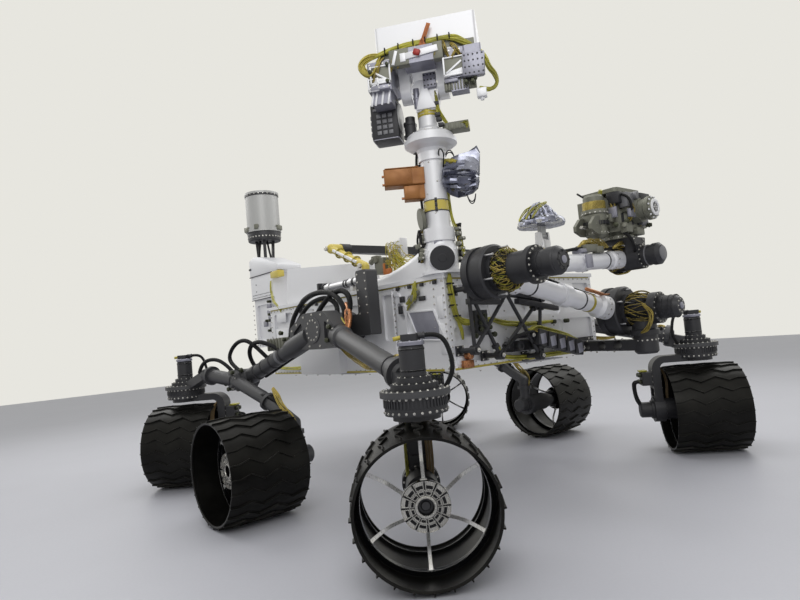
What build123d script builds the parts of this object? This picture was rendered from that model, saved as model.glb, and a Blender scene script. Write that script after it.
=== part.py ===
from build123d import *
from math import cos, radians, sin, tan
import os

# Mars rover: six-wheel rocker-bogie vehicle with a camera mast and a folded arm.
# Millimetres, +X forward, +Y to port, +Z up, origin on the floor under the middle.

# Stations of the running gear, measured from the middle axle
mid_axle_x = 47.1
front_axle = 1180
rear_axle = -1080
corner_track = 1120
mid_track = 1220
front_steer = 51
rear_steer = 44

# Clearances
running_gap = 0.3
seat_gap = 0.2

# Wheels: a flat-sided skin, one zigzag lug on each flat, a ring, spokes and a hub
wheel_radius = 257.5
wheel_width = 400
lug_count = 24
lug_height = 9
lug_thick = 9
lug_swing = 17
skin_wall = 6
ring_depth = 16
ring_width = 30
hub_radius = 85
hub_inner = 40
hub_outer = 112
hub_bore = 25
hub_sectors = 12
sector_inner = 50
sector_outer = 78
sector_depth = 5
sector_rib = 4
spoke_count = 6
spoke_width = 14
spoke_thick = 8
spoke_rise = 44
spoke_bow = 30

# Steering actuators above the corner wheels
wheel_gap = 20
stack_radius = 112
stack_waist = 85
turn_disc_low = wheel_radius * 2 + wheel_gap
turn_disc_thick = 40
turn_disc_top = turn_disc_low + turn_disc_thick
stack_flange = 42
stack_height = 223
collar_thick = 21
collar_width = 28
cap_length = 70
cap_width = 60
cap_height = 35

# Knuckles and hub drives
web_gap = 22
web_thick = 46
web_width = 110
web_boss = 74
web_fillet = 30
web_corner = 75
drive_radius = 62
drive_reach = 70
nose_radius = 40
motor_radius = 46
motor_length = 84
connector_box = 80
connector_depth = 58

# Chassis
chassis_front = 850
chassis_rear = -850
chassis_half_width = 600
chassis_low = 650
deck_thick = 20
deck_top = 1100
deck_lip = 12
deck_low = deck_top - deck_thick
pocket_depth = 14
pocket_edge = 34
pocket_corner = 16
belly_depth = 20
side_box_depth = 48

# Hoisting bosses on the deck: stations of the three, and the bolt circle of each
boss_places = [(560, -60), (-640, 470), (-640, -200)]
boss_radius = 55
boss_height = 16
boss_pcd = 80
boss_bolts = 4
boss_hole_radius = 4.5
boss_face_point = 30

# Rocker and bogie arms
pivot_x = 160
pivot_z = 900
pivot_radius = 85
pivot_drum_length = 300
rocker_y = chassis_half_width + 250
casting_thick = 90
front_tube_radius = 46
rear_tube_radius = 42
tube_flange = 65
tube_flange_thick = 14
socket_length = 70
socket_wall = 10
tube_drop = 38
front_tube_start = 360
front_tube_end_z = 690
flange_setback = 130
flange_inset = 50
bracket_drop = 24
bracket_width = 84
bracket_depth = 76
bogie_x = -530
bogie_z = 660
bogie_radius = 60
bogie_inner = 890
bogie_face = 1000
bogie_outer = 1060
leg_radius = 36
leg_inset = 43
knee_x = -250
knee_z = 560
leg_top_z = 430
rear_knee_x = -800
rear_knee_z = 700
rear_arm_setback = 60
rear_knee_inset = 35
pylon_x = 395
pylon_top = 1180
pylon_offset = 100
pylon_thick = 70
pylon_width = 90

# Differential
diff_x = 100
diff_z = 1340
diff_radius = 30
diff_post_radius = 55
diff_hub_radius = 85
beam_depth = 44
beam_root = 45
beam_tip = 20
link_radius = 20
link_ball = 27
link_offset = 60

# Equipment on the deck
case_inset = 180
case_y = case_inset - chassis_half_width
case_width = 150
rail_inset = 3
rail_y = rail_inset - chassis_half_width
rail_z = 1150
rail_radius = 21
inlet_x = 700
inlet_radius = 48
inlet_height = 50
low_gain_x = -500
low_gain_y = 300
low_gain_height = 90
low_gain_radius = 42

# Mast and camera head
mast_x = 804
mast_inset = 41
mast_y = mast_inset - chassis_half_width
mast_radius = 58
mast_low = 1290
mast_flange_z = 1738
mast_flange_radius = 125
mast_flange_thick = 20
foot_length = 480
foot_width = 120
hinge_z = 1178
hinge_radius = 64
barrel_radius = 66
tilt_z = 1985
head_pan = 127.9
head_low = 2092
head_high = 2262
head_width = 466
head_shift = 37
head_depth = 280
head_corner = 14
pan_disc_radius = 110
pan_disc_thick = 30
neck_radius = 48
yoke_width = 130
yoke_depth = 90
yoke_drop = 60
yoke_rise = 40
trunnion_radius = 22
head_arm_gap = 0.5
head_arm_thick = 48
head_arm_radius = 52
pan_motor_radius = 30
pan_motor_y = 88
pan_motor_height = 100
pan_box_far = 190
gear_near = 130
gear_far = 240
gear_rear = 165
gear_drop = 137
camera_drop = 74
beam_depth_behind = 38
beam_low = tilt_z + 66
vented_near = 136
vented_far = 266
vented_depth = 120
vented_low = 1765
vented_high = 1940
boom_z = 1560
boom_reach = 215
boom_radius = 30
boom_belly = 84
step_reach = 147
step_low = 1461
step_high = 1532
cover_reach = 236
cover_high = 1612

# Arm
shoulder_x = 1240
shoulder_y = 430
shoulder_z = 860
elbow_y = -580
elbow_z = 1065
wrist_y = 220
wrist_z = 1110
upper_arm_x = 1100
forearm_x = 1285
turret_x = 1270
drum_rear_x = 1040
drum_front_x = 1160
arm_motor_end_x = 1480
shoulder_drum_radius = 130
elbow_drum_radius = 117
flex_radius = 85
flex_neck = 66
arm_motor_radius = 57
upper_tube_radius = 46
fore_tube_radius = 44
tube_socket = 62
arm_socket_length = 170
wrist_drum_radius = 60
base_low = 630
base_high = 725
base_radius = 60
mount_width = 110
turret_low = 1205
turret_high = 1445
turret_radius = 108
tool_plate = 20

# Stow frame on the front of the chassis, below the arm
stow_x = 950
stow_radius = 12
stow_ribs = 13

# High-gain antenna
hga_x = 620
hga_y = 500
hga_z = 1425
hga_thick = 22
hga_axis_z = 1365
hga_radius = 150
hga_base_top = 1240
hga_post_radius = 50
hga_cheek = 14
hga_cheek_gap = 30

# Relay antenna
tower_rear = -1190
tower_inset = 40
tower_y = tower_inset - chassis_half_width
tower_width = 175
tower_low = 840
tower_step = 1180
tower_top = 1350
relay_x = -1100
relay_inset = 128
relay_y = relay_inset - chassis_half_width
relay_low = 1670
relay_high = 1960
relay_radius = 118
tripod_spread = 70

# Radioisotope power unit
rtg_x = -1290
rtg_z = 1000
rtg_radius = 130
rtg_fin_radius = 300
rtg_length = 560
rtg_tilt = 25
fin_count = 8
fin_thick = 10
exchanger_y = 340
exchanger_thick = 26

# Harness conduits
conduit_radius = 14
conduit_offset = 172


def at(x, y, z):
    """A point of the rover, its x measured from the middle axle."""
    return Vector(mid_axle_x + x, y, z)


def rod(start, end, radius, mode=Mode.ADD):
    """A round bar from one point to another."""
    path = Vector(end) - Vector(start)
    with BuildSketch(Plane(origin=start, z_dir=path)) as section:
        Circle(radius)
    extrude(section.sketch, amount=path.length, mode=mode)


def bar(start, end, wide, deep, mode=Mode.ADD):
    """A flat bar from one point to another, its wide side level."""
    path = Vector(end) - Vector(start)
    level = Vector(-path.Y, path.X, 0) if abs(path.X) + abs(path.Y) > 0 else Vector(0, 1, 0)
    with BuildSketch(Plane(origin=start, x_dir=level, z_dir=path)) as section:
        Rectangle(wide, deep)
    extrude(section.sketch, amount=path.length, mode=mode)


def block(low, high, mode=Mode.ADD):
    """A box between two opposite corners."""
    size = Vector(high) - Vector(low)
    middle = (Vector(high) + Vector(low)) / 2
    with Locations(middle):
        Box(abs(size.X), abs(size.Y), abs(size.Z), mode=mode)


def ball(centre, radius, mode=Mode.ADD):
    """A ball, where two tubes meet."""
    with Locations(centre):
        Sphere(radius, mode=mode)


def turned(start, direction, outline, mode=Mode.ADD):
    """A turned piece: the outline gives distance along the axis and radius, from start to end."""
    along = Vector(direction).normalized()
    across = Plane(origin=start, z_dir=along).x_dir
    with BuildSketch(Plane(origin=start, x_dir=along, z_dir=along.cross(across))) as half:
        with BuildLine():
            Polyline((outline[0][0], 0), *outline, (outline[-1][0], 0), close=True)
        make_face()
    revolve(half.sketch, axis=Axis(start, along), mode=mode)


def plate(plane, corners_of_plate, thick, corner, mode=Mode.ADD):
    """A plate with rounded corners, its middle on the plane."""
    with BuildSketch(plane) as outline:
        with BuildLine():
            Polyline(*corners_of_plate, close=True)
        make_face()
        fillet(outline.vertices(), corner)
    extrude(outline.sketch, amount=thick / 2, both=True, mode=mode)


def side_plane(y):
    """The upright fore-and-aft plane at this y: its x runs forward from the middle axle, its y up."""
    return Plane(origin=at(0, y, 0), x_dir=(1, 0, 0), z_dir=(0, -1, 0))


def front_plane(x):
    """The upright cross plane at this station: its x runs to port, its y up."""
    return Plane(origin=at(x, 0, 0), x_dir=(0, 1, 0), z_dir=(1, 0, 0))


def conduit(name, points, radius):
    """A held conduit: straight runs joined by the largest tangent arcs that fit."""
    runs = [(Vector(b) - Vector(a)) for a, b in zip(points, points[1:])]
    bends = []
    for before, after in zip(runs, runs[1:]):
        half_turn = radians(before.get_angle(after) / 2)
        bends.append(0.45 * min(before.length, after.length) / tan(half_turn))
    print(name, "radii", [round(bend) for bend in bends])
    with BuildLine() as route:
        FilletPolyline(*points, radius=bends)
    with BuildSketch(Plane(origin=points[0], z_dir=runs[0])) as section:
        Circle(radius)
    sweep(section.sketch, path=route.wire())


def keep(builder, name):
    """Label a finished piece and write it."""
    builder.part.label = name
    export_step(builder.part, f"parts/{name}.step")


os.makedirs("parts", exist_ok=True)


# Wheel in its own frame: axle along +Z, outboard face up, centre at the origin
half_width = wheel_width / 2
skin_flat = wheel_radius - lug_height
skin_inner = skin_flat - skin_wall
flat_turn = 180 / lug_count
lug_middle = [
    (-half_width, 0),
    (-half_width / 3, lug_swing),
    (half_width / 3, -lug_swing),
    (half_width, 0),
]
with BuildPart() as wheel:
    with BuildSketch(Plane.XY.offset(-half_width)):
        RegularPolygon(skin_flat, lug_count, major_radius=False, rotation=flat_turn)
        RegularPolygon(skin_inner, lug_count, major_radius=False, rotation=flat_turn, mode=Mode.SUBTRACT)
    extrude(amount=wheel_width)
    with BuildSketch(Plane.XY.offset(-ring_width / 2)):
        RegularPolygon(skin_flat - skin_wall / 2, lug_count, major_radius=False, rotation=flat_turn)
        RegularPolygon(
            skin_inner - ring_depth, lug_count, major_radius=False, rotation=flat_turn, mode=Mode.SUBTRACT
        )
    extrude(amount=ring_width)
    for lug in range(lug_count):
        lug_turn = radians(lug * 360 / lug_count)
        outward = Vector(cos(lug_turn), sin(lug_turn), 0)
        lug_foot = outward * (skin_flat - skin_wall / 2)
        with BuildSketch(Plane(origin=lug_foot, x_dir=(0, 0, 1), z_dir=outward)) as lug_face:
            with BuildLine():
                Polyline(
                    *[(along, swing + lug_thick / 2) for along, swing in lug_middle],
                    *[(along, swing - lug_thick / 2) for along, swing in reversed(lug_middle)],
                    close=True,
                )
            make_face()
        extrude(lug_face.sketch, amount=lug_height + skin_wall / 2)
    turned(
        (0, 0, hub_inner + running_gap),
        (0, 0, 1),
        [
            (0, hub_radius - 18),
            (14, hub_radius - 18),
            (22, hub_radius),
            (hub_outer - hub_inner - 5, hub_radius),
            (hub_outer - hub_inner, hub_radius - 5),
        ],
    )
    spoke_root = hub_inner + spoke_rise
    spoke_tip = skin_inner - ring_depth + 6
    spoke_middle = (hub_radius + skin_inner) / 2
    for spoke in range(spoke_count):
        spoke_plane = Plane.XZ.rotated((0, 0, spoke * 360 / spoke_count))
        with BuildSketch(spoke_plane) as spoke_side:
            with BuildLine():
                outer_curve = ThreePointArc(
                    (hub_radius - 6, spoke_root),
                    (spoke_middle, spoke_root - spoke_bow),
                    (spoke_tip, 4),
                )
                inner_curve = ThreePointArc(
                    (hub_radius - 6, spoke_root - spoke_thick),
                    (spoke_middle, spoke_root - spoke_bow - spoke_thick),
                    (spoke_tip, 4 - spoke_thick),
                )
                Line(outer_curve @ 0, inner_curve @ 0)
                Line(outer_curve @ 1, inner_curve @ 1)
            make_face()
        extrude(spoke_side.sketch, amount=spoke_width / 2, both=True)
    with BuildSketch(Plane.XY.offset(hub_outer + running_gap)) as sectors:
        Circle(sector_outer)
        Circle(sector_inner, mode=Mode.SUBTRACT)
        with PolarLocations((sector_inner + sector_outer) / 2, hub_sectors):
            Rectangle(sector_outer, sector_rib, mode=Mode.SUBTRACT)
    extrude(sectors.sketch, amount=-sector_depth, mode=Mode.SUBTRACT)
    with BuildSketch(Plane.XY.offset(hub_outer + running_gap)) as bore:
        Circle(hub_bore)
    extrude(bore.sketch, amount=-hub_bore, mode=Mode.SUBTRACT)
wheel_form = wheel.part

# The four steered corners: name, axle station, side, outboard normal turned from straight ahead
corners = [
    ("front_right", front_axle, -1, front_steer),
    ("front_left", front_axle, 1, front_steer),
    ("rear_right", rear_axle, -1, -rear_steer),
    ("rear_left", rear_axle, 1, -rear_steer),
]
web_near = half_width + web_gap
web_far = web_near + web_thick
motor_reach = web_far + motor_length

# Turned outline of a hub drive, from its motor's inboard end: distance, radius
hub_drive = [
    (0, motor_radius - 8),
    (8, motor_radius),
    (motor_length - 20, motor_radius),
    (motor_length - 20, motor_radius + 8),
    (motor_length - 6, motor_radius + 8),
    (motor_length - 6, web_boss),
    (motor_length + web_thick + 8, web_boss),
    (motor_length + web_thick + 8, drive_radius),
    (motor_reach - drive_reach, drive_radius),
    (motor_reach - drive_reach + 6, nose_radius + 12),
    (motor_reach - 20, nose_radius + 12),
    (motor_reach - 20, nose_radius),
    (motor_reach + hub_inner, nose_radius),
]

# Turned outline of a steering actuator above its foot: height, radius
stack_outline = [
    (0, stack_radius),
    (stack_flange, stack_radius),
    (stack_flange, stack_radius - 14),
    (stack_flange + collar_thick, stack_radius - 14),
    (stack_flange + collar_thick, stack_radius - 26),
    (stack_flange + collar_thick + 22, stack_radius - 26),
    (stack_flange + collar_thick + 22, stack_radius - 49),
    (stack_flange + collar_thick + 44, stack_radius - 49),
    (stack_flange + collar_thick + 44, stack_radius - 66),
    (stack_height - 12, stack_radius - 66),
    (stack_height, stack_radius - 72),
]
stack_seat = [(height, radius + seat_gap) for height, radius in stack_outline]
gap_slice = [(0, 2 * stack_radius), (running_gap, 2 * stack_radius)]
collar_radius = stack_radius - 14 + collar_width
collar_outline = [(stack_flange, collar_radius), (stack_flange + collar_thick, collar_radius)]


def outboard_plane(x, y, side, turned_out):
    """Plane at a wheel's centre, with its normal pointing outboard along the axle."""
    normal = Vector(sin(radians(turned_out)), side * cos(radians(turned_out)), 0)
    return Plane(
        origin=(mid_axle_x + x, side * y, wheel_radius),
        x_dir=(0, 0, 1),
        z_dir=normal,
    )


for name, x, side, turned_out in corners:
    place = outboard_plane(x, corner_track, side, turned_out)
    corner_wheel = wheel_form.moved(place.location)
    corner_wheel.label = f"wheel_{name}"
    export_step(corner_wheel, f"parts/wheel_{name}.step")

    with BuildPart() as knuckle:
        centre = place.origin
        normal = place.z_dir
        disc_foot = Vector(centre.X, centre.Y, turn_disc_low)
        turned(
            disc_foot,
            (0, 0, 1),
            [
                (0, stack_waist),
                (turn_disc_thick / 2, stack_waist),
                (turn_disc_thick / 2, stack_radius),
                (turn_disc_thick, stack_radius),
            ],
        )
        profile_plane = Plane(origin=(centre.X, centre.Y, 0), x_dir=normal, z_dir=normal.cross(Vector(0, 0, 1)))
        with BuildSketch(profile_plane) as c_profile:
            with BuildLine():
                Polyline(
                    (-web_far, wheel_radius),
                    (-web_far, turn_disc_top),
                    (0, turn_disc_top),
                    (0, turn_disc_low),
                    (-web_near, turn_disc_low),
                    (-web_near, wheel_radius),
                    close=True,
                )
            make_face()
            fillet(c_profile.vertices().sort_by_distance((-web_near, turn_disc_low, 0))[0], web_fillet)
            fillet(c_profile.vertices().sort_by_distance((-web_far, turn_disc_top, 0))[0], web_corner)
        extrude(c_profile.sketch, amount=web_width / 2, both=True)
        turned(centre - normal * motor_reach, normal, hub_drive)
        web_rise = turn_disc_low - wheel_radius
        with BuildSketch(place.offset(-web_far)) as web_pocket:
            with Locations((web_boss + 30, 0)):
                RectangleRounded(50, web_width - 40, 12)
        extrude(web_pocket.sketch, amount=web_thick / 4, mode=Mode.SUBTRACT)
        with BuildSketch(place.offset(-web_near)) as wheel_side_pocket:
            with Locations(((web_boss + web_rise) / 2, 0)):
                RectangleRounded(web_rise - web_boss - 60, web_width - 40, 16)
        extrude(wheel_side_pocket.sketch, amount=-web_thick / 4, mode=Mode.SUBTRACT)
        with BuildSketch(place.offset(-web_far)) as connectors:
            with Locations((web_rise - 90, 0)):
                RectangleRounded(connector_box, connector_box + 10, 6)
        extrude(connectors.sketch, amount=-connector_depth)
    keep(knuckle, f"knuckle_{name}")

# Middle wheels
for name, side in (("mid_right", -1), ("mid_left", 1)):
    place = outboard_plane(0, mid_track, side, 0)
    mid_wheel = wheel_form.moved(place.location)
    mid_wheel.label = f"wheel_{name}"
    export_step(mid_wheel, f"parts/wheel_{name}.step")

# Steering actuators on the ends of the arms, each with a connector cap
with BuildPart() as steering_motors:
    for name, x, side, turned_out in corners:
        foot = at(x, side * corner_track, turn_disc_top + running_gap)
        turned(foot, (0, 0, 1), stack_outline)
        cap_foot = foot + Vector(0, 0, stack_height)
        with BuildSketch(Plane(origin=cap_foot, x_dir=(0.6, side * 0.8, 0), z_dir=(0, 0, 1))) as cap:
            RectangleRounded(cap_length, cap_width, 8)
        extrude(cap.sketch, amount=cap_height)
keep(steering_motors, "steering_motors")

# Rockers: pivot drum and casting, front tube to the steering actuator, rear tube to the bogie pivot
for name, side in (("right", -1), ("left", 1)):
    with BuildPart() as rocker:
        drum_reach = pivot_drum_length
        turned(
            at(pivot_x, side * chassis_half_width, pivot_z),
            (0, side, 0),
            [
                (0, pivot_radius - 15),
                (drum_reach / 6, pivot_radius - 15),
                (drum_reach / 6, pivot_radius),
                (drum_reach - 14, pivot_radius),
                (drum_reach - 14, pivot_radius - 12),
                (drum_reach, pivot_radius - 18),
            ],
        )
        plate(
            side_plane(side * rocker_y),
            [
                (pivot_x - 240, pivot_z - 62),
                (pivot_x - 240, pivot_z + 20),
                (pivot_x - 90, pivot_z + 92),
                (pivot_x + 100, pivot_z + 92),
                (front_tube_start, pivot_z + 12),
                (front_tube_start, pivot_z - 88),
                (pivot_x + 70, pivot_z - 100),
                (pivot_x - 130, pivot_z - 96),
            ],
            casting_thick,
            22,
        )
        casting_face = side * (rocker_y + casting_thick / 2)
        plate(
            side_plane(casting_face),
            [
                (pivot_x + 105, pivot_z - 66),
                (front_tube_start - 24, pivot_z - 62),
                (front_tube_start - 24, pivot_z - 10),
                (pivot_x + 112, pivot_z + 48),
            ],
            2 * pocket_depth,
            9,
            mode=Mode.SUBTRACT,
        )
        plate(
            side_plane(casting_face),
            [
                (pivot_x - 105, pivot_z - 66),
                (pivot_x - 200, pivot_z - 46),
                (pivot_x - 200, pivot_z - 2),
                (pivot_x - 112, pivot_z + 48),
            ],
            2 * pocket_depth,
            9,
            mode=Mode.SUBTRACT,
        )
        tube_start = at(front_tube_start - 30, side * rocker_y, pivot_z - tube_drop)
        front_end = at(front_axle - flange_setback, side * (corner_track - flange_inset), front_tube_end_z)
        tube_line = front_end - tube_start
        turned(
            tube_start,
            tube_line,
            [
                (0, front_tube_radius + socket_wall),
                (socket_length, front_tube_radius + socket_wall),
                (socket_length + 10, front_tube_radius),
                (tube_line.length - tube_flange_thick - 26, front_tube_radius),
                (tube_line.length - tube_flange_thick, front_tube_radius + 6),
                (tube_line.length - tube_flange_thick, tube_flange),
                (tube_line.length + tube_flange_thick, tube_flange),
                (tube_line.length + tube_flange_thick, front_tube_radius),
                (tube_line.length + 2 * tube_flange_thick, front_tube_radius - 10),
            ],
        )
        stack_foot = at(front_axle, side * corner_track, turn_disc_top + running_gap)
        collar_middle = stack_foot + Vector(0, 0, stack_flange + collar_thick / 2)
        bar(front_end - Vector(0, 0, bracket_drop), collar_middle, bracket_width, bracket_depth)
        turned(stack_foot, (0, 0, 1), collar_outline)
        rear_end = at(bogie_x, side * (bogie_inner + bogie_face) / 2, bogie_z)
        rear_start = at(pivot_x, side * rocker_y, pivot_z)
        rear_line = rear_end - rear_start
        turned(
            rear_start,
            rear_line,
            [
                (pivot_radius, rear_tube_radius + socket_wall),
                (3.2 * pivot_radius, rear_tube_radius + socket_wall),
                (3.2 * pivot_radius + 10, rear_tube_radius),
                (rear_line.length - 2 * bogie_radius, rear_tube_radius),
                (rear_line.length - 2 * bogie_radius, rear_tube_radius + 6),
                (rear_line.length, rear_tube_radius + 6),
            ],
        )
        turned(
            at(bogie_x, side * bogie_inner, bogie_z),
            (0, side, 0),
            [
                (0, bogie_radius - 14),
                (12, bogie_radius - 14),
                (12, bogie_radius),
                (bogie_face - bogie_inner - 16, bogie_radius),
                (bogie_face - bogie_inner - 16, bogie_radius + 8),
                (bogie_face - bogie_inner - running_gap, bogie_radius + 8),
            ],
        )
        block(
            at(bogie_x - 120, side * (bogie_face - running_gap), bogie_z - 120),
            at(bogie_x + 120, side * (bogie_outer + 140), bogie_z + 120),
            mode=Mode.SUBTRACT,
        )
        plate(
            side_plane(side * (chassis_half_width + pylon_offset)),
            [
                (pivot_x - 40, pivot_z - 50),
                (pylon_x + pylon_width / 2, pivot_z - 50),
                (pylon_x + pylon_width / 2, pylon_top),
                (pylon_x - pylon_width / 2, pylon_top),
                (pylon_x - pylon_width / 2, pivot_z + 60),
                (pivot_x - 40, pivot_z + 60),
            ],
            pylon_thick,
            12,
        )
        turned(stack_foot, (0, 0, 1), stack_seat, mode=Mode.SUBTRACT)
        turned(stack_foot - Vector(0, 0, running_gap), (0, 0, 1), gap_slice, mode=Mode.SUBTRACT)
    keep(rocker, f"rocker_{name}")

    with BuildPart() as bogie:
        eye_y = (bogie_face + bogie_outer) / 2
        leg_y = mid_track - half_width - web_gap - leg_inset
        eye = at(bogie_x, side * eye_y, bogie_z)
        knee = at(knee_x, side * (eye_y + leg_y) / 2, knee_z)
        leg_top = at(0, side * leg_y, leg_top_z)
        rod(eye, knee, leg_radius)
        ball(knee, leg_radius)
        rod(knee, leg_top, leg_radius)
        ball(leg_top, leg_radius)
        rod(leg_top, at(0, side * leg_y, wheel_radius), leg_radius)
        knee_line = (leg_top - knee).normalized()
        turned(knee + knee_line * 40, knee_line, [(0, leg_radius + 14), (18, leg_radius + 14)])
        turned(
            at(0, side * leg_y, wheel_radius + web_boss + 40),
            (0, 0, 1),
            [(0, leg_radius + 14), (22, leg_radius + 14)],
        )
        turned(at(0, side * (mid_track - motor_reach), wheel_radius), (0, side, 0), hub_drive)
        rear_knee = at(rear_knee_x, side * (corner_track - rear_knee_inset), rear_knee_z)
        rear_foot = at(rear_axle, side * corner_track, turn_disc_top + running_gap)
        rear_end = at(
            rear_axle + rear_arm_setback,
            side * corner_track,
            turn_disc_top + stack_flange + collar_thick / 2,
        )
        rod(eye, rear_knee, leg_radius + 4)
        block(
            at(bogie_x - 78, side * (bogie_face - 200), bogie_z - 78),
            at(bogie_x + 78, side * bogie_face, bogie_z + 78),
            mode=Mode.SUBTRACT,
        )
        turned(
            at(bogie_x, side * bogie_face, bogie_z),
            (0, side, 0),
            [
                (0, bogie_radius + 8),
                (14, bogie_radius + 8),
                (14, bogie_radius),
                (bogie_outer - bogie_face - 12, bogie_radius),
                (bogie_outer - bogie_face - 12, bogie_radius - 16),
                (bogie_outer - bogie_face, bogie_radius - 20),
            ],
        )
        ball(rear_knee, leg_radius + 4)
        bar(rear_knee, rear_end, 64, 52)
        rear_line = (rear_knee - eye).normalized()
        turned(rear_knee - rear_line * 60, rear_line, [(0, tube_flange - 8), (20, tube_flange - 8)])
        turned(rear_foot, (0, 0, 1), collar_outline)
        turned(rear_foot, (0, 0, 1), stack_seat, mode=Mode.SUBTRACT)
        turned(rear_foot - Vector(0, 0, running_gap), (0, 0, 1), gap_slice, mode=Mode.SUBTRACT)
    keep(bogie, f"bogie_{name}")

# Side pockets of the chassis, ahead of the rocker: corners as station and height
front_gusset = [(0.67, 0.69), (0.90, 0.67), (0.88, 0.38), (0.655, 0.42)]
front_panel = [(0.45, 0.92), (0.575, 0.92), (0.575, 0.38), (0.45, 0.38)]
lower_panel = [(0.05, 0.86), (0.36, 0.86), (0.36, 0.30), (0.05, 0.30)]
chassis_height = deck_low - chassis_low

# Chassis box: ribbed pockets on its front, sides and rear, holes, and a side box each side
with BuildPart() as chassis:
    block(at(chassis_rear, -chassis_half_width, chassis_low), at(chassis_front, chassis_half_width, deck_low))
    panel_wide = (2 * chassis_half_width - 5 * pocket_edge) / 4
    panel_high = (chassis_height - 3 * pocket_edge) / 2
    for face_x in (chassis_front, chassis_rear):
        for column in range(4):
            middle_y = -chassis_half_width + pocket_edge + panel_wide / 2 + column * (panel_wide + pocket_edge)
            for row in range(2):
                middle_z = chassis_low + pocket_edge + panel_high / 2 + row * (panel_high + pocket_edge)
                with BuildSketch(front_plane(face_x)) as front_pocket:
                    with Locations((middle_y, middle_z)):
                        RectangleRounded(panel_wide, panel_high, pocket_corner)
                extrude(front_pocket.sketch, amount=pocket_depth, both=True, mode=Mode.SUBTRACT)
    for side in (-1, 1):
        wall = side_plane(side * chassis_half_width)
        for outline in (front_gusset, front_panel, lower_panel):
            plate(
                wall,
                [(share * chassis_front, chassis_low + rise * chassis_height) for share, rise in outline],
                2 * pocket_depth,
                pocket_corner,
                mode=Mode.SUBTRACT,
            )
        for column in range(3):
            middle_x = chassis_rear + pocket_edge + (column + 0.5) * (-chassis_rear - pocket_edge) / 3
            with BuildSketch(wall) as rear_pocket:
                with Locations((middle_x, chassis_low + 0.72 * chassis_height)):
                    RectangleRounded((-chassis_rear - 4 * pocket_edge) / 3, 0.4 * chassis_height, pocket_corner)
            extrude(rear_pocket.sketch, amount=pocket_depth, both=True, mode=Mode.SUBTRACT)
        with BuildSketch(wall) as cable_holes:
            with Locations((0.73 * chassis_front, chassis_low + 0.82 * chassis_height)):
                SlotOverall(84, 46)
            with Locations(Location((0.62 * chassis_front, chassis_low + 0.70 * chassis_height), 110)):
                SlotOverall(92, 30)
        extrude(cable_holes.sketch, amount=3 * pocket_depth, both=True, mode=Mode.SUBTRACT)
        with BuildSketch(wall) as side_box:
            with Locations((-200, chassis_low + 0.2 * chassis_height)):
                RectangleRounded(430, 0.4 * chassis_height, pocket_corner)
        extrude(side_box.sketch, amount=-side * side_box_depth)
    with BuildSketch(Plane(origin=at(0, 0, chassis_low))) as belly:
        with GridLocations(2 * chassis_front / 3, 2 * chassis_half_width / 2, 3, 2):
            RectangleRounded(2 * chassis_front / 3 - 2 * pocket_edge, chassis_half_width - 2 * pocket_edge, pocket_corner)
    extrude(belly.sketch, amount=belly_depth, mode=Mode.SUBTRACT)
keep(chassis, "chassis_body")

with BuildPart() as deck:
    with BuildSketch(Plane(origin=at(0, 0, deck_low))) as deck_outline:
        RectangleRounded(
            2 * (chassis_front + deck_lip), 2 * (chassis_half_width + deck_lip), pocket_corner
        )
    extrude(deck_outline.sketch, amount=deck_thick)
    for boss_x, boss_y in boss_places:
        rod(at(boss_x, boss_y, deck_top), at(boss_x, boss_y, deck_top + boss_height), boss_radius)
        with BuildSketch(Plane(origin=at(boss_x, boss_y, deck_top + boss_height))) as bolt_circle:
            with PolarLocations(boss_pcd / 2, boss_bolts, start_angle=45):
                Circle(boss_hole_radius)
        extrude(bolt_circle.sketch, amount=-boss_height, mode=Mode.SUBTRACT)
keep(deck, "top_deck")

# Differential: post, hub and tapered walking beam across the deck, and a link to each pylon
pylon_y = chassis_half_width + pylon_offset
diff_reach = pylon_y - link_offset
with BuildPart() as differential:
    turned(
        at(diff_x, 0, deck_top),
        (0, 0, 1),
        [
            (0, diff_post_radius + 30),
            (14, diff_post_radius + 30),
            (14, diff_post_radius),
            (diff_z - deck_top - 50, diff_post_radius),
            (diff_z - deck_top - 30, diff_hub_radius),
            (diff_z - deck_top + 34, diff_hub_radius),
            (diff_z - deck_top + 44, diff_hub_radius - 12),
        ],
    )
    with BuildSketch(Plane(origin=at(diff_x, 0, diff_z - beam_depth / 2))) as beam:
        with BuildLine():
            Polyline(
                (-beam_root, 0), (-beam_tip, diff_reach - 30), (beam_tip, diff_reach - 30),
                (beam_root, 0), (beam_tip, 30 - diff_reach), (-beam_tip, 30 - diff_reach),
                close=True,
            )
        make_face()
    extrude(beam.sketch, amount=beam_depth)
    for side in (-1, 1):
        rod(at(diff_x, side * (diff_reach - 60), diff_z), at(diff_x, side * diff_reach, diff_z), diff_radius)
keep(differential, "differential_bar")

with BuildPart() as links:
    for side in (-1, 1):
        bar_end = at(diff_x, side * diff_reach, diff_z)
        link_start = at(diff_x, side * pylon_y, diff_z)
        link_end = at(pylon_x, side * pylon_y, pylon_top + 22)
        rod(bar_end, link_start, link_ball)
        ball(link_start, link_ball)
        rod(link_start, link_end, link_radius)
        ball(link_end, link_ball - 6)
        rod(at(pylon_x, side * pylon_y, pylon_top), link_end, link_ball - 6)
keep(links, "differential_links")

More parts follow.
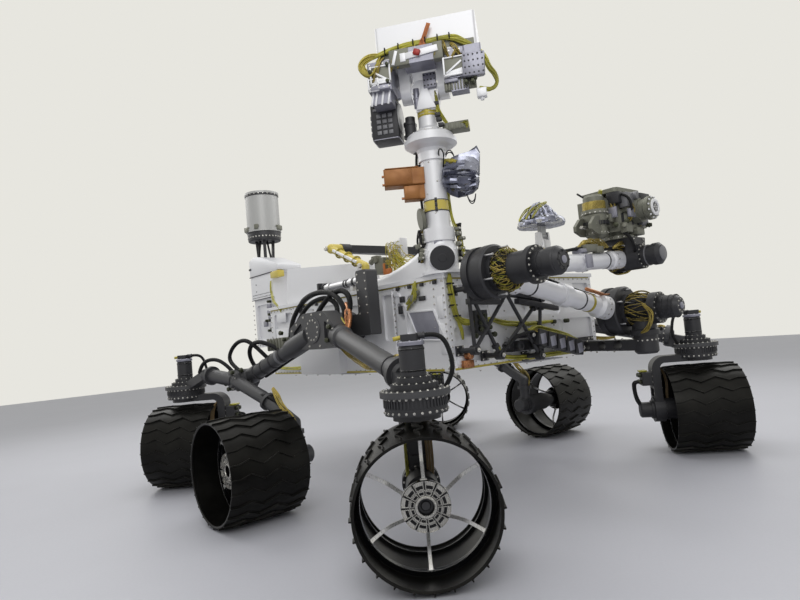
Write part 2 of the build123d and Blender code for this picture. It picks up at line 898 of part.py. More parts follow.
# White equipment case along the starboard edge of the deck, and the rail tube beside it
with BuildPart() as deck_case:
    plate(
        side_plane(case_y - case_width / 2),
        [
            (-655, deck_top - 30), (120, deck_top - 30), (149, deck_top + 60),
            (149, deck_top + 155), (-631, deck_top + 235), (-660, deck_top + 60),
        ],
        case_width,
        10,
    )
    block(
        at(chassis_rear, case_y - 2 * case_width, deck_top - 60),
        at(chassis_front, case_y + case_width, deck_top),
        mode=Mode.SUBTRACT,
    )
keep(deck_case, "deck_case")
with BuildPart() as deck_rail:
    rail_start = at(-150, rail_y, rail_z)
    turned(
        rail_start,
        (1, 0, 0),
        [
            (0, rail_radius - 5), (4, rail_radius), (318, rail_radius),
            (318, rail_radius + 4), (350, rail_radius + 4), (362, rail_radius - 6),
        ],
    )
    for clamp_x in (-110, 120):
        block(at(clamp_x, rail_y - 14, deck_top), at(clamp_x + 26, rail_y + 14, rail_z))
        rod(at(clamp_x, rail_y, rail_z), at(clamp_x + 26, rail_y, rail_z), rail_radius + 5)
keep(deck_rail, "deck_rail")

# Radioisotope power unit: finned drum on a strut frame behind the chassis
with BuildPart() as rtg:
    tilt = radians(rtg_tilt)
    axis = Vector(-cos(tilt), 0, sin(tilt))
    rtg_middle = at(rtg_x, 0, rtg_z)
    rtg_low = rtg_middle - axis * (rtg_length / 2)
    turned(
        rtg_low,
        axis,
        [
            (0, rtg_radius - 30), (30, rtg_radius), (rtg_length - 40, rtg_radius),
            (rtg_length - 14, rtg_radius - 26), (rtg_length - 14, 40), (rtg_length, 40),
        ],
    )
    for fin in range(fin_count):
        fin_turn = radians((fin + 0.5) * 360 / fin_count)
        outward = Vector(sin(tilt) * cos(fin_turn), sin(fin_turn), cos(tilt) * cos(fin_turn))
        with BuildSketch(Plane(origin=rtg_low, x_dir=axis, z_dir=axis.cross(outward))) as fin_side:
            with BuildLine():
                Polyline(
                    (40, rtg_radius - 20), (60, rtg_fin_radius - 40), (100, rtg_fin_radius),
                    (rtg_length - 100, rtg_fin_radius), (rtg_length - 60, rtg_fin_radius - 40),
                    (rtg_length - 45, rtg_radius - 20),
                    close=True,
                )
            make_face()
        extrude(fin_side.sketch, amount=fin_thick / 2, both=True)
keep(rtg, "power_unit")

with BuildPart() as rtg_frame:
    anchor = rtg_low
    for side in (-1, 1):
        for z in (chassis_low + 120, deck_low - 60):
            rod(at(chassis_rear - 1, side * 220, z), anchor + Vector(0, side * 70, 0), 14)
            block(at(chassis_rear - 16, side * 250, z - 30), at(chassis_rear, side * 190, z + 30))
    turned(anchor - axis * 30, axis, [(0, 80), (8, 118), (30, 118)])
    block(at(chassis_rear, -400, chassis_low), at(0, 400, deck_low), mode=Mode.SUBTRACT)
    rod(anchor, anchor + axis * 60, rtg_radius + 10, mode=Mode.SUBTRACT)
keep(rtg_frame, "power_unit_frame")

# Heat exchanger panels each side of the power unit: a cranked plate with a stiffened rim
with BuildPart() as exchangers:
    for side in (-1, 1):
        plate(
            side_plane(side * (exchanger_y + exchanger_thick / 2)),
            [
                (chassis_rear, chassis_low + 230), (rtg_x - 60, rtg_z + 40), (rtg_x - 60, deck_top + 300),
                (chassis_rear - deck_lip, deck_top + 200), (chassis_rear - deck_lip, deck_low - 10),
                (chassis_rear, deck_low - 10),
            ],
            exchanger_thick,
            5,
        )
        plate(
            side_plane(side * (exchanger_y + exchanger_thick)),
            [
                (chassis_rear - 50, deck_top - 160), (rtg_x - 20, rtg_z + 90), (rtg_x - 20, deck_top + 250),
                (chassis_rear - 50, deck_top + 160),
            ],
            exchanger_thick,
            20,
            mode=Mode.SUBTRACT,
        )
keep(exchangers, "heat_exchangers")

# Relay antenna on a tower and a tripod behind the rear starboard corner
tower_middle = tower_y + tower_width / 2
with BuildPart() as uhf_stand:
    block(
        at(tower_rear + 20, tower_y + 10, tower_low),
        at(chassis_rear - deck_lip, tower_y + tower_width - 10, tower_step),
    )
    block(at(tower_rear, tower_y, tower_step), at(chassis_rear - deck_lip, tower_y + tower_width, tower_top))
    block(
        at(chassis_rear - deck_lip, tower_y + 10, tower_low),
        at(chassis_rear, tower_y + tower_width - 10, deck_low - 2),
    )
    plate(
        side_plane(tower_y + 10),
        [
            (tower_rear + 50, tower_low + 50), (chassis_rear - 50, tower_low + 30),
            (chassis_rear - 50, tower_step - 40), (tower_rear + 50, tower_step - 40),
        ],
        2 * pocket_depth,
        pocket_corner,
        mode=Mode.SUBTRACT,
    )
keep(uhf_stand, "relay_antenna_stand")
with BuildPart() as tripod:
    for leg in range(3):
        leg_turn = radians(90 + leg * 120)
        spread = Vector(cos(leg_turn), sin(leg_turn), 0)
        leg_foot = at(relay_x, relay_y, tower_top)
        bar(leg_foot + spread * tripod_spread * 0.7, at(relay_x, relay_y, relay_low) + spread * tripod_spread, 22, 14)
    turned(at(relay_x, relay_y, tower_top), (0, 0, 1), [(0, 78), (12, 78), (12, 40), (90, 30)])
    turned(at(relay_x, relay_y, relay_low - 60), (0, 0, 1), [(0, 60), (46, 96), (60, 96)])
    for cut_low, cut_high in ((tower_step, tower_top), (relay_low, relay_high)):
        block(
            at(relay_x - 150, relay_y - 150, cut_low),
            at(relay_x + 150, relay_y + 150, cut_high),
            mode=Mode.SUBTRACT,
        )
keep(tripod, "relay_antenna_tripod")
with BuildPart() as uhf:
    relay_height = relay_high - relay_low
    turned(
        at(relay_x, relay_y, relay_low),
        (0, 0, 1),
        [
            (0, relay_radius + 6), (26, relay_radius + 6), (26, relay_radius),
            (relay_height - 14, relay_radius), (relay_height - 14, relay_radius + 4),
            (relay_height, relay_radius + 4),
        ],
    )
keep(uhf, "relay_antenna")

# Low-gain antenna and sample inlets on the deck
with BuildPart() as low_gain:
    turned(
        at(low_gain_x, low_gain_y, deck_top),
        (0, 0, 1),
        [
            (0, 46), (8, 46), (8, 20), (low_gain_height, 20), (low_gain_height, low_gain_radius),
            (low_gain_height + 30, low_gain_radius), (low_gain_height + 60, low_gain_radius - 16),
        ],
    )
keep(low_gain, "low_gain_antenna")
with BuildPart() as inlets:
    for inlet_y in (-200, 0, 150):
        turned(
            at(inlet_x, inlet_y, deck_top),
            (0, 0, 1),
            [
                (0, inlet_radius + 12), (8, inlet_radius + 12), (8, inlet_radius - 8),
                (inlet_height - 14, inlet_radius - 8), (inlet_height - 14, inlet_radius), (inlet_height, inlet_radius),
            ],
        )
keep(inlets, "sample_inlets")

# Hazard cameras, front and rear: a box with a turned lens hood each
for name, face_x, ahead, stations, camera_z in (
    ("hazard_cameras_front", chassis_front - pocket_depth, 1, (-180, -60, 60, 180), 730),
    ("hazard_cameras_rear", chassis_rear + pocket_depth, -1, (-500, -420, 420, 500), 750),
):
    with BuildPart() as cameras:
        for camera_y in stations:
            block(at(face_x, camera_y - 26, camera_z - 26), at(face_x + ahead * 56, camera_y + 26, camera_z + 26))
            turned(
                at(face_x + ahead * 56, camera_y, camera_z),
                (ahead, 0, 0),
                [(0, 18), (18, 18), (18, 23), (28, 23), (28, 12), (22, 10)],
            )
    keep(cameras, name)

# Mast: fairing foot, hinge drum, column, tube with its flange, and two side booms
with BuildPart() as mast_base:
    foot_low = deck_top - 20
    for back, wide, high, corner in (
        (foot_length, 0.5 * foot_width, 84, 20),
        (foot_length / 2, 0.8 * foot_width, 124, 30),
        (30, foot_width, 204, 50),
    ):
        with BuildSketch(Plane(origin=at(mast_x - back, mast_y, foot_low + high / 2 - 20), x_dir=(0, 1, 0), z_dir=(1, 0, 0))):
            RectangleRounded(wide, high, corner)
    loft()
    turned(
        at(mast_x, mast_y, deck_top),
        (0, 0, 1),
        [
            (0, 96), (14, 96), (14, 78), (110, 82), (mast_low - deck_top - 36, barrel_radius),
            (mast_low - deck_top - 36, barrel_radius + 8), (mast_low - deck_top, barrel_radius + 8),
        ],
    )
    hinge_middle = at(mast_x, mast_y, hinge_z)
    hinge_line = Vector(0.74, -0.66, -0.12).normalized()
    turned(
        hinge_middle - hinge_line * 70,
        hinge_line,
        [(0, hinge_radius - 12), (0, hinge_radius), (160, hinge_radius), (172, hinge_radius - 10)],
    )
    block(
        at(mast_x - foot_length - 100, mast_y - 200, deck_top - 200),
        at(mast_x + 250, mast_y + 200, deck_top),
        mode=Mode.SUBTRACT,
    )
keep(mast_base, "mast_base")
with BuildPart() as mast:
    tube_length = mast_flange_z - mast_low
    turned(
        at(mast_x, mast_y, mast_low),
        (0, 0, 1),
        [
            (0, barrel_radius + 8), (26, barrel_radius + 8), (26, mast_radius),
            (tube_length - 100, mast_radius), (tube_length - 100, barrel_radius),
            (tube_length - 60, barrel_radius), (tube_length - 44, mast_radius + 14),
            (tube_length - mast_flange_thick - 14, mast_flange_radius - 20),
            (tube_length - mast_flange_thick, mast_flange_radius), (tube_length, mast_flange_radius),
        ],
    )
keep(mast, "mast_tube")
with BuildPart() as front_boom:
    boom_line = Vector(0.78, 0.62, -0.1).normalized()
    boom_root = at(mast_x, mast_y, boom_z) + boom_line * (mast_radius - 10)
    turned(
        boom_root,
        boom_line,
        [
            (0, boom_radius - 8), (20, boom_radius - 8), (40, boom_belly - 34), (76, boom_belly - 4),
            (104, boom_belly), (132, boom_belly - 14), (boom_reach - mast_radius, boom_radius),
        ],
    )
    bore_low = at(mast_x, mast_y, boom_z - 120)
    bore_high = at(mast_x, mast_y, boom_z + 120)
    rod(bore_low, bore_high, mast_radius + seat_gap, mode=Mode.SUBTRACT)
keep(front_boom, "sensor_boom_front")
with BuildPart() as rear_boom:
    boom_line = Vector(-0.64, -0.77, 0).normalized()
    boom_level = Vector(0.77, -0.64, 0)
    for low, high, reach, wide in ((step_low, step_high, step_reach, 62), (step_high - 2, cover_high, cover_reach, 78)):
        cover_root = at(mast_x, mast_y, (low + high) / 2) + boom_line * (mast_radius - 12)
        with BuildSketch(Plane(origin=cover_root, x_dir=boom_level, z_dir=boom_line)):
            RectangleRounded(wide, high - low, 6)
        extrude(amount=reach - mast_radius + 12)
    rod(bore_low, bore_high, mast_radius + seat_gap, mode=Mode.SUBTRACT)
keep(rear_boom, "sensor_boom_rear")

# Pan yoke and head, in the head's own turned plane: its x looks where the cameras look
pan_low = mast_flange_z + running_gap
head_plane = Plane(
    origin=at(mast_x, mast_y, 0),
    x_dir=(cos(radians(head_pan)), sin(radians(head_pan)), 0),
    z_dir=(0, 0, 1),
)
head_ahead = head_plane.x_dir
head_port = head_plane.y_dir


def head_at(x, y, z):
    """A point in the head's turned plane."""
    return at(mast_x, mast_y, z) + head_ahead * x + head_port * y


with BuildPart() as pan_yoke:
    yoke_low = tilt_z - yoke_drop
    turned(
        head_at(0, 0, pan_low),
        (0, 0, 1),
        [
            (0, pan_disc_radius), (pan_disc_thick - 8, pan_disc_radius), (pan_disc_thick, pan_disc_radius - 10),
            (pan_disc_thick, neck_radius + 16), (pan_disc_thick + 20, neck_radius + 16),
            (pan_disc_thick + 34, neck_radius), (yoke_low - pan_low + 4, neck_radius),
        ],
    )
    with BuildSketch(Plane(origin=head_at(0, 0, 0), x_dir=head_port, z_dir=head_ahead)) as yoke_shape:
        with BuildLine():
            Polyline(
                (-yoke_width / 2 + 18, yoke_low - 50), (yoke_width / 2 - 18, yoke_low - 50),
                (yoke_width / 2, tilt_z - yoke_drop / 2), (yoke_width / 2, tilt_z + 10),
                (yoke_width / 4, tilt_z + yoke_rise), (-yoke_width / 4, tilt_z + yoke_rise),
                (-yoke_width / 2, tilt_z + 10), (-yoke_width / 2, tilt_z - yoke_drop / 2),
                close=True,
            )
        make_face()
    extrude(yoke_shape.sketch, amount=yoke_depth / 2, both=True)
    trunnion_end = yoke_width / 2 + head_arm_thick
    rod(head_at(0, -trunnion_end, tilt_z), head_at(0, trunnion_end, tilt_z), trunnion_radius)
keep(pan_yoke, "pan_yoke")

with BuildPart() as pan_gear:
    motor_low = pan_low + pan_disc_thick + seat_gap
    turned(
        head_at(0, pan_motor_y, motor_low),
        (0, 0, 1),
        [
            (0, pan_motor_radius + 6), (12, pan_motor_radius + 6), (12, pan_motor_radius),
            (60, pan_motor_radius), (60, pan_motor_radius + 4), (74, pan_motor_radius + 4), (74, pan_motor_radius - 6),
            (pan_motor_height, pan_motor_radius - 6),
        ],
    )
    block_near = neck_radius + 20
    with BuildSketch(head_plane.offset(motor_low)) as connector_block:
        with Locations((0, -(block_near + pan_box_far) / 2)):
            RectangleRounded(64, pan_box_far - block_near, 5)
    extrude(connector_block.sketch, amount=37)
    rod(
        head_at(0, 0, motor_low - 1),
        head_at(0, 0, motor_low + 200),
        neck_radius + 16 + seat_gap,
        mode=Mode.SUBTRACT,
    )
keep(pan_gear, "pan_actuator")

with BuildPart() as head:
    arm_middle = yoke_width / 2 + head_arm_gap + head_arm_thick / 2
    with BuildSketch(head_plane.offset(head_low)) as head_box:
        with Locations((0, -head_shift)):
            RectangleRounded(head_depth, head_width, head_corner)
    extrude(head_box.sketch, amount=head_high - head_low)
    for side in (-1, 1):
        arm_plane = Plane(
            origin=head_at(0, side * arm_middle, 0),
            x_dir=head_ahead,
            z_dir=head_ahead.cross(Vector(0, 0, 1)),
        )
        with BuildSketch(arm_plane) as head_arm:
            with Locations((0, tilt_z)):
                Circle(head_arm_radius)
            with BuildLine():
                Polyline(
                    (-head_arm_radius, tilt_z), (-head_arm_radius - 20, head_low),
                    (head_arm_radius + 20, head_low), (head_arm_radius, tilt_z),
                    close=True,
                )
            make_face()
            with Locations((0, tilt_z)):
                Circle(trunnion_radius + running_gap, mode=Mode.SUBTRACT)
            with Locations((0, (tilt_z + head_low) / 2 + 16)):
                Circle(20, mode=Mode.SUBTRACT)
        extrude(head_arm.sketch, amount=head_arm_thick / 2 - head_arm_gap / 2, both=True)
keep(head, "camera_head")

# Below the head's box: a machined block and a camera each side, a vented box, electronics, and a rear beam
head_under = head_low - seat_gap


def head_block(x_near, x_far, y_near, y_far, z_low, z_high, corner):
    """A block with rounded upright edges in the head's turned plane."""
    with BuildSketch(head_plane.offset(z_low)) as footprint:
        with Locations(((x_near + x_far) / 2, (y_near + y_far) / 2)):
            RectangleRounded(abs(x_far - x_near), abs(y_far - y_near), corner)
    extrude(footprint.sketch, amount=z_high - z_low)


with BuildPart() as head_gear:
    camera_y = gear_near + 36
    gear_low = head_under - gear_drop
    for side in (-1, 1):
        head_block(-45, 105, side * gear_near, side * (gear_near + 72), head_under - camera_drop, head_under, 6)
        turned(
            head_at(105, side * camera_y, head_under - camera_drop / 2),
            head_ahead,
            [(0, 28), (26, 28), (26, 33), (40, 33), (40, 20), (32, 16)],
        )
        head_block(-gear_rear, -30, side * gear_near, side * gear_far, gear_low, head_under, 6)
        with BuildSketch(Plane(origin=head_at(-gear_rear, 0, 0), x_dir=-head_port, z_dir=-head_ahead)) as recess:
            with Locations((-side * (gear_near + gear_far) / 2, (gear_low + head_under) / 2)):
                RectangleRounded(gear_far - gear_near - 36, gear_drop - 60, 8)
        extrude(recess.sketch, amount=-gear_rear / 4, mode=Mode.SUBTRACT)
    head_block(-vented_depth / 2, vented_depth / 2, vented_near, vented_far, vented_low, vented_high, 10)
    head_block(-gear_rear + 15, -40, vented_near + 4, gear_far - 8, vented_high - 40, gear_low, 5)
    for vent in range(7):
        vent_z = vented_low + 18 + vent * (vented_high - vented_low - 66) / 6
        with BuildSketch(Plane(origin=head_at(0, vented_far, vent_z), x_dir=head_ahead, z_dir=head_port)) as slit:
            Rectangle(vented_depth - 24, 8)
        extrude(slit.sketch, amount=-10, mode=Mode.SUBTRACT)
    head_block(-gear_rear - 20, -80, -205, -285, gear_low + 20, head_under - 8, 8)
    head_block(-gear_rear + 15, -95, -gear_near - 5, -215, gear_low - 55, gear_low, 4)
    head_block(-75, -gear_rear, -70, 70, beam_low, head_under, 6)
    beam_near = -head_depth / 2 - seat_gap
    head_block(beam_near - beam_depth_behind, beam_near, 130 - gear_far, gear_near - 6, beam_low, head_low + 33, 4)
keep(head_gear, "head_instruments")

# Arm, folded across the front: mount, turning base, upper arm, forearm, wrist and tool turret
with BuildPart() as arm_mount:
    plate(
        side_plane(shoulder_y),
        [
            (chassis_front, base_high - 10),
            (shoulder_x - base_radius, base_high - 20),
            (shoulder_x, base_high - 20),
            (shoulder_x, base_low + 20),
            (shoulder_x - base_radius, base_low + 20),
            (chassis_front, base_low + 30),
        ],
        mount_width,
        4,
    )
    for lightening in range(3):
        hole_x = chassis_front + 70 + lightening * 95
        rod(
            at(hole_x, shoulder_y - mount_width, (base_low + base_high) / 2 + 6),
            at(hole_x, shoulder_y + mount_width, (base_low + base_high) / 2 + 6),
            24,
            mode=Mode.SUBTRACT,
        )
    block(
        at(chassis_front, shoulder_y - mount_width, base_low + 24),
        at(chassis_front + 18, shoulder_y + mount_width, base_high + 10),
    )
    turned(
        at(shoulder_x, shoulder_y, base_low),
        (0, 0, 1),
        [(0, base_radius - 12), (12, base_radius), (base_high - base_low, base_radius)],
    )
keep(arm_mount, "arm_mount")
with BuildPart() as shoulder:
    turned(
        at(shoulder_x, shoulder_y, base_high + running_gap),
        (0, 0, 1),
        [(0, base_radius + 12), (26, base_radius + 12), (34, base_radius), (shoulder_z - base_high, base_radius)],
    )
    drive_end = arm_motor_end_x - 40
    turned(
        at(drum_front_x + running_gap, shoulder_y, shoulder_z),
        (1, 0, 0),
        [
            (0, flex_radius), (24, flex_radius), (24, flex_neck), (shoulder_x + 60 - drum_front_x, flex_neck),
            (shoulder_x + 60 - drum_front_x, flex_neck + 14), (shoulder_x + 100 - drum_front_x, flex_neck + 14),
            (shoulder_x + 100 - drum_front_x, arm_motor_radius), (drive_end - drum_front_x - 24, arm_motor_radius),
            (drive_end - drum_front_x, arm_motor_radius - 16),
        ],
    )
keep(shoulder, "arm_shoulder")

elbow = at(upper_arm_x, elbow_y, elbow_z)
shoulder_point = at(upper_arm_x, shoulder_y, shoulder_z)
upper_line = elbow - shoulder_point
with BuildPart() as upper_arm:
    turned(
        shoulder_point,
        upper_line,
        [
            (shoulder_drum_radius - 30, tube_socket), (arm_socket_length + 30, tube_socket),
            (arm_socket_length + 44, upper_tube_radius), (upper_line.length / 2 - 50, upper_tube_radius),
            (upper_line.length / 2 - 50, upper_tube_radius + 10), (upper_line.length / 2 + 10, upper_tube_radius + 10),
            (upper_line.length / 2 + 10, upper_tube_radius),
            (upper_line.length - arm_socket_length - 24, upper_tube_radius),
            (upper_line.length - arm_socket_length - 10, tube_socket),
            (upper_line.length - elbow_drum_radius + 30, tube_socket),
        ],
    )
    for centre_y, centre_z, radius in (
        (shoulder_y, shoulder_z, shoulder_drum_radius),
        (elbow_y, elbow_z, elbow_drum_radius),
    ):
        rod(
            at(drum_rear_x - 50, centre_y, centre_z),
            at(drum_front_x + 50, centre_y, centre_z),
            radius,
            mode=Mode.SUBTRACT,
        )
keep(upper_arm, "upper_arm")
with BuildPart() as upper_drums:
    drum_length = drum_front_x - drum_rear_x
    for centre_y, centre_z, radius in (
        (shoulder_y, shoulder_z, shoulder_drum_radius),
        (elbow_y, elbow_z, elbow_drum_radius),
    ):
        turned(
            at(drum_rear_x, centre_y, centre_z),
            (1, 0, 0),
            [
                (14, radius - 46), (14, radius - 20), (0, radius - 20), (0, radius - 8), (8, radius), (42, radius),
                (42, radius - 7), (drum_length - 42, radius - 7), (drum_length - 42, radius),
                (drum_length - 8, radius), (drum_length, radius - 8),
            ],
        )
keep(upper_drums, "upper_arm_drums")

fore_start = at(forearm_x, elbow_y, elbow_z)
wrist_point = at(forearm_x, wrist_y, wrist_z)
fore_line = wrist_point - fore_start
with BuildPart() as forearm:
    turned(
        fore_start,
        fore_line,
        [
            (flex_neck - 10, fore_tube_radius + 8), (arm_socket_length, fore_tube_radius + 8),
            (arm_socket_length + 12, fore_tube_radius - 6), (fore_line.length / 2, fore_tube_radius - 6),
            (fore_line.length / 2, fore_tube_radius), (fore_line.length / 2 + 50, fore_tube_radius),
            (fore_line.length / 2 + 50, fore_tube_radius - 6), (fore_line.length - 150, fore_tube_radius - 6),
            (fore_line.length - 138, fore_tube_radius), (fore_line.length - wrist_drum_radius + 10, fore_tube_radius),
        ],
    )
    rod(at(forearm_x - 90, elbow_y, elbow_z), at(forearm_x + 90, elbow_y, elbow_z), flex_neck, mode=Mode.SUBTRACT)
    rod(at(forearm_x - 90, wrist_y, wrist_z), at(forearm_x + 90, wrist_y, wrist_z), wrist_drum_radius, mode=Mode.SUBTRACT)
keep(forearm, "forearm")
with BuildPart() as fore_drums:
    fore_front = forearm_x + fore_tube_radius
    turned(
        at(drum_front_x + running_gap, elbow_y, elbow_z),
        (1, 0, 0),
        [
            (0, flex_radius), (22, flex_radius), (22, flex_neck), (fore_front - drum_front_x + 10, flex_neck),
            (fore_front - drum_front_x + 10, flex_neck + 12), (fore_front - drum_front_x + 34, flex_neck + 12),
            (fore_front - drum_front_x + 34, arm_motor_radius - 6),
            (arm_motor_end_x - drum_front_x - 60, arm_motor_radius - 6),
            (arm_motor_end_x - drum_front_x - 60, arm_motor_radius),
            (arm_motor_end_x - drum_front_x - 22, arm_motor_radius), (arm_motor_end_x - drum_front_x, arm_motor_radius - 18),
        ],
    )
    turned(
        at(forearm_x - 80, wrist_y, wrist_z),
        (1, 0, 0),
        [
            (0, wrist_drum_radius - 14), (14, wrist_drum_radius - 14), (14, wrist_drum_radius),
            (80 + fore_tube_radius, wrist_drum_radius),
        ],
    )
keep(fore_drums, "forearm_drums")
with BuildPart() as wrist:
    rotor_x = fore_front + running_gap
    wrist_end = arm_motor_end_x - rotor_x
    turned(
        at(rotor_x, wrist_y, wrist_z),
        (1, 0, 0),
        [
            (0, wrist_drum_radius), (60, wrist_drum_radius), (60, wrist_drum_radius - 12),
            (wrist_end - 40, wrist_drum_radius - 12), (wrist_end - 40, wrist_drum_radius - 8),
            (wrist_end - 14, wrist_drum_radius - 8), (wrist_end, wrist_drum_radius - 22),
        ],
    )
    plate(
        front_plane(rotor_x + 20),
        [
            (wrist_y - 52, wrist_z), (wrist_y - 66, turret_low), (wrist_y + 66, turret_low), (wrist_y + 52, wrist_z),
        ],
        40,
        4,
    )
    block(at(turret_x - 70, wrist_y - 60, turret_low - 22), at(rotor_x + 40, wrist_y + 60, turret_low))
    block(at(turret_x - 100, wrist_y - 100, turret_low), at(rotor_x + 80, wrist_y + 100, turret_low + 40), mode=Mode.SUBTRACT)
keep(wrist, "wrist")

# Tool turret: hexagonal body, drill with its fork, sieve box, round instrument and camera
with BuildPart() as turret:
    body_low = turret_low + running_gap
    turned(at(turret_x, wrist_y, body_low), (0, 0, 1), [(0, 84), (16, 84), (16, 62), (46, 62)])
    with BuildSketch(Plane(origin=at(turret_x, wrist_y, turret_low + 34))) as turret_body:
        RegularPolygon(turret_radius, 6, rotation=30)
        fillet(turret_body.vertices(), 14)
    extrude(turret_body.sketch, amount=turret_high - tool_plate - turret_low - 34 - 16)
    with BuildSketch(Plane(origin=at(turret_x, wrist_y, turret_high - tool_plate))) as top_plate:
        with Locations((-12, -10)):
            RectangleRounded(190, 230, 24)
    extrude(top_plate.sketch, amount=tool_plate)
    turned(
        at(turret_x, wrist_y, turret_high - tool_plate - 20),
        (0, 0, 1),
        [(0, 70), (24, 70)],
    )
    instrument_x = turret_x + turret_radius - 14
    turned(
        at(instrument_x - 20, wrist_y, turret_low + 125),
        (1, 0, 0),
        [
            (0, 44), (24, 44), (24, 58), (62, 58), (62, 50), (86, 50), (92, 56), (112, 56), (112, 44), (124, 40),
        ],
    )
    drill_y = wrist_y - 172
    turned(
        at(turret_x - 14, drill_y, turret_low + 6),
        (0, 0, 1),
        [
            (0, 40), (14, 52), (60, 52), (60, 60), (78, 60), (78, 54), (110, 54), (116, 60), (134, 60),
            (134, 48), (196, 48), (208, 40),
        ],
    )
    bar(at(turret_x, wrist_y - 80, turret_low + 120), at(turret_x - 14, drill_y, turret_low + 120), 90, 130)
    for fork_x in (-58, 22):
        plate(
            front_plane(turret_x + fork_x),
            [
                (drill_y - 20, turret_low + 20), (drill_y - 20, turret_low + 108), (drill_y - 70, turret_low + 104),
                (drill_y - 112, turret_low + 66), (drill_y - 112, turret_low + 40), (drill_y - 60, turret_low + 20),
            ],
            16,
            7,
        )
    block(at(turret_x - 166, wrist_y - 70, turret_low + 55), at(turret_x - 80, wrist_y + 70, turret_low + 215))
    block(at(turret_x - 168, wrist_y - 50, turret_low + 75), at(turret_x - 150, wrist_y + 50, turret_low + 195), mode=Mode.SUBTRACT)
    block(at(turret_x + 20, wrist_y - 30, turret_low + 50), at(turret_x + 92, wrist_y + 110, turret_low + 212))
keep(turret, "turret")

# Stow frame under the arm: beam, feet and struts in front of the chassis, and a ribbed rest
with BuildPart() as stow:
    beam_high = at(stow_x, -553, 1018)
    beam_low = at(stow_x, -33, 960)
    feet = [at(stow_x, -546, 738), at(stow_x, -381, 702), at(stow_x, -81, 675)]
    rod(beam_high, beam_low, stow_radius + 4)
    for strut_top, strut_foot in (
        (beam_high, feet[0]),
        (beam_high, feet[1]),
        (beam_low, feet[1]),
        (beam_low, feet[2]),
        ((beam_high + beam_low) / 2, feet[0]),
        ((beam_high + beam_low) / 2, feet[2]),
    ):
        rod(strut_top, strut_foot, stow_radius - 3)
    for node_point in (beam_high, beam_low, *feet):
        wall_point = Vector(mid_axle_x + chassis_front, node_point.Y, node_point.Z)
        turned(wall_point, (1, 0, 0), [(0, stow_radius), (stow_x - chassis_front + 22, stow_radius)])
        turned(node_point - Vector(18, 0, 0), (1, 0, 0), [(0, stow_radius + 10), (36, stow_radius + 10)])
        block(
            Vector(mid_axle_x + chassis_front, node_point.Y - 24, node_point.Z - 24),
            Vector(mid_axle_x + chassis_front + 10, node_point.Y + 24, node_point.Z + 24),
        )
    rest_start = at(stow_x, -144, 779)
    rest_end = at(stow_x, 270, 684)
    rest_line = rest_end - rest_start
    rod(rest_start, rest_end, stow_radius + 3)
    for rib in range(stow_ribs):
        rib_foot = rest_start + rest_line * ((rib + 0.5) / stow_ribs)
        turned(rib_foot, rest_line, [(0, 24), (14, 24)])
    for rest_point in (rest_start, rest_end):
        turned(
            Vector(mid_axle_x + chassis_front, rest_point.Y, rest_point.Z),
            (1, 0, 0),
            [(0, stow_radius), (stow_x - chassis_front + 22, stow_radius)],
        )
keep(stow, "stow_frame")

# High-gain antenna on its two-axis gimbal
with BuildPart() as hga_base:
    turned(
        at(hga_x, hga_y, deck_top),
        (0, 0, 1),
        [
            (0, hga_post_radius + 20), (12, hga_post_radius + 20), (12, hga_post_radius - 8),
            (hga_base_top - deck_top - 40, hga_post_radius - 8), (hga_base_top - deck_top - 40, hga_post_radius),
            (hga_base_top - deck_top, hga_post_radius),
        ],
    )
keep(hga_base, "dish_base")
with BuildPart() as hga_gimbal:
    turned(
        at(hga_x, hga_y, hga_base_top + running_gap),
        (0, 0, 1),
        [
            (0, hga_post_radius), (24, hga_post_radius), (24, hga_post_radius - 6),
            (hga_axis_z - hga_base_top - 35, hga_post_radius - 6),
        ],
    )
    for side in (-1, 1):
        plate(
            side_plane(hga_y + side * (hga_cheek_gap + hga_cheek / 2)),
            [
                (hga_x - 26, hga_axis_z - 60), (hga_x - 20, hga_axis_z + 22), (hga_x + 20, hga_axis_z + 22),
                (hga_x + 26, hga_axis_z - 60),
            ],
            hga_cheek,
            8,
        )
keep(hga_gimbal, "dish_gimbal")
with BuildPart() as hga_panel:
    with BuildSketch(Plane(origin=at(hga_x, hga_y, hga_z))) as hexagon:
        RegularPolygon(hga_radius, 6)
        fillet(hexagon.vertices(), 16)
    extrude(hexagon.sketch, amount=hga_thick)
    pin_end = hga_cheek_gap - running_gap
    rod(at(hga_x, hga_y - pin_end, hga_axis_z), at(hga_x, hga_y + pin_end, hga_axis_z), 16)
    block(at(hga_x - 12, hga_y - 26, hga_axis_z), at(hga_x + 12, hga_y + 26, hga_z))
keep(hga_panel, "dish_panel")

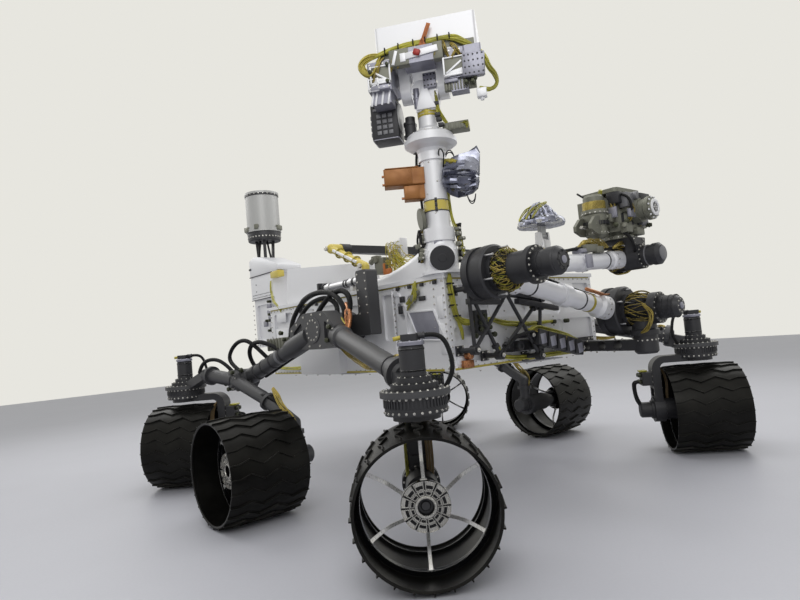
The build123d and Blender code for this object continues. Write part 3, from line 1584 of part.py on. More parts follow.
# Conduit loops over the rocker pivots, held by the chassis wall at one end and the casting at the other
for name, side in (("right", -1), ("left", 1)):
    wall_y = side * (chassis_half_width + seat_gap)
    casting_y = side * (rocker_y - casting_thick / 2 - seat_gap)
    loop_y = side * (chassis_half_width + conduit_offset)
    near_y, rise_y, turn_y, last_y = (
        side * (chassis_half_width + share * conduit_offset) for share in (0.23, 0.52, 0.78, 0.95)
    )
    with BuildPart() as loops:
        conduit(
            f"conduit_{name}",
            [
                at(pivot_x - 435, wall_y, pivot_z + 85),
                at(pivot_x - 435, near_y, pivot_z + 85),
                at(pivot_x - 422, rise_y, pivot_z + 100),
                at(pivot_x - 385, turn_y, pivot_z + 135),
                at(pivot_x - 310, last_y, pivot_z + 175),
                at(pivot_x - 210, loop_y, pivot_z + 200),
                at(pivot_x - 100, loop_y, pivot_z + 208),
                at(pivot_x, loop_y, pivot_z + 195),
                at(pivot_x + 75, loop_y, pivot_z + 155),
                at(pivot_x + 118, loop_y, pivot_z + 105),
                at(pivot_x + 128, loop_y, pivot_z + 45),
            ],
            conduit_radius,
        )
        block(at(pivot_x + 106, loop_y - side * 18, pivot_z), at(pivot_x + 150, casting_y, pivot_z + 45))
    keep(loops, f"conduit_{name}")
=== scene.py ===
"""Six-wheel rocker-bogie rover, dressed on its CAD frame: finishes, wheels, harness and fittings."""
from __future__ import annotations

import logging
import math
import random
from dataclasses import dataclass, field
from enum import Enum

import bmesh
import bpy
from mathutils import Matrix, Vector

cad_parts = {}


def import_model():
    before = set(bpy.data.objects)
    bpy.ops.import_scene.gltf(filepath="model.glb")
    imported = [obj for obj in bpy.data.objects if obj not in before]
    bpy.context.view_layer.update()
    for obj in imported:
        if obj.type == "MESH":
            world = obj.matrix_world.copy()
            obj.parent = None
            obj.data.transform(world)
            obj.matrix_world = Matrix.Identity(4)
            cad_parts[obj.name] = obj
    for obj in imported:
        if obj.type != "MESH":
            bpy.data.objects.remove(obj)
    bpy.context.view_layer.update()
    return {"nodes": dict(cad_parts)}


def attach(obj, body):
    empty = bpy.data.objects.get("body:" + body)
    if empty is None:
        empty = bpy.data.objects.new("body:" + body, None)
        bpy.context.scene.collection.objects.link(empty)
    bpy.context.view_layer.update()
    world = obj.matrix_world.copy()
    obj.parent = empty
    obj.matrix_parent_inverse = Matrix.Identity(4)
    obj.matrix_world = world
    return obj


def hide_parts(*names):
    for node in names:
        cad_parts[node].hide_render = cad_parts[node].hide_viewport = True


log = logging.getLogger("rover")

MID_AXLE_X = 0.0471
MM = 0.001
UP = Vector((0.0, 0.0, 1.0))
AHEAD = Vector((1.0, 0.0, 0.0))
PORT = Vector((0.0, 1.0, 0.0))
HULL = "rover_body"
# half the width and the height of each bolt head, in metres
BOLT = (0.003, 0.004)
SCREW = (0.003, 0.003)
SLIM_BOLT = (0.0028, 0.004)
WALL_BOLT = (0.0034, 0.004)
DECK_BOLT = (0.0036, 0.004)
# how far the ridges of a corrugated sleeve stand out, as a share of its radius, and their spacing
RIDGES = {"ridge": 0.10, "pitch": 0.006}
FINE_RIDGES = {"ridge": 0.10, "pitch": 0.005}
LOOP_RIDGES = {"ridge": 0.16, "pitch": 0.007}
AXLE_HEIGHT = 257.5
# name, x and y of each steering axis, and how far the wheel is turned in degrees
CORNERS = (
    ("front_right", 1180.0, -1120.0, 51.0), ("front_left", 1180.0, 1120.0, 51.0),
    ("rear_right", -1080.0, -1120.0, -44.0), ("rear_left", -1080.0, 1120.0, -44.0)
)


def at(x: float, y: float, z: float) -> Vector:
    """Return a point of the rover in metres, given in millimetres with x from the middle axle.

    Args:
        x: forward of the middle axle.
        y: to port.
        z: above the floor.

    Returns:
        The point in the frame, in metres.
    """
    return Vector((MID_AXLE_X + x * MM, y * MM, z * MM))


def row(start: tuple[float, float], end: tuple[float, float], count: int) -> list[tuple[float, float]]:
    """Return evenly spaced pairs from one pair to another.

    Args:
        start: the first pair.
        end: the last pair.
        count: how many pairs, both ends included.

    Returns:
        The pairs.
    """
    (a0, b0), (a1, b1) = start, end
    return [(a0 + (a1 - a0) * n / (count - 1), b0 + (b1 - b0) * n / (count - 1)) for n in range(count)]


def shader_node(nodes: bpy.types.Nodes, kind: str, **values: float | tuple[float, ...]) -> bpy.types.Node:
    """Add a shader node and set its inputs.

    Args:
        nodes: the material's nodes.
        kind: the node's type, without its prefix.
        values: what each input is set to; an underscore in its name stands for a space.

    Returns:
        The node.
    """
    made = nodes.new(f"ShaderNode{kind}")
    for name, value in values.items():
        made.inputs[name.replace("_", " ")].default_value = value
    return made


class Texture(Enum):
    """Which small-scale surface a finish has."""

    PAINT = "paint"
    ANODISED = "anodised"
    MACHINED = "machined"
    TAPE = "tape"
    FOIL = "foil"
    BRAID = "braid"


@dataclass(frozen=True)
class Finish:
    """One surface finish, built as a node material on Object coordinates."""

    name: str
    colour: tuple[float, float, float]
    second: tuple[float, float, float]
    roughness: float
    metallic: float = 0.0
    texture: Texture = Texture.PAINT
    patch: float = 9.0
    grain: float = 420.0
    bump: float = 0.08
    # edge and its colour lighten rounded edges: partly wear, partly a painted highlight
    edge: float = 0.0
    wear_and_highlight_colour: tuple[float, float, float] = (0.6, 0.6, 0.6)
    rounding: float = 0.0012
    slot: str = ""
    gloss: float = 0.5

    def material(self) -> bpy.types.Material:
        """Return this finish's material, made once.

        Returns:
            The material.
        """
        made = bpy.data.materials.get(self.name)
        if made is not None:
            return made
        made = bpy.data.materials.new(self.name)
        made.use_nodes = True
        nodes = made.node_tree.nodes
        links = made.node_tree.links
        shader = nodes["Principled BSDF"]
        shader.inputs["Metallic"].default_value = self.metallic
        shader.inputs["Specular IOR Level"].default_value = self.gloss
        place = nodes.new("ShaderNodeTexCoord")
        large = shader_node(nodes, "TexNoise", Scale=self.patch, Detail=5.0, Roughness=0.6)
        links.new(place.outputs["Object"], large.inputs["Vector"])
        tint = nodes.new("ShaderNodeMix")
        tint.data_type = "RGBA"
        tint.inputs["A"].default_value = (*self.colour, 1.0)
        tint.inputs["B"].default_value = (*self.second, 1.0)
        spread = shader_node(nodes, "MapRange", From_Min=0.35, From_Max=0.68)
        links.new(large.outputs["Fac"], spread.inputs["Value"])
        links.new(spread.outputs["Result"], tint.inputs["Factor"])
        fine = self._fine(nodes, links, place)
        low, high = max(0.02, self.roughness - 0.09), min(1.0, self.roughness + 0.11)
        rough = shader_node(nodes, "MapRange", From_Min=0.25, From_Max=0.75, To_Min=low, To_Max=high)
        links.new(fine, rough.inputs["Value"])
        links.new(rough.outputs["Result"], shader.inputs["Roughness"])
        colour = tint.outputs["Result"]
        soft = shader_node(nodes, "Bevel", Radius=self.rounding)
        soft.samples = 4
        # lighten the rounded edges: partly wear, partly a painted highlight
        if self.edge > 0.0:
            colour = self._worn_and_lit_edges(nodes, links, soft, colour, large)
        links.new(colour, shader.inputs["Base Color"])
        relief = shader_node(nodes, "Bump", Strength=self.bump, Distance=0.001)
        links.new(fine, relief.inputs["Height"])
        links.new(soft.outputs["Normal"], relief.inputs["Normal"])
        links.new(relief.outputs["Normal"], shader.inputs["Normal"])
        return made

    def _fine(
        self, nodes: bpy.types.Nodes, links: bpy.types.NodeLinks, place: bpy.types.Node
    ) -> bpy.types.NodeSocket:
        """Return the small-scale pattern of this finish.

        Args:
            nodes: the material's nodes.
            links: the material's links.
            place: the texture coordinate node.

        Returns:
            A value socket from 0 to 1.
        """
        if self.texture is Texture.FOIL:
            crease = shader_node(nodes, "TexVoronoi", Scale=self.grain, Randomness=1.0)
            links.new(place.outputs["Object"], crease.inputs["Vector"])
            return crease.outputs["Distance"]
        if self.texture is Texture.BRAID:
            strands = shader_node(nodes, "TexWave", Scale=self.grain, Distortion=1.5)
            strands.bands_direction = "DIAGONAL"
            links.new(place.outputs["Object"], strands.inputs["Vector"])
            return strands.outputs["Fac"]
        grain = shader_node(nodes, "TexNoise", Scale=self.grain, Detail=3.0)
        if self.texture is Texture.MACHINED:
            stretch = shader_node(nodes, "Mapping", Scale=(1.0, 1.0, 0.12))
            links.new(place.outputs["Object"], stretch.inputs["Vector"])
            links.new(stretch.outputs["Vector"], grain.inputs["Vector"])
        else:
            links.new(place.outputs["Object"], grain.inputs["Vector"])
        return grain.outputs["Fac"]

    def _worn_and_lit_edges(
        self, nodes: bpy.types.Nodes, links: bpy.types.NodeLinks, soft: bpy.types.Node,
        colour: bpy.types.NodeSocket, large: bpy.types.Node
    ) -> bpy.types.NodeSocket:
        """Return the colour with its edges lightened towards the edge colour: partly wear, partly a painted
        highlight.

        Args:
            nodes: the material's nodes.
            links: the material's links.
            soft: the rounded normal.
            colour: the colour before the worn and highlighted edges.
            large: the large noise, which breaks the wear and the painted highlight up.

        Returns:
            The colour with worn edges and painted highlights.
        """
        flat = nodes.new("ShaderNodeNewGeometry")
        turn = nodes.new("ShaderNodeVectorMath")
        turn.operation = "DOT_PRODUCT"
        links.new(soft.outputs["Normal"], turn.inputs[0])
        links.new(flat.outputs["Normal"], turn.inputs[1])
        # mask of the rounded edges, where the wear and the painted highlight go
        sharp = shader_node(nodes, "MapRange", From_Min=0.995, From_Max=0.86, To_Max=self.edge)
        links.new(turn.outputs["Value"], sharp.inputs["Value"])
        broken = nodes.new("ShaderNodeMath")
        broken.operation = "MULTIPLY"
        links.new(sharp.outputs["Result"], broken.inputs[0])
        links.new(large.outputs["Fac"], broken.inputs[1])
        rubbed_and_lit = nodes.new("ShaderNodeMix")
        rubbed_and_lit.data_type = "RGBA"
        rubbed_and_lit.inputs["B"].default_value = (*self.wear_and_highlight_colour, 1.0)
        links.new(broken.outputs["Value"], rubbed_and_lit.inputs["Factor"])
        links.new(colour, rubbed_and_lit.inputs["A"])
        return rubbed_and_lit.outputs["Result"]


WHITE_PAINT = Finish(
    "white_paint", (0.74, 0.74, 0.74), (0.67, 0.675, 0.69), 0.40, edge=0.25, wear_and_highlight_colour=(0.85, 0.85, 0.85),
    gloss=0.35
)
MACHINED_GREY = Finish(
    "machined_grey", (0.34, 0.34, 0.40), (0.26, 0.26, 0.31), 0.34, 0.45, Texture.MACHINED, edge=0.5,
    wear_and_highlight_colour=(0.8, 0.8, 0.84), slot="bare_aluminium"
)
BLACK_ANODISED = Finish(
    "black_anodised", (0.0065, 0.0065, 0.0070), (0.013, 0.013, 0.014), 0.46, 0.25, Texture.ANODISED, edge=0.5,
    wear_and_highlight_colour=(0.20, 0.20, 0.20), gloss=0.2
)
TREAD_BLACK = Finish(
    "tread_black", (0.0065, 0.0062, 0.0056), (0.014, 0.0135, 0.0118), 0.36, 0.45, Texture.ANODISED, edge=0.5,
    wear_and_highlight_colour=(0.12, 0.12, 0.11), slot="wheel_metal", gloss=0.22
)
RING_BLACK = Finish(
    "ring_black", (0.007, 0.007, 0.008), (0.015, 0.015, 0.017), 0.20, 0.6, Texture.ANODISED, edge=1.0,
    wear_and_highlight_colour=(0.75, 0.75, 0.75), rounding=0.0016, slot="wheel_metal", gloss=0.4
)
SPOKE_METAL = Finish(
    "spoke_titanium", (0.80, 0.79, 0.77), (0.60, 0.59, 0.57), 0.30, 0.55, Texture.MACHINED, edge=0.4,
    wear_and_highlight_colour=(0.9, 0.9, 0.9), slot="wheel_metal"
)
HUB_METAL = Finish(
    "hub_metal", (0.46, 0.45, 0.42), (0.32, 0.31, 0.29), 0.26, 0.85, Texture.MACHINED, edge=0.8,
    wear_and_highlight_colour=(0.95, 0.95, 0.92), rounding=0.0008, slot="wheel_metal"
)
TITANIUM_TUBE = Finish(
    "dark_titanium", (0.022, 0.021, 0.017), (0.046, 0.044, 0.036), 0.40, 0.45, Texture.MACHINED, edge=0.5,
    wear_and_highlight_colour=(0.25, 0.25, 0.23), gloss=0.3
)
BARE_ALUMINIUM = Finish(
    "bare_aluminium", (0.55, 0.55, 0.54), (0.42, 0.42, 0.42), 0.28, 0.9, Texture.MACHINED, edge=0.3
)
BRIGHT_STEEL = Finish(
    "bright_steel", (0.62, 0.61, 0.58), (0.48, 0.47, 0.45), 0.24, 0.9, Texture.MACHINED, slot="bare_aluminium"
)
SILVER_PAINT = Finish("silver_paint", (0.42, 0.42, 0.39), (0.36, 0.36, 0.33), 0.46, 0.5, Texture.PAINT)
GRAPHITE_PAINT = Finish(
    "graphite_paint", (0.055, 0.055, 0.052), (0.085, 0.085, 0.080), 0.50, 0.15, Texture.PAINT, edge=0.5,
    wear_and_highlight_colour=(0.3, 0.3, 0.3), gloss=0.3
)
OLIVE_METAL = Finish(
    "olive_metal", (0.040, 0.038, 0.026), (0.018, 0.018, 0.014), 0.40, 0.45, Texture.MACHINED, edge=0.7,
    wear_and_highlight_colour=(0.32, 0.31, 0.27), gloss=0.3
)
AMBER_FILM = Finish(
    "amber_film", (0.52, 0.30, 0.04), (0.34, 0.18, 0.03), 0.24, 0.5, Texture.FOIL, grain=60.0, bump=0.5
)
ORANGE_COVER = Finish(
    "orange_cover", (0.36, 0.15, 0.035), (0.27, 0.10, 0.022), 0.36, 0.25, Texture.FOIL, grain=24.0, bump=0.5,
    slot="amber_film"
)
SILVER_FOIL = Finish(
    "silver_foil", (0.33, 0.34, 0.41), (0.07, 0.075, 0.11), 0.20, 1.0, Texture.FOIL, grain=38.0, bump=0.6,
    slot="silver_paint"
)
YELLOW_TAPE = Finish(
    "yellow_tape", (0.56, 0.46, 0.06), (0.36, 0.30, 0.04), 0.32, 0.15, Texture.TAPE, grain=180.0, bump=0.3,
    slot="amber_film"
)
LIME_WRAP = Finish(
    "lime_wrap", (0.62, 0.58, 0.07), (0.22, 0.21, 0.03), 0.34, 0.1, Texture.BRAID, grain=260.0, bump=0.5,
    slot="amber_film"
)
GOLD_WIRE = Finish(
    "gold_wire", (0.60, 0.46, 0.10), (0.13, 0.10, 0.03), 0.28, 0.45, Texture.BRAID, grain=380.0, bump=0.4,
    slot="amber_film"
)
COPPER_TAPE = Finish(
    "copper_tape", (0.46, 0.20, 0.09), (0.30, 0.12, 0.05), 0.30, 0.7, Texture.FOIL, grain=80.0, bump=0.4,
    slot="amber_film"
)
BLACK_SLEEVE = Finish(
    "black_sleeve", (0.0075, 0.0075, 0.0085), (0.017, 0.017, 0.018), 0.48, 0.05, Texture.BRAID, grain=420.0,
    bump=0.5, slot="black_anodised", gloss=0.25
)
GREEN_CONNECTOR = Finish(
    "green_connector", (0.050, 0.056, 0.030), (0.030, 0.033, 0.018), 0.34, 0.5, Texture.ANODISED, edge=0.8,
    wear_and_highlight_colour=(0.5, 0.5, 0.4), slot="olive_metal"
)
ORANGE_STRAP = Finish(
    "orange_strap", (0.52, 0.16, 0.03), (0.40, 0.11, 0.02), 0.5, 0.0, Texture.BRAID, grain=300.0,
    slot="amber_film"
)
RED_KNOB = Finish(
    "red_knob", (0.42, 0.03, 0.02), (0.30, 0.02, 0.02), 0.35, 0.1, Texture.PAINT, slot="amber_film"
)
DARK_GLASS = Finish(
    "dark_glass", (0.006, 0.006, 0.009), (0.009, 0.009, 0.013), 0.10, 0.1, Texture.PAINT, bump=0.0,
    slot="black_anodised"
)
TAN_SLEEVE = Finish(
    "tan_sleeve", (0.36, 0.25, 0.12), (0.20, 0.13, 0.06), 0.42, 0.1, Texture.BRAID, grain=330.0, bump=0.5,
    slot="amber_film"
)

NODE_FINISH: dict[str, Finish] = {
    "chassis_body": WHITE_PAINT, "top_deck": WHITE_PAINT, "deck_case": WHITE_PAINT,
    "heat_exchangers": WHITE_PAINT, "mast_base": WHITE_PAINT, "mast_tube": WHITE_PAINT, "pan_yoke": WHITE_PAINT,
    "camera_head": WHITE_PAINT, "head_instruments": MACHINED_GREY, "relay_antenna_stand": WHITE_PAINT,
    "low_gain_antenna": WHITE_PAINT, "upper_arm": WHITE_PAINT, "forearm": WHITE_PAINT,
    "rocker_left": TITANIUM_TUBE, "rocker_right": TITANIUM_TUBE, "bogie_left": TITANIUM_TUBE,
    "bogie_right": TITANIUM_TUBE, "deck_rail": BARE_ALUMINIUM, "sample_inlets": BARE_ALUMINIUM,
    "dish_base": BARE_ALUMINIUM, "dish_gimbal": BARE_ALUMINIUM, "relay_antenna": SILVER_PAINT,
    "dish_panel": SILVER_PAINT, "sensor_boom_front": SILVER_FOIL, "sensor_boom_rear": ORANGE_COVER,
    "conduit_left": BLACK_SLEEVE, "conduit_right": BLACK_SLEEVE, "power_unit": GRAPHITE_PAINT,
    "turret": OLIVE_METAL, "differential_links": AMBER_FILM
}


class Form:
    """A mesh being shaped with bmesh operators, then kept as one piece at the origin."""

    def __init__(self) -> None:
        """Start an empty mesh."""
        self.mesh = bmesh.new()

    def bar(
        self, start: Vector, end: Vector, radius: float, tip: float | None = None, sides: int = 24,
        bevel: float = 0.0
    ) -> None:
        """Add a round bar or cone, its end edges bevelled.

        Args:
            start: one end.
            end: the other end.
            radius: radius at the start.
            tip: radius at the end, or None for the same.
            sides: facets round the bar.
            bevel: width of the bevel on the end edges.
        """
        along = end - start
        turn = along.to_track_quat("Z", "Y").to_matrix().to_4x4()
        made = bmesh.ops.create_cone(
            self.mesh, cap_ends=True, segments=sides, radius1=radius, radius2=radius if tip is None else tip,
            depth=along.length, matrix=Matrix.Translation((start + end) / 2) @ turn
        )
        if bevel > 0.0:
            rims = {
                e for v in made["verts"] for e in v.link_edges if any(len(f.verts) > 4 for f in e.link_faces)
            }
            self.bevel(rims, bevel)

    def bevel(self, edges: set[bmesh.types.BMEdge], width: float, segments: int = 2) -> None:
        """Bevel some edges.

        Args:
            edges: the edges.
            width: how far the bevel reaches.
            segments: facets across it.
        """
        bmesh.ops.bevel(
            self.mesh, geom=list(edges), offset=width, offset_type="OFFSET", affect="EDGES", segments=segments,
            profile=0.5, material=-1, clamp_overlap=True
        )

    def box(
        self, centre: Vector, size: tuple[float, float, float], turn: Matrix | None = None, bevel: float = 0.002
    ) -> None:
        """Add a box with bevelled edges.

        Args:
            centre: its middle.
            size: its sides along its own axes.
            turn: how its axes lie, or None for level.
            bevel: width of the bevel.
        """
        place = Matrix.Translation(centre)
        if turn is not None:
            place = place @ turn.to_4x4()
        made = bmesh.ops.create_cube(self.mesh, size=1.0, matrix=place @ Matrix.Diagonal((*size, 1.0)))
        if bevel > 0.0:
            self.bevel({e for v in made["verts"] for e in v.link_edges}, bevel)

    def turned(
        self, start: Vector, direction: Vector, outline: list[tuple[float, float]], steps: int = 48
    ) -> set[bmesh.types.BMFace]:
        """Spin an outline about an axis.

        Args:
            start: where the axis begins.
            direction: where it points.
            outline: distance along the axis and radius of each point.
            steps: facets round the axis.

        Returns:
            The new faces.
        """
        before = set(self.mesh.faces)
        along = direction.normalized()
        out = along.orthogonal().normalized()
        spine = [self.mesh.verts.new(start + along * d + out * r) for d, r in outline]
        edges = [self.mesh.edges.new(pair) for pair in zip(spine, spine[1:])]
        bmesh.ops.spin(
            self.mesh, geom=spine + edges, cent=start, axis=along, dvec=(0.0, 0.0, 0.0), angle=2 * math.pi,
            steps=steps, use_merge=True, use_duplicate=False
        )
        return set(self.mesh.faces) - before

    def band(
        self, start: Vector, direction: Vector, inner: float, outer: float, width: float, steps: int = 48,
        lip: float = 0.001
    ) -> None:
        """Wrap a band with sloping lips round an axis.

        Args:
            start: where it begins on the axis.
            direction: the axis.
            inner: radius at which its lips end.
            outer: its own radius.
            width: its width.
            steps: facets round it.
            lip: a lip's width.
        """
        self.turned(start, direction, [(0.0, inner), (lip, outer), (width - lip, outer), (width, inner)], steps)

    def plug(
        self, foot: Vector, aim: Vector, reach: tuple[float, float], nut: tuple[float, float], radius: float,
        tip: float, nut_radius: float, sides: int = 18
    ) -> None:
        """Add a connector: a round body with an eight-sided nut round it.

        Args:
            foot: the point it is counted from.
            aim: the way it points.
            reach: where its body starts and ends along the way.
            nut: where its nut starts and ends.
            radius: the body's radius at its start.
            tip: the body's radius at its end.
            nut_radius: half the nut's width.
            sides: facets round the body.
        """
        self.bar(foot + aim * reach[0], foot + aim * reach[1], radius, tip, sides, 0.001)
        self.bar(foot + aim * nut[0], foot + aim * nut[1], nut_radius, None, 8)

    def plate(self, corners: list[Vector], thick: Vector, bevel: float = 0.0) -> None:
        """Add a flat plate.

        Args:
            corners: its outline in order.
            thick: the way and distance it is thickened.
            bevel: width of the bevel on all its edges.
        """
        face = self.mesh.faces.new([self.mesh.verts.new(c) for c in corners])
        made = bmesh.ops.extrude_face_region(self.mesh, geom=[face], use_keep_orig=True)
        moved = [v for v in made["geom"] if isinstance(v, bmesh.types.BMVert)]
        bmesh.ops.translate(self.mesh, verts=moved, vec=thick)
        if bevel > 0.0:
            self.bevel({e for v in [*moved, *face.verts] for e in v.link_edges}, bevel)

    def bolts(self, places: list[Vector], normal: Vector, radius: float = 0.004, height: float = 0.004) -> None:
        """Add a bolt head with its washer at each place.

        Args:
            places: where each stands.
            normal: the way they point.
            radius: half the head's width.
            height: the head's height.
        """
        up = normal.normalized()
        for spot in places:
            self.bar(spot - up * 0.002, spot + up * height * 0.3, radius * 1.55, sides=10)
            self.bar(spot, spot + up * height, radius, radius * 0.86, sides=6)

    def ring_of_bolts(
        self, centre: Vector, normal: Vector, circle: float, count: int, radius: float = 0.004,
        height: float = 0.004
    ) -> None:
        """Add bolts on a circle, all pointing along its axis.

        Args:
            centre: middle of the circle.
            normal: the circle's axis.
            circle: the circle's radius.
            count: how many.
            radius: half a head's width.
            height: a head's height.
        """
        axis = normal.normalized()
        spoke = axis.orthogonal().normalized() * circle
        turns = [Matrix.Rotation(2 * math.pi * n / count, 3, axis) for n in range(count)]
        self.bolts([centre + turn @ spoke for turn in turns], axis, radius, height)

    def radial_bolts(
        self, centre: Vector, axis: Vector, circle: float, count: int, radius: float = 0.004,
        height: float = 0.004
    ) -> None:
        """Add bolts round a drum, each pointing away from its axis.

        Args:
            centre: a point on the axis.
            axis: the drum's axis.
            circle: the drum's radius.
            count: how many.
            radius: half a head's width.
            height: a head's height.
        """
        line = axis.normalized()
        spoke = line.orthogonal().normalized()
        for number in range(count):
            out = Matrix.Rotation(2 * math.pi * (number + 0.5) / count, 3, line) @ spoke
            self.bolts([centre + out * circle], out, radius, height)

    def fluted(
        self, start: Vector, direction: Vector, radius: float, width: float, count: int, deep: float
    ) -> None:
        """Add a ring of teeth round an axis.

        Args:
            start: where the ring begins.
            direction: its axis.
            radius: radius at the teeth's feet.
            width: its width along the axis.
            count: how many teeth.
            deep: the teeth's height.
        """
        faces = self.turned(
            start, direction, [(0.0, radius * 0.9), (0.0, radius), (width, radius), (width, radius * 0.9)],
            2 * count
        )
        along = direction.normalized()
        sides = [f for f in faces if abs(f.normal.dot(along)) < 0.3]
        sides = [f for f in sides if (f.calc_center_median() - start).cross(along).length > radius * 0.97]
        around = {}
        across = along.orthogonal().normalized()
        other = along.cross(across)
        for face in sides:
            middle = face.calc_center_median() - start
            around[face] = math.atan2(middle.dot(other), middle.dot(across))
        teeth = sorted(sides, key=around.get)[::2]
        grown = bmesh.ops.extrude_discrete_faces(self.mesh, faces=teeth)["faces"]
        for face in grown:
            middle = face.calc_center_median()
            out = (middle - start) - along * (middle - start).dot(along)
            bmesh.ops.translate(self.mesh, verts=list(face.verts), vec=out.normalized() * deep)

    def add(self, other: Form, place: Matrix) -> None:
        """Add a moved copy of another form.

        Args:
            other: the form to copy.
            place: where the copy goes.
        """
        data = bpy.data.meshes.new("copy")
        other.mesh.to_mesh(data)
        data.transform(place)
        self.mesh.from_mesh(data)
        bpy.data.meshes.remove(data)

    def keep(
        self, name: str, finish: Finish, body: str, stands_for: tuple[str, ...] = (), smooth: float = 35.0,
        close: bool = True
    ) -> bpy.types.Object:
        """Close the mesh and keep it as a piece.

        Args:
            name: the piece's name.
            finish: its finish.
            body: the body it rides on.
            stands_for: CAD nodes that it replaces.
            smooth: edges sharper than this many degrees stay sharp.
            close: whether vertices in one place are merged.

        Returns:
            The object.
        """
        if close:
            bmesh.ops.remove_doubles(self.mesh, verts=self.mesh.verts, dist=0.00001)
        bmesh.ops.recalc_face_normals(self.mesh, faces=self.mesh.faces)
        sharp = math.radians(smooth)
        for edge in self.mesh.edges:
            edge.smooth = len(edge.link_faces) == 2 and edge.calc_face_angle(0.0) < sharp
        for face in self.mesh.faces:
            face.smooth = True
        data = bpy.data.meshes.new(name)
        self.mesh.to_mesh(data)
        self.mesh.free()
        piece = bpy.data.objects.new(name, data)
        bpy.context.scene.collection.objects.link(piece)
        data.materials.append(finish.material())
        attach(piece, body)
        if stands_for:
            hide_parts(*stands_for)
        log.info("%s: %d faces", name, len(data.polygons))
        return piece


class Loom:
    """Cables, tubes and sleeves of one finish, each led along its own route."""

    def __init__(self, sides: int = 4) -> None:
        """Start with no cables.

        Args:
            sides: half the facets round a cable, as a curve's bevel counts them.
        """
        self.form = Form()
        self.sides = sides

    def run(self, radius: float, *points: Vector, ridge: float = 0.0, pitch: float = 0.0) -> None:
        """Lead one cable along a route.

        Args:
            radius: its radius.
            points: the route's points.
            ridge: how far a corrugated sleeve's ridges stand out, as a share of the radius.
            pitch: the ridges' spacing.
        """
        curve = bpy.data.curves.new("route", "CURVE")
        curve.dimensions = "3D"
        curve.bevel_depth = radius
        curve.bevel_resolution = self.sides - 2
        curve.use_fill_caps = True
        line = curve.splines.new("NURBS")
        line.points.add(len(points) - 1)
        for place, point in zip(line.points, points):
            place.co = (*point, 1.0)
        line.order_u = 3
        line.use_endpoint_u = True
        length = sum((b - a).length for a, b in zip(points, points[1:]))
        fine = max(3, round(2 * length / pitch / len(points))) if pitch > 0.0 else 6
        line.resolution_u = fine
        curve.resolution_u = fine
        holder = bpy.data.objects.new("route", curve)
        bpy.context.scene.collection.objects.link(holder)
        data = bpy.data.meshes.new_from_object(holder)
        bpy.data.objects.remove(holder)
        bpy.data.curves.remove(curve)
        if ridge > 0.0:
            self._corrugate(data, 2 * self.sides, ridge)
        self.form.mesh.from_mesh(data)
        bpy.data.meshes.remove(data)

    def _corrugate(self, data: bpy.types.Mesh, around: int, ridge: float) -> None:
        """Widen every other ring of a tube.

        Args:
            data: the tube's mesh, its vertices in rings.
            around: vertices in a ring.
            ridge: how far the ridges stand out, as a share of the radius.
        """
        tube = bmesh.new()
        tube.from_mesh(data)
        tube.verts.ensure_lookup_table()
        rings = len(tube.verts) // around
        for number in range(1, rings - 1, 2):
            ring = tube.verts[number * around : (number + 1) * around]
            middle = sum((v.co for v in ring), Vector()) / around
            bmesh.ops.scale(tube, vec=(1.0 + ridge,) * 3, space=Matrix.Translation(-middle), verts=ring)
        tube.to_mesh(data)
        tube.free()

    def bundle(self, radius: float, count: int, spread: float, seed: int, *points: Vector) -> None:
        """Lead several wires side by side along one route.

        Args:
            radius: a wire's radius.
            count: how many wires.
            spread: how far they stray from the route.
            seed: makes the strays the same each time.
            points: the route's points.
        """
        dice = random.Random(seed)
        for wire in range(count):
            turn = 2 * math.pi * wire / count
            moved = []
            for number, point in enumerate(points):
                loose = 0.4 if number in (0, len(points) - 1) else 1.0
                phase = turn + 0.5 * number
                stray = Vector((math.cos(phase), 0.6 * math.sin(phase), math.sin(phase)))
                shake = Vector((dice.uniform(-0.3, 0.3), dice.uniform(-0.3, 0.3), dice.uniform(-0.3, 0.3)))
                moved.append(point + (stray + shake) * spread * loose)
            self.run(radius, *moved)

    def keep(self, name: str, finish: Finish, body: str, stands_for: tuple[str, ...] = ()) -> bpy.types.Object:
        """Keep the cables as one piece.

        Args:
            name: the piece's name.
            finish: its finish.
            body: the body it rides on.
            stands_for: CAD nodes that it replaces.

        Returns:
            The object.
        """
        return self.form.keep(name, finish, body, stands_for, smooth=50.0, close=False)


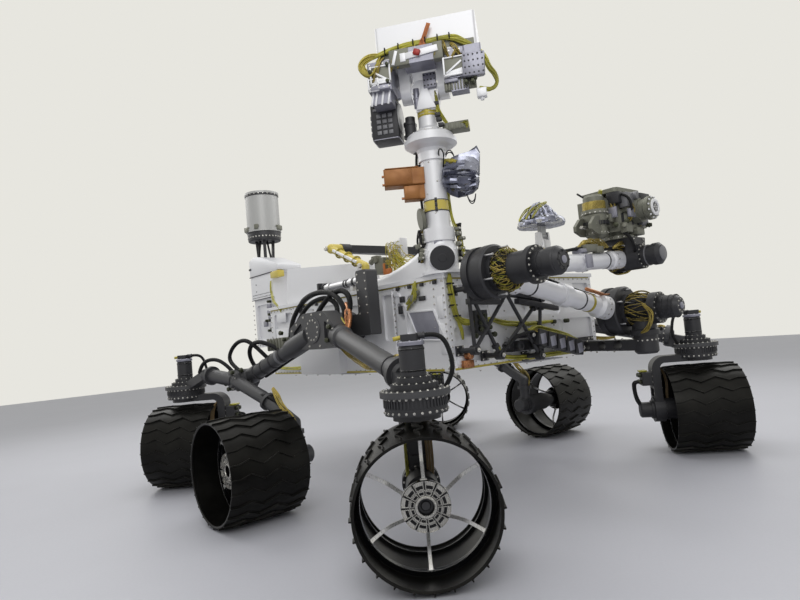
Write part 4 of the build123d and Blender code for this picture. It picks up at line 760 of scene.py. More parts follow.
@dataclass
class Wheel:
    """One machined wheel: a crowned skin with zigzag lugs, a stiffening ring, bent spokes and a hub."""

    name: str
    centre: Vector
    axle: Vector
    body: str
    skin_radius: float = 0.2485
    crown: float = 0.0045
    half_width: float = 0.2
    wall: float = 0.004
    lugs: int = 24
    lug_height: float = 0.009
    lug_thick: float = 0.0065
    lug_line: tuple[tuple[float, float], ...] = (
        (0.0, 0.0), (0.11, 0.0), (0.24, 0.017), (0.40, -0.015), (0.61, 0.020), (0.78, -0.017), (0.92, 0.0),
        (1.0, 0.0)
    )
    ring_radius: float = 0.224
    ring_place: float = 0.055
    hub_radius: float = 0.085
    hub_front: float = 0.1123
    spokes: int = 6

    def build(self) -> None:
        """Shape the wheel at the origin, move it to its axle and keep its pieces."""
        turn = Matrix((UP, self.axle.cross(UP).normalized(), self.axle)).transposed()
        place = Matrix.Translation(self.centre) @ turn.to_4x4()
        node = f"wheel_{self.name}"
        for suffix, shape, finish, nodes in (
            ("skin", self._skin(), TREAD_BLACK, (node,)), ("ring", self._ring(), RING_BLACK, ()),
            ("spokes", self._spokes(), SPOKE_METAL, ()), ("hub", self._hub(), RING_BLACK, ()),
            ("hub_face", self._face(), HUB_METAL, ()), ("hub_bore", self._bore(), BLACK_ANODISED, ())
        ):
            bmesh.ops.transform(shape.mesh, matrix=place, verts=shape.mesh.verts)
            shape.keep(f"{node}_{suffix}", finish, self.body, nodes, smooth=28.0)

    def _crowned(self, along: float) -> float:
        """Return the skin's radius at a distance from the wheel's middle plane."""
        return self.skin_radius - self.crown * (along / self.half_width) ** 4

    def _skin(self) -> Form:
        """Spin the skin with its rolled edges, and lay the lugs on it.

        Returns:
            The shape.
        """
        form = Form()
        w = self.half_width
        stations = [w * s for s in (-1.0, -0.94, -0.8, -0.5, 0.0, 0.5, 0.8, 0.94, 1.0)]
        outer = [(s, self._crowned(s)) for s in stations]
        inner = [(s, self._crowned(s) - self.wall) for s in reversed(stations[1:-1])]
        lip_front = [
            (w, outer[-1][1] - 0.002), (w - 0.003, outer[-1][1] - 0.010), (w - 0.008, outer[-1][1] - 0.0085)
        ]
        lip_back = [
            (-w + 0.008, outer[0][1] - 0.0085), (-w + 0.003, outer[0][1] - 0.010), (-w, outer[0][1] - 0.002)
        ]
        loop = [*outer, *lip_front, *inner, *lip_back]
        form.turned(Vector(), UP, [*loop, loop[0]], 4 * self.lugs)
        for number in range(self.lugs):
            self._lug(form, 2 * math.pi * number / self.lugs)
        return form

    def _lug(self, form: Form, angle: float) -> None:
        """Lay one lug across the skin: a tapered ridge that follows the chevron line.

        Args:
            form: the shape it is added to.
            angle: where it stands round the wheel.
        """
        lug = bmesh.new()
        feet = []
        for share, swing in self.lug_line:
            along = self.half_width * (1.0 - 2.0 * share)
            feet.append((along, swing, self._crowned(along)))
        last = None
        for along, swing, radius in feet:
            low, high = radius - self.wall / 2, radius + self.lug_height - 0.0005
            half = self.lug_thick / 2
            tip = half * 0.62
            section = [
                lug.verts.new((low, swing - half, along)), lug.verts.new((high, swing - tip, along)),
                lug.verts.new((high, swing + tip, along)), lug.verts.new((low, swing + half, along))
            ]
            if last is None:
                lug.faces.new(section)
            else:
                for a, b in ((0, 1), (1, 2), (2, 3), (3, 0)):
                    lug.faces.new((last[a], last[b], section[b], section[a]))
            last = section
        lug.faces.new(last)
        bmesh.ops.rotate(lug, cent=(0, 0, 0), matrix=Matrix.Rotation(angle, 3, "Z"), verts=lug.verts)
        bmesh.ops.recalc_face_normals(lug, faces=lug.faces)
        data = bpy.data.meshes.new("lug")
        lug.to_mesh(data)
        lug.free()
        form.mesh.from_mesh(data)
        bpy.data.meshes.remove(data)

    def _ring(self) -> Form:
        """Spin the stiffening ring near the middle plane, and a second one near the inboard edge.

        Returns:
            The shape.
        """
        form = Form()
        r = self.skin_radius - self.wall
        edge = self.ring_radius
        outline = [
            (-0.004, r), (-0.007, edge + 0.006), (-0.011, edge + 0.002), (-0.011, edge), (0.011, edge),
            (0.011, edge + 0.002), (0.007, edge + 0.006), (0.004, r), (-0.004, r)
        ]
        outline = [(self.ring_place + along, radius) for along, radius in outline]
        form.turned(Vector(), UP, outline, 96)
        back = Vector((0.0, 0.0, -0.14))
        form.turned(
            back, Vector((0.0, 0.0, 1.0)),
            [(-0.003, r), (-0.003, r - 0.012), (0.003, r - 0.012), (0.003, r), (-0.003, r)], 96
        )
        return form

    def _spokes(self) -> Form:
        """Bend the six spokes from the hub's rim to the ring, each a thin sprung strip with a foot.

        Returns:
            The shape.
        """
        form = Form()
        root = Vector((self.hub_radius - 0.006, 0.0, 0.086))
        tip = Vector((self.ring_radius + 0.001, 0.0, self.ring_place))
        rise = [0.0, 0.12, 0.3, 0.5, 0.7, 0.88, 1.0]
        bow = [0.0, -0.3, -0.72, -1.0, -0.86, -0.42, 0.0]
        for number in range(self.spokes):
            strip = bmesh.new()
            last = None
            for share, bend in zip(rise, bow):
                middle = root.lerp(tip, share) + Vector((0.004, 0.0, 0.030)) * bend
                half = 0.0075 if share in (0.0, 1.0) else 0.0062
                section = [
                    strip.verts.new(middle + Vector((0.0, -half, 0.0025))),
                    strip.verts.new(middle + Vector((0.0, half, 0.0025))),
                    strip.verts.new(middle + Vector((0.0, half, -0.0025))),
                    strip.verts.new(middle + Vector((0.0, -half, -0.0025)))
                ]
                if last is None:
                    strip.faces.new(section)
                else:
                    for a, b in ((0, 1), (1, 2), (2, 3), (3, 0)):
                        strip.faces.new((last[a], last[b], section[b], section[a]))
                last = section
            strip.faces.new(last)
            bmesh.ops.subdivide_edges(strip, edges=strip.edges, cuts=1, use_grid_fill=True, smooth=0.6)
            foot = Form()
            foot.box(tip + Vector((0.002, 0.0, -0.0005)), (0.004, 0.030, 0.018), bevel=0.0012)
            foot.bolts(
                [tip + Vector((0.001, s * 0.010, 0.0)) for s in (-1, 1)], Vector((-1.0, 0.0, 0.0)), 0.003,
                0.0025
            )
            foot.box(root + Vector((0.0, 0.0, -0.003)), (0.016, 0.024, 0.014), bevel=0.002)
            data = bpy.data.meshes.new("spoke")
            strip.to_mesh(data)
            strip.free()
            foot.mesh.from_mesh(data)
            bpy.data.meshes.remove(data)
            form.add(foot, Matrix.Rotation(2 * math.pi * number / self.spokes, 4, "Z"))
            foot.mesh.free()
        return form

    def _hub(self) -> Form:
        """Spin the hub: a dark body whose face carries the silver pads.

        Returns:
            The shape.
        """
        form = Form()
        front = self.hub_front
        outline = [
            (0.0405, 0.0), (0.0405, 0.060), (0.060, 0.066), (0.076, 0.078), (0.084, self.hub_radius),
            (front - 0.012, self.hub_radius), (front - 0.010, self.hub_radius - 0.002), (front - 0.010, 0.0815),
            (front - 0.006, 0.0800), (front - 0.003, 0.0560), (front - 0.003, 0.0540), (front, 0.0520),
            (front, 0.0375), (front - 0.002, 0.0360), (front - 0.002, 0.0285), (front - 0.024, 0.0265),
            (front - 0.024, 0.0)
        ]
        form.turned(Vector(), UP, outline, 96)
        return form

    def _face(self) -> Form:
        """Stand two rings of framed silver pads on the hub, with a bright rim and bolts round the bore.

        Returns:
            The shape.
        """
        form = Form()
        front = self.hub_front
        out = Vector((0.0, 0.0, 1.0))
        self._pads(form, 0.0572, 0.0842, front - 0.0058, 12, 0.0048)
        self._pads(form, 0.0392, 0.0532, front - 0.0020, 12, 0.0036)
        rim = [
            (0.0, 0.0270), (0.0, 0.0372), (0.0030, 0.0372), (0.0036, 0.0355), (0.0036, 0.0290), (0.0, 0.0270)
        ]
        form.turned(Vector((0.0, 0.0, front - 0.0020)), out, rim, 72)
        form.turned(
            Vector((0.0, 0.0, front - 0.0060)), out,
            [(0.0, 0.0536), (0.0050, 0.0538), (0.0050, 0.0560), (0.0, 0.0562)], 72
        )
        form.ring_of_bolts(Vector((0.0, 0.0, front + 0.0014)), out, 0.0322, 12, 0.0018, 0.0015)
        return form

    def _pads(self, form: Form, inner: float, outer: float, foot: float, count: int, rise: float) -> None:
        """Stand a ring of pads, each with a pocket sunk in it, a dark gap between neighbours.

        Args:
            form: the shape they are added to.
            inner: inner radius.
            outer: outer radius.
            foot: their height above the wheel's middle plane.
            count: how many.
            rise: how far they stand up.
        """
        pads = Form()
        start = Vector((0.0, 0.0, foot))
        faces = list(pads.turned(start, Vector((0.0, 0.0, 1.0)), [(0.0, inner), (0.0, outer)], 12 * count))
        bmesh.ops.remove_doubles(pads.mesh, verts=pads.mesh.verts, dist=0.00001)
        bmesh.ops.recalc_face_normals(pads.mesh, faces=pads.mesh.faces)
        faces = [f for f in pads.mesh.faces if f.is_valid]
        if faces[0].normal.z < 0.0:
            bmesh.ops.reverse_faces(pads.mesh, faces=faces)
        sectors: list[list[bmesh.types.BMFace]] = [[] for _ in range(count)]
        gaps = []
        for face in faces:
            spot = face.calc_center_median()
            turn = (math.atan2(spot.y, spot.x) % (2 * math.pi)) / (2 * math.pi) * count
            if 0.085 < turn % 1.0 < 0.915:
                sectors[int(turn) % count].append(face)
            else:
                gaps.append(face)
        bmesh.ops.delete(pads.mesh, geom=gaps, context="FACES")
        for sector in sectors:
            grown = bmesh.ops.extrude_face_region(pads.mesh, geom=sector)
            verts = [v for v in grown["geom"] if isinstance(v, bmesh.types.BMVert)]
            top = [f for f in grown["geom"] if isinstance(f, bmesh.types.BMFace)]
            bmesh.ops.translate(pads.mesh, verts=verts, vec=(0.0, 0.0, rise))
            bmesh.ops.delete(pads.mesh, geom=[f for f in sector if f.is_valid], context="FACES")
            bmesh.ops.inset_region(pads.mesh, faces=top, thickness=0.0024, depth=0.0, use_even_offset=True)
            bmesh.ops.inset_region(
                pads.mesh, faces=top, thickness=0.0007, depth=-rise * 0.8, use_even_offset=True
            )
        form.add(pads, Matrix.Identity(4))
        pads.mesh.free()

    def _bore(self) -> Form:
        """Spin the dark plug deep in the hub's bore.

        Returns:
            The shape.
        """
        form = Form()
        start = Vector((0.0, 0.0, self.hub_front - 0.0245))
        form.turned(
            start, Vector((0.0, 0.0, 1.0)),
            [(0.0, 0.0262), (0.004, 0.0262), (0.004, 0.018), (0.010, 0.014), (0.010, 0.0)], 32
        )
        form.ring_of_bolts(start + Vector((0.0, 0.0, 0.004)), Vector((0.0, 0.0, 1.0)), 0.0215, 6, 0.0016, 0.002)
        return form


@dataclass
class SteeredCorner:
    """The fittings of one steering actuator and its knuckle: flutes, bolts, cap, plug and cables."""

    name: str
    x: float
    y: float
    toe: float
    body: str
    disc_top: float = 575.0
    flange_top: float = 617.3
    collar_top: float = 638.3
    cap_top: float = 833.3
    drum_radius: float = 0.112
    flutes: int = 54

    def build(self) -> None:
        """Make the pieces of the actuator, which stands still, and of the knuckle, which turns."""
        side = math.copysign(1.0, self.y)
        turn = math.radians(self.toe)
        out = Vector((math.sin(turn), side * math.cos(turn), 0.0))
        self._actuator()
        self._plug(side)
        self._knuckle(out, side)

    def _foot(self, z: float) -> Vector:
        """Return the point of the steering axis at a height."""
        return at(self.x, self.y, z)

    def _actuator(self) -> None:
        """Make the fluted ring, the rows of bolts and the motor's dark bands."""
        ring = Form()
        ring.fluted(self._foot(self.disc_top + 7), UP, self.drum_radius, 0.026, self.flutes, 0.0035)
        ring.turned(
            self._foot(self.collar_top - 0.5), UP, [(0.0, 0.094), (0.003, 0.094), (0.003, 0.088), (0.0, 0.088)]
        )
        ring.keep(f"steer_{self.name}_flutes", BLACK_ANODISED, HULL, smooth=25.0)
        bolts = Form()
        bolts.ring_of_bolts(self._foot(self.collar_top), UP, 0.1175, 28, 0.0036, 0.005)
        bolts.ring_of_bolts(self._foot(self.collar_top + 22), UP, 0.074, 18, *BOLT)
        bolts.ring_of_bolts(self._foot(self.collar_top + 44), UP, 0.0545, 12, 0.0025, 0.003)
        bolts.radial_bolts(self._foot(self.flange_top - 4.5), UP, self.drum_radius, 30, 0.0030, 0.0045)
        bolts.keep(f"steer_{self.name}_bolts", BRIGHT_STEEL, HULL)
        bands = Form()
        for z in (700.0, 775.0):
            bands.band(self._foot(z), UP, 0.0455, 0.0475, 0.008, 40)
        bands.keep(f"steer_{self.name}_bands", RING_BLACK, HULL)

    def _plug(self, side: float) -> None:
        """Make the silver lid on the motor, its plug and the sleeve that loops down from it.

        Args:
            side: 1 to port, -1 to starboard.
        """
        lid = Form()
        top = self._foot(self.cap_top - 28)
        lid.turned(top, UP, [(-0.012, 0.0), (-0.012, 0.049), (0.0, 0.050), (0.003, 0.047), (0.003, 0.0)], 40)
        lid.ring_of_bolts(top + UP * 0.003, UP, 0.043, 8, 0.0028, 0.003)
        lid.keep(f"steer_{self.name}_lid", MACHINED_GREY, HULL)
        away = Vector((0.64, 0.77, 0.0)) if side < 0 else Vector((-0.5, -0.86, 0.0))
        start = self._foot(self.cap_top - 8)
        plug = Form()
        plug.bar(start + away * 0.02, start + away * 0.050, 0.0115, 0.010, 20, 0.001)
        plug.bar(start + away * 0.044, start + away * 0.052, 0.0130, None, 8, 0.001)
        plug.keep(f"steer_{self.name}_plug", BLACK_ANODISED, HULL)
        stub = Form()
        stub.bar(start - away * 0.020, start - away * 0.062 - UP * 0.006, 0.0085, 0.008, 18, 0.001)
        stub.keep(f"steer_{self.name}_stub", YELLOW_TAPE, HULL)
        loop = Loom()
        loop.run(
            0.0082, start + away * 0.046, start + away * 0.086 + UP * 0.004, start + away * 0.122 - UP * 0.020,
            start + away * 0.140 - UP * 0.080, start + away * 0.142 - UP * 0.130,
            start + away * 0.122 - UP * 0.172, start + away * 0.108 - UP * 0.190, **RIDGES
        )
        loop.keep(f"steer_{self.name}_sleeve", BLACK_SLEEVE, HULL)

    def _knuckle(self, out: Vector, side: float) -> None:
        """Make the knuckle's bolts, its plug box and the wrapped cable to the hub drive.

        Args:
            out: the axle's outboard direction.
            side: 1 to port, -1 to starboard.
        """
        across = UP.cross(out).normalized()
        hub = at(self.x, self.y, AXLE_HEIGHT)
        steel = Form()
        steel.radial_bolts(self._foot(self.disc_top - 10), UP, self.drum_radius, 26, 0.0032, 0.0045)
        back = hub - out * 0.268
        for way in (-1, 1):
            column = [back + across * (way * 0.046) + UP * (0.10 + 0.034 * n) for n in range(5)]
            steel.bolts(column, -out, *SCREW)
            front = [hub - out * 0.222 + across * (way * 0.047) + UP * (0.09 + 0.04 * n) for n in range(4)]
            steel.bolts(front, out, *SCREW)
        steel.ring_of_bolts(hub - out * 0.214, out, 0.067, 16, *SCREW)
        steel.keep(f"knuckle_{self.name}_bolts", BRIGHT_STEEL, self.body)
        box = hub - out * 0.326 + UP * 0.19
        gear = Form()
        for place in (-0.022, 0.022):
            for height in (-0.02, 0.02):
                spot = box + across * place + UP * height
                gear.plug(spot, -out, (0.0, 0.020), (0.008, 0.014), 0.0115, 0.011, 0.0135)
        gear.keep(f"knuckle_{self.name}_plugs", GREEN_CONNECTOR, self.body)
        lime = Loom()
        start = hub - out * 0.214 + across * 0.050 * side
        lime.bundle(
            0.0036, 4, 0.0045, 7, start + UP * 0.27, start + UP * 0.22 + out * 0.006, start + UP * 0.15,
            start + UP * 0.10 + out * 0.004, start + UP * 0.05 + out * 0.006, start + UP * 0.035 + out * 0.014
        )
        lime.keep(f"knuckle_{self.name}_harness", LIME_WRAP, self.body)
        sleeves = Loom()
        for number, place in enumerate((-0.022, 0.022)):
            spot = box + across * place - UP * 0.02 - out * 0.020
            sleeves.run(
                0.0085, spot, spot - out * 0.020, spot - out * 0.026 - UP * 0.030,
                spot - out * 0.020 - UP * (0.085 + 0.02 * number) - across * place * 0.4,
                spot - out * 0.004 - UP * (0.125 + 0.01 * number) - across * place * 0.6,
                spot + out * 0.010 - UP * (0.150 + 0.01 * number) - across * place * 0.6, **RIDGES
            )
        sleeves.keep(f"knuckle_{self.name}_sleeves", BLACK_SLEEVE, self.body)
        tan = Loom()
        arch = hub - out * 0.268
        for number in range(3):
            shift = across * (0.030 + 0.010 * number)
            tan.run(
                0.0048, arch + shift + UP * 0.262 + out * 0.050,
                arch + shift + UP * 0.226 + out * (0.078 + 0.004 * number),
                arch + shift + UP * 0.150 + out * (0.088 + 0.006 * number),
                arch + shift + UP * 0.070 + out * (0.080 + 0.006 * number),
                arch + shift * 0.8 - UP * 0.010 + out * 0.086, arch + shift * 0.6 - UP * 0.046 + out * 0.120
            )
        tan.keep(f"knuckle_{self.name}_cable", TAN_SLEEVE, self.body)
        lid = Form()
        turn = Matrix((across, out, UP)).transposed()
        lid.box(box + UP * 0.044 + out * 0.012, (0.066, 0.046, 0.010), turn, 0.003)
        lid.keep(f"knuckle_{self.name}_lid", LIME_WRAP, self.body)


@dataclass
class Suspension:
    """The fittings of one rocker and bogie: corrugated loops, taped and copper sleeves, bolts and clamps."""

    name: str
    side: float
    pivot: tuple[float, float] = (160.0, 900.0)
    bogie: tuple[float, float] = (-530.0, 660.0)
    casting_y: float = 895.0
    loop_y: float = 772.0

    def p(self, x: float, y: float, z: float) -> Vector:
        """Return a point on this side: y is counted outboard."""
        return at(x, self.side * y, z)

    def build(self) -> None:
        """Make the loops, the sleeves, the bolts and the clamps."""
        self._loops()
        self._wires()
        self._bolts()
        self._clamps()

    def _loops(self) -> None:
        """Lead the black corrugated loops over the pivot and under the bogie pivot."""
        loops = Loom(6)
        y = self.loop_y
        for radius, *spots in (
            (0.0125, (55, 806, 965), (40, 790, 985), (36, y, 1005), (77, y - 6, 1040), (163, y - 10, 1086),
             (255, y - 6, 1098), (330, y, 1066), (352, 780, 1004), (346, 800, 955), (330, 815, 905)),
            (0.0115, (-160, 805, 932), (-150, 790, 975), (-60, 776, 1052), (60, 762, 1076), (140, 758, 1060),
             (200, 764, 1028), (245, 790, 990), (262, 805, 962)),
            (0.011, (-470, 915, 716), (-480, 935, 752), (-452, 965, 812), (-380, 980, 860), (-290, 978, 872),
             (-220, 950, 850), (-180, 905, 812), (-165, 880, 796)),
            (0.010, (-575, 1015, 705), (-590, 1040, 745), (-650, 1075, 790), (-730, 1110, 790),
             (-800, 1122, 752), (-835, 1118, 715)),
            (0.0125, (-262, 790, 880), (-268, 776, 950), (-225, 764, 1020), (-140, 757, 1082),
             (-20, 754, 1110), (90, 760, 1104), (190, 768, 1090)),
            (0.0105, (-480, 1000, 700), (-560, 1020, 742), (-640, 1010, 800), (-560, 1000, 872),
             (-430, 1000, 892), (-350, 985, 860), (-300, 950, 800), (-290, 900, 742)),
            (0.0095, (-420, 980, 650), (-380, 1010, 610), (-300, 1015, 580), (-230, 1010, 575),
             (-150, 990, 560), (-80, 965, 500), (-30, 950, 430))
        ):
            loops.run(radius, *(self.p(*spot) for spot in spots), **LOOP_RIDGES)
        loops.keep(f"loops_{self.name}", BLACK_SLEEVE, HULL)
        box = Form()
        way = Matrix.Rotation(-0.05, 3, "Y")
        box.box(self.p(-222, 892, 846), (0.180, 0.050, 0.062), way, 0.005)
        for number in range(5):
            box.box(self.p(-290 + 34 * number, 920, 848), (0.012, 0.010, 0.066), way, 0.002)
        box.keep(f"harness_box_{self.name}", OLIVE_METAL, HULL)

    def _wires(self) -> None:
        """Lead the yellow sleeve, the copper braid, the gold wires and the taped runs along the tubes."""
        yellow = Loom(8)
        yellow.run(
            0.0135, self.p(268, 806, 962), self.p(290, 812, 950), self.p(325, 820, 926), self.p(350, 822, 906)
        )
        yellow.keep(f"yellow_sleeve_{self.name}", YELLOW_TAPE, HULL)
        copper = Loom(6)
        copper.run(
            0.011, self.p(300, 770, 1020), self.p(336, 786, 1000), self.p(372, 800, 960), self.p(384, 822, 905),
            self.p(380, 832, 880)
        )
        copper.bundle(
            0.003, 5, 0.009, 3, self.p(318, 772, 1000), self.p(330, 800, 985), self.p(352, 812, 950),
            self.p(362, 824, 905), self.p(358, 830, 880)
        )
        copper.keep(f"copper_braid_{self.name}", COPPER_TAPE, HULL)
        gold = Loom()
        gold.bundle(
            0.0032, 7, 0.010, 11, self.p(352, 850, 790), self.p(420, 862, 762), self.p(520, 885, 742),
            self.p(610, 912, 716), self.p(690, 940, 700), self.p(760, 955, 705)
        )
        gold.bundle(
            0.003, 5, 0.007, 12, self.p(900, 1010, 712), self.p(960, 1035, 730), self.p(1000, 1050, 758),
            self.p(1045, 1062, 742), self.p(1075, 1075, 700), self.p(1090, 1082, 655)
        )
        gold.bundle(
            0.0034, 8, 0.013, 13, self.p(-150, 985, 610), self.p(-100, 990, 572), self.p(-66, 990, 530),
            self.p(-10, 985, 486), self.p(30, 975, 446), self.p(34, 960, 400), self.p(20, 945, 350)
        )
        for number in range(4):
            gold.bundle(
                0.0030, 4, 0.012, 40 + number, self.p(330 + 20 * number, 846, 800 - 6 * number),
                self.p(380 + 20 * number, 830, 762 - 10 * number),
                self.p(460 + 16 * number, 842, 735 - 10 * number),
                self.p(560 + 16 * number, 880, 728 - 8 * number), self.p(650, 915, 735)
            )
        gold.keep(f"gold_wires_{self.name}", GOLD_WIRE, HULL)
        runs = Loom(6)
        for lift, radius in ((0.0, 0.0075), (15.0, 0.0065)):
            runs.run(
                radius, self.p(60, 832 - lift, 842 - 0.6 * lift), self.p(-60, 846 - lift, 796 - 0.4 * lift),
                self.p(-200, 862 - lift, 752 - 0.4 * lift), self.p(-330, 880 - lift, 702 - 0.4 * lift),
                self.p(-430, 895 - lift, 668 - 0.4 * lift), **RIDGES
            )
        runs.run(
            0.0075, self.p(430, 812, 842), self.p(560, 852, 815), self.p(700, 905, 790), self.p(860, 968, 752),
            self.p(980, 1010, 730), self.p(1040, 1030, 742), **RIDGES
        )
        runs.keep(f"sleeved_runs_{self.name}", BLACK_SLEEVE, HULL)

    def _bolts(self) -> None:
        """Stand bolts round the castings, the tube flanges and the pylon."""
        steel = Form()
        out = Vector((0.0, self.side, 0.0))
        px, pz = self.pivot
        outline = [
            (-215, 8), (-160, 38), (-85, 72), (0, 80), (85, 74), (150, 38), (185, -4), (60, -84), (-40, -82),
            (-120, -76)
        ]
        steel.bolts([self.p(px + dx, self.casting_y, pz + dz) for dx, dz in outline], out, 0.0042, 0.005)
        steel.ring_of_bolts(self.p(px, 899, pz), out, 0.052, 12, 0.0035, 0.004)
        bx, bz = self.bogie
        steel.ring_of_bolts(self.p(bx, 1048, bz), out, 0.050, 12, 0.0035, 0.004)
        for z in (960, 1000, 1040, 1080, 1120, 1160):
            steel.bolts([self.p(x, 735, z) for x in (362, 428)], out, *WALL_BOLT)
        for ends, share, circle in (
            (((330, 850, 862), (1050, 1070, 690)), 0.985, 0.056),
            (((-530, 1030, 660), (-800, 1085, 700)), 0.86, 0.047)
        ):
            start, end = (self.p(*e) for e in ends)
            line = (end - start).normalized()
            steel.ring_of_bolts(start.lerp(end, share) - line * 0.006, -line, circle, 12, 0.0034, 0.005)
        steel.keep(f"suspension_bolts_{self.name}", BRIGHT_STEEL, HULL)

    def _clamps(self) -> None:
        """Put dark clamps and silver tape bands round the tubes."""
        start, end = self.p(330, 850, 862), self.p(1050, 1070, 690)
        line = (end - start).normalized()
        dark = Form()
        dark.band(start.lerp(end, 0.88), line, 0.0455, 0.0490, 0.013)
        rear_start, rear_end = self.p(160, 850, 900), self.p(-530, 945, 660)
        rear = (rear_end - rear_start).normalized()
        for share in (0.46, 0.60, 0.72):
            dark.band(rear_start.lerp(rear_end, share), rear, 0.0415, 0.0450, 0.012)
        dark.keep(f"tube_clamps_{self.name}", BLACK_ANODISED, HULL)
        foil = Form()
        foil.band(rear_start.lerp(rear_end, 0.50), rear, 0.0418, 0.0432, 0.0208, lip=0.0008)
        foil.keep(f"tube_tape_{self.name}", GRAPHITE_PAINT, HULL)
        plugs = Form()
        for x, y, z, way in (
            (-600, 1046, 640, (0.0, 1.0, 0.0)), (-560, 1050, 610, (0.0, 1.0, 0.0)),
            (-500, 1050, 706, (0.0, 1.0, 0.2)), (-440, 1010, 640, (0.6, 1.0, 0.0)),
            (-620, 1010, 702, (0.0, 1.0, 0.4)), (-165, 898, 905, (0.0, 1.0, 0.2)),
            (-140, 898, 868, (0.0, 1.0, 0.0)), (300, 898, 842, (0.2, 1.0, 0.0)),
            (320, 895, 905, (0.0, 1.0, 0.3)), (-470, 1010, 712, (0.0, 0.5, 1.0))
        ):
            foot = self.p(x, y, z)
            aim = Vector((way[0], self.side * way[1], way[2])).normalized()
            plugs.plug(foot, aim, (-0.006, 0.016), (0.006, 0.012), 0.011, 0.0105, 0.013)
        plugs.keep(f"suspension_plugs_{self.name}", GREEN_CONNECTOR, HULL)


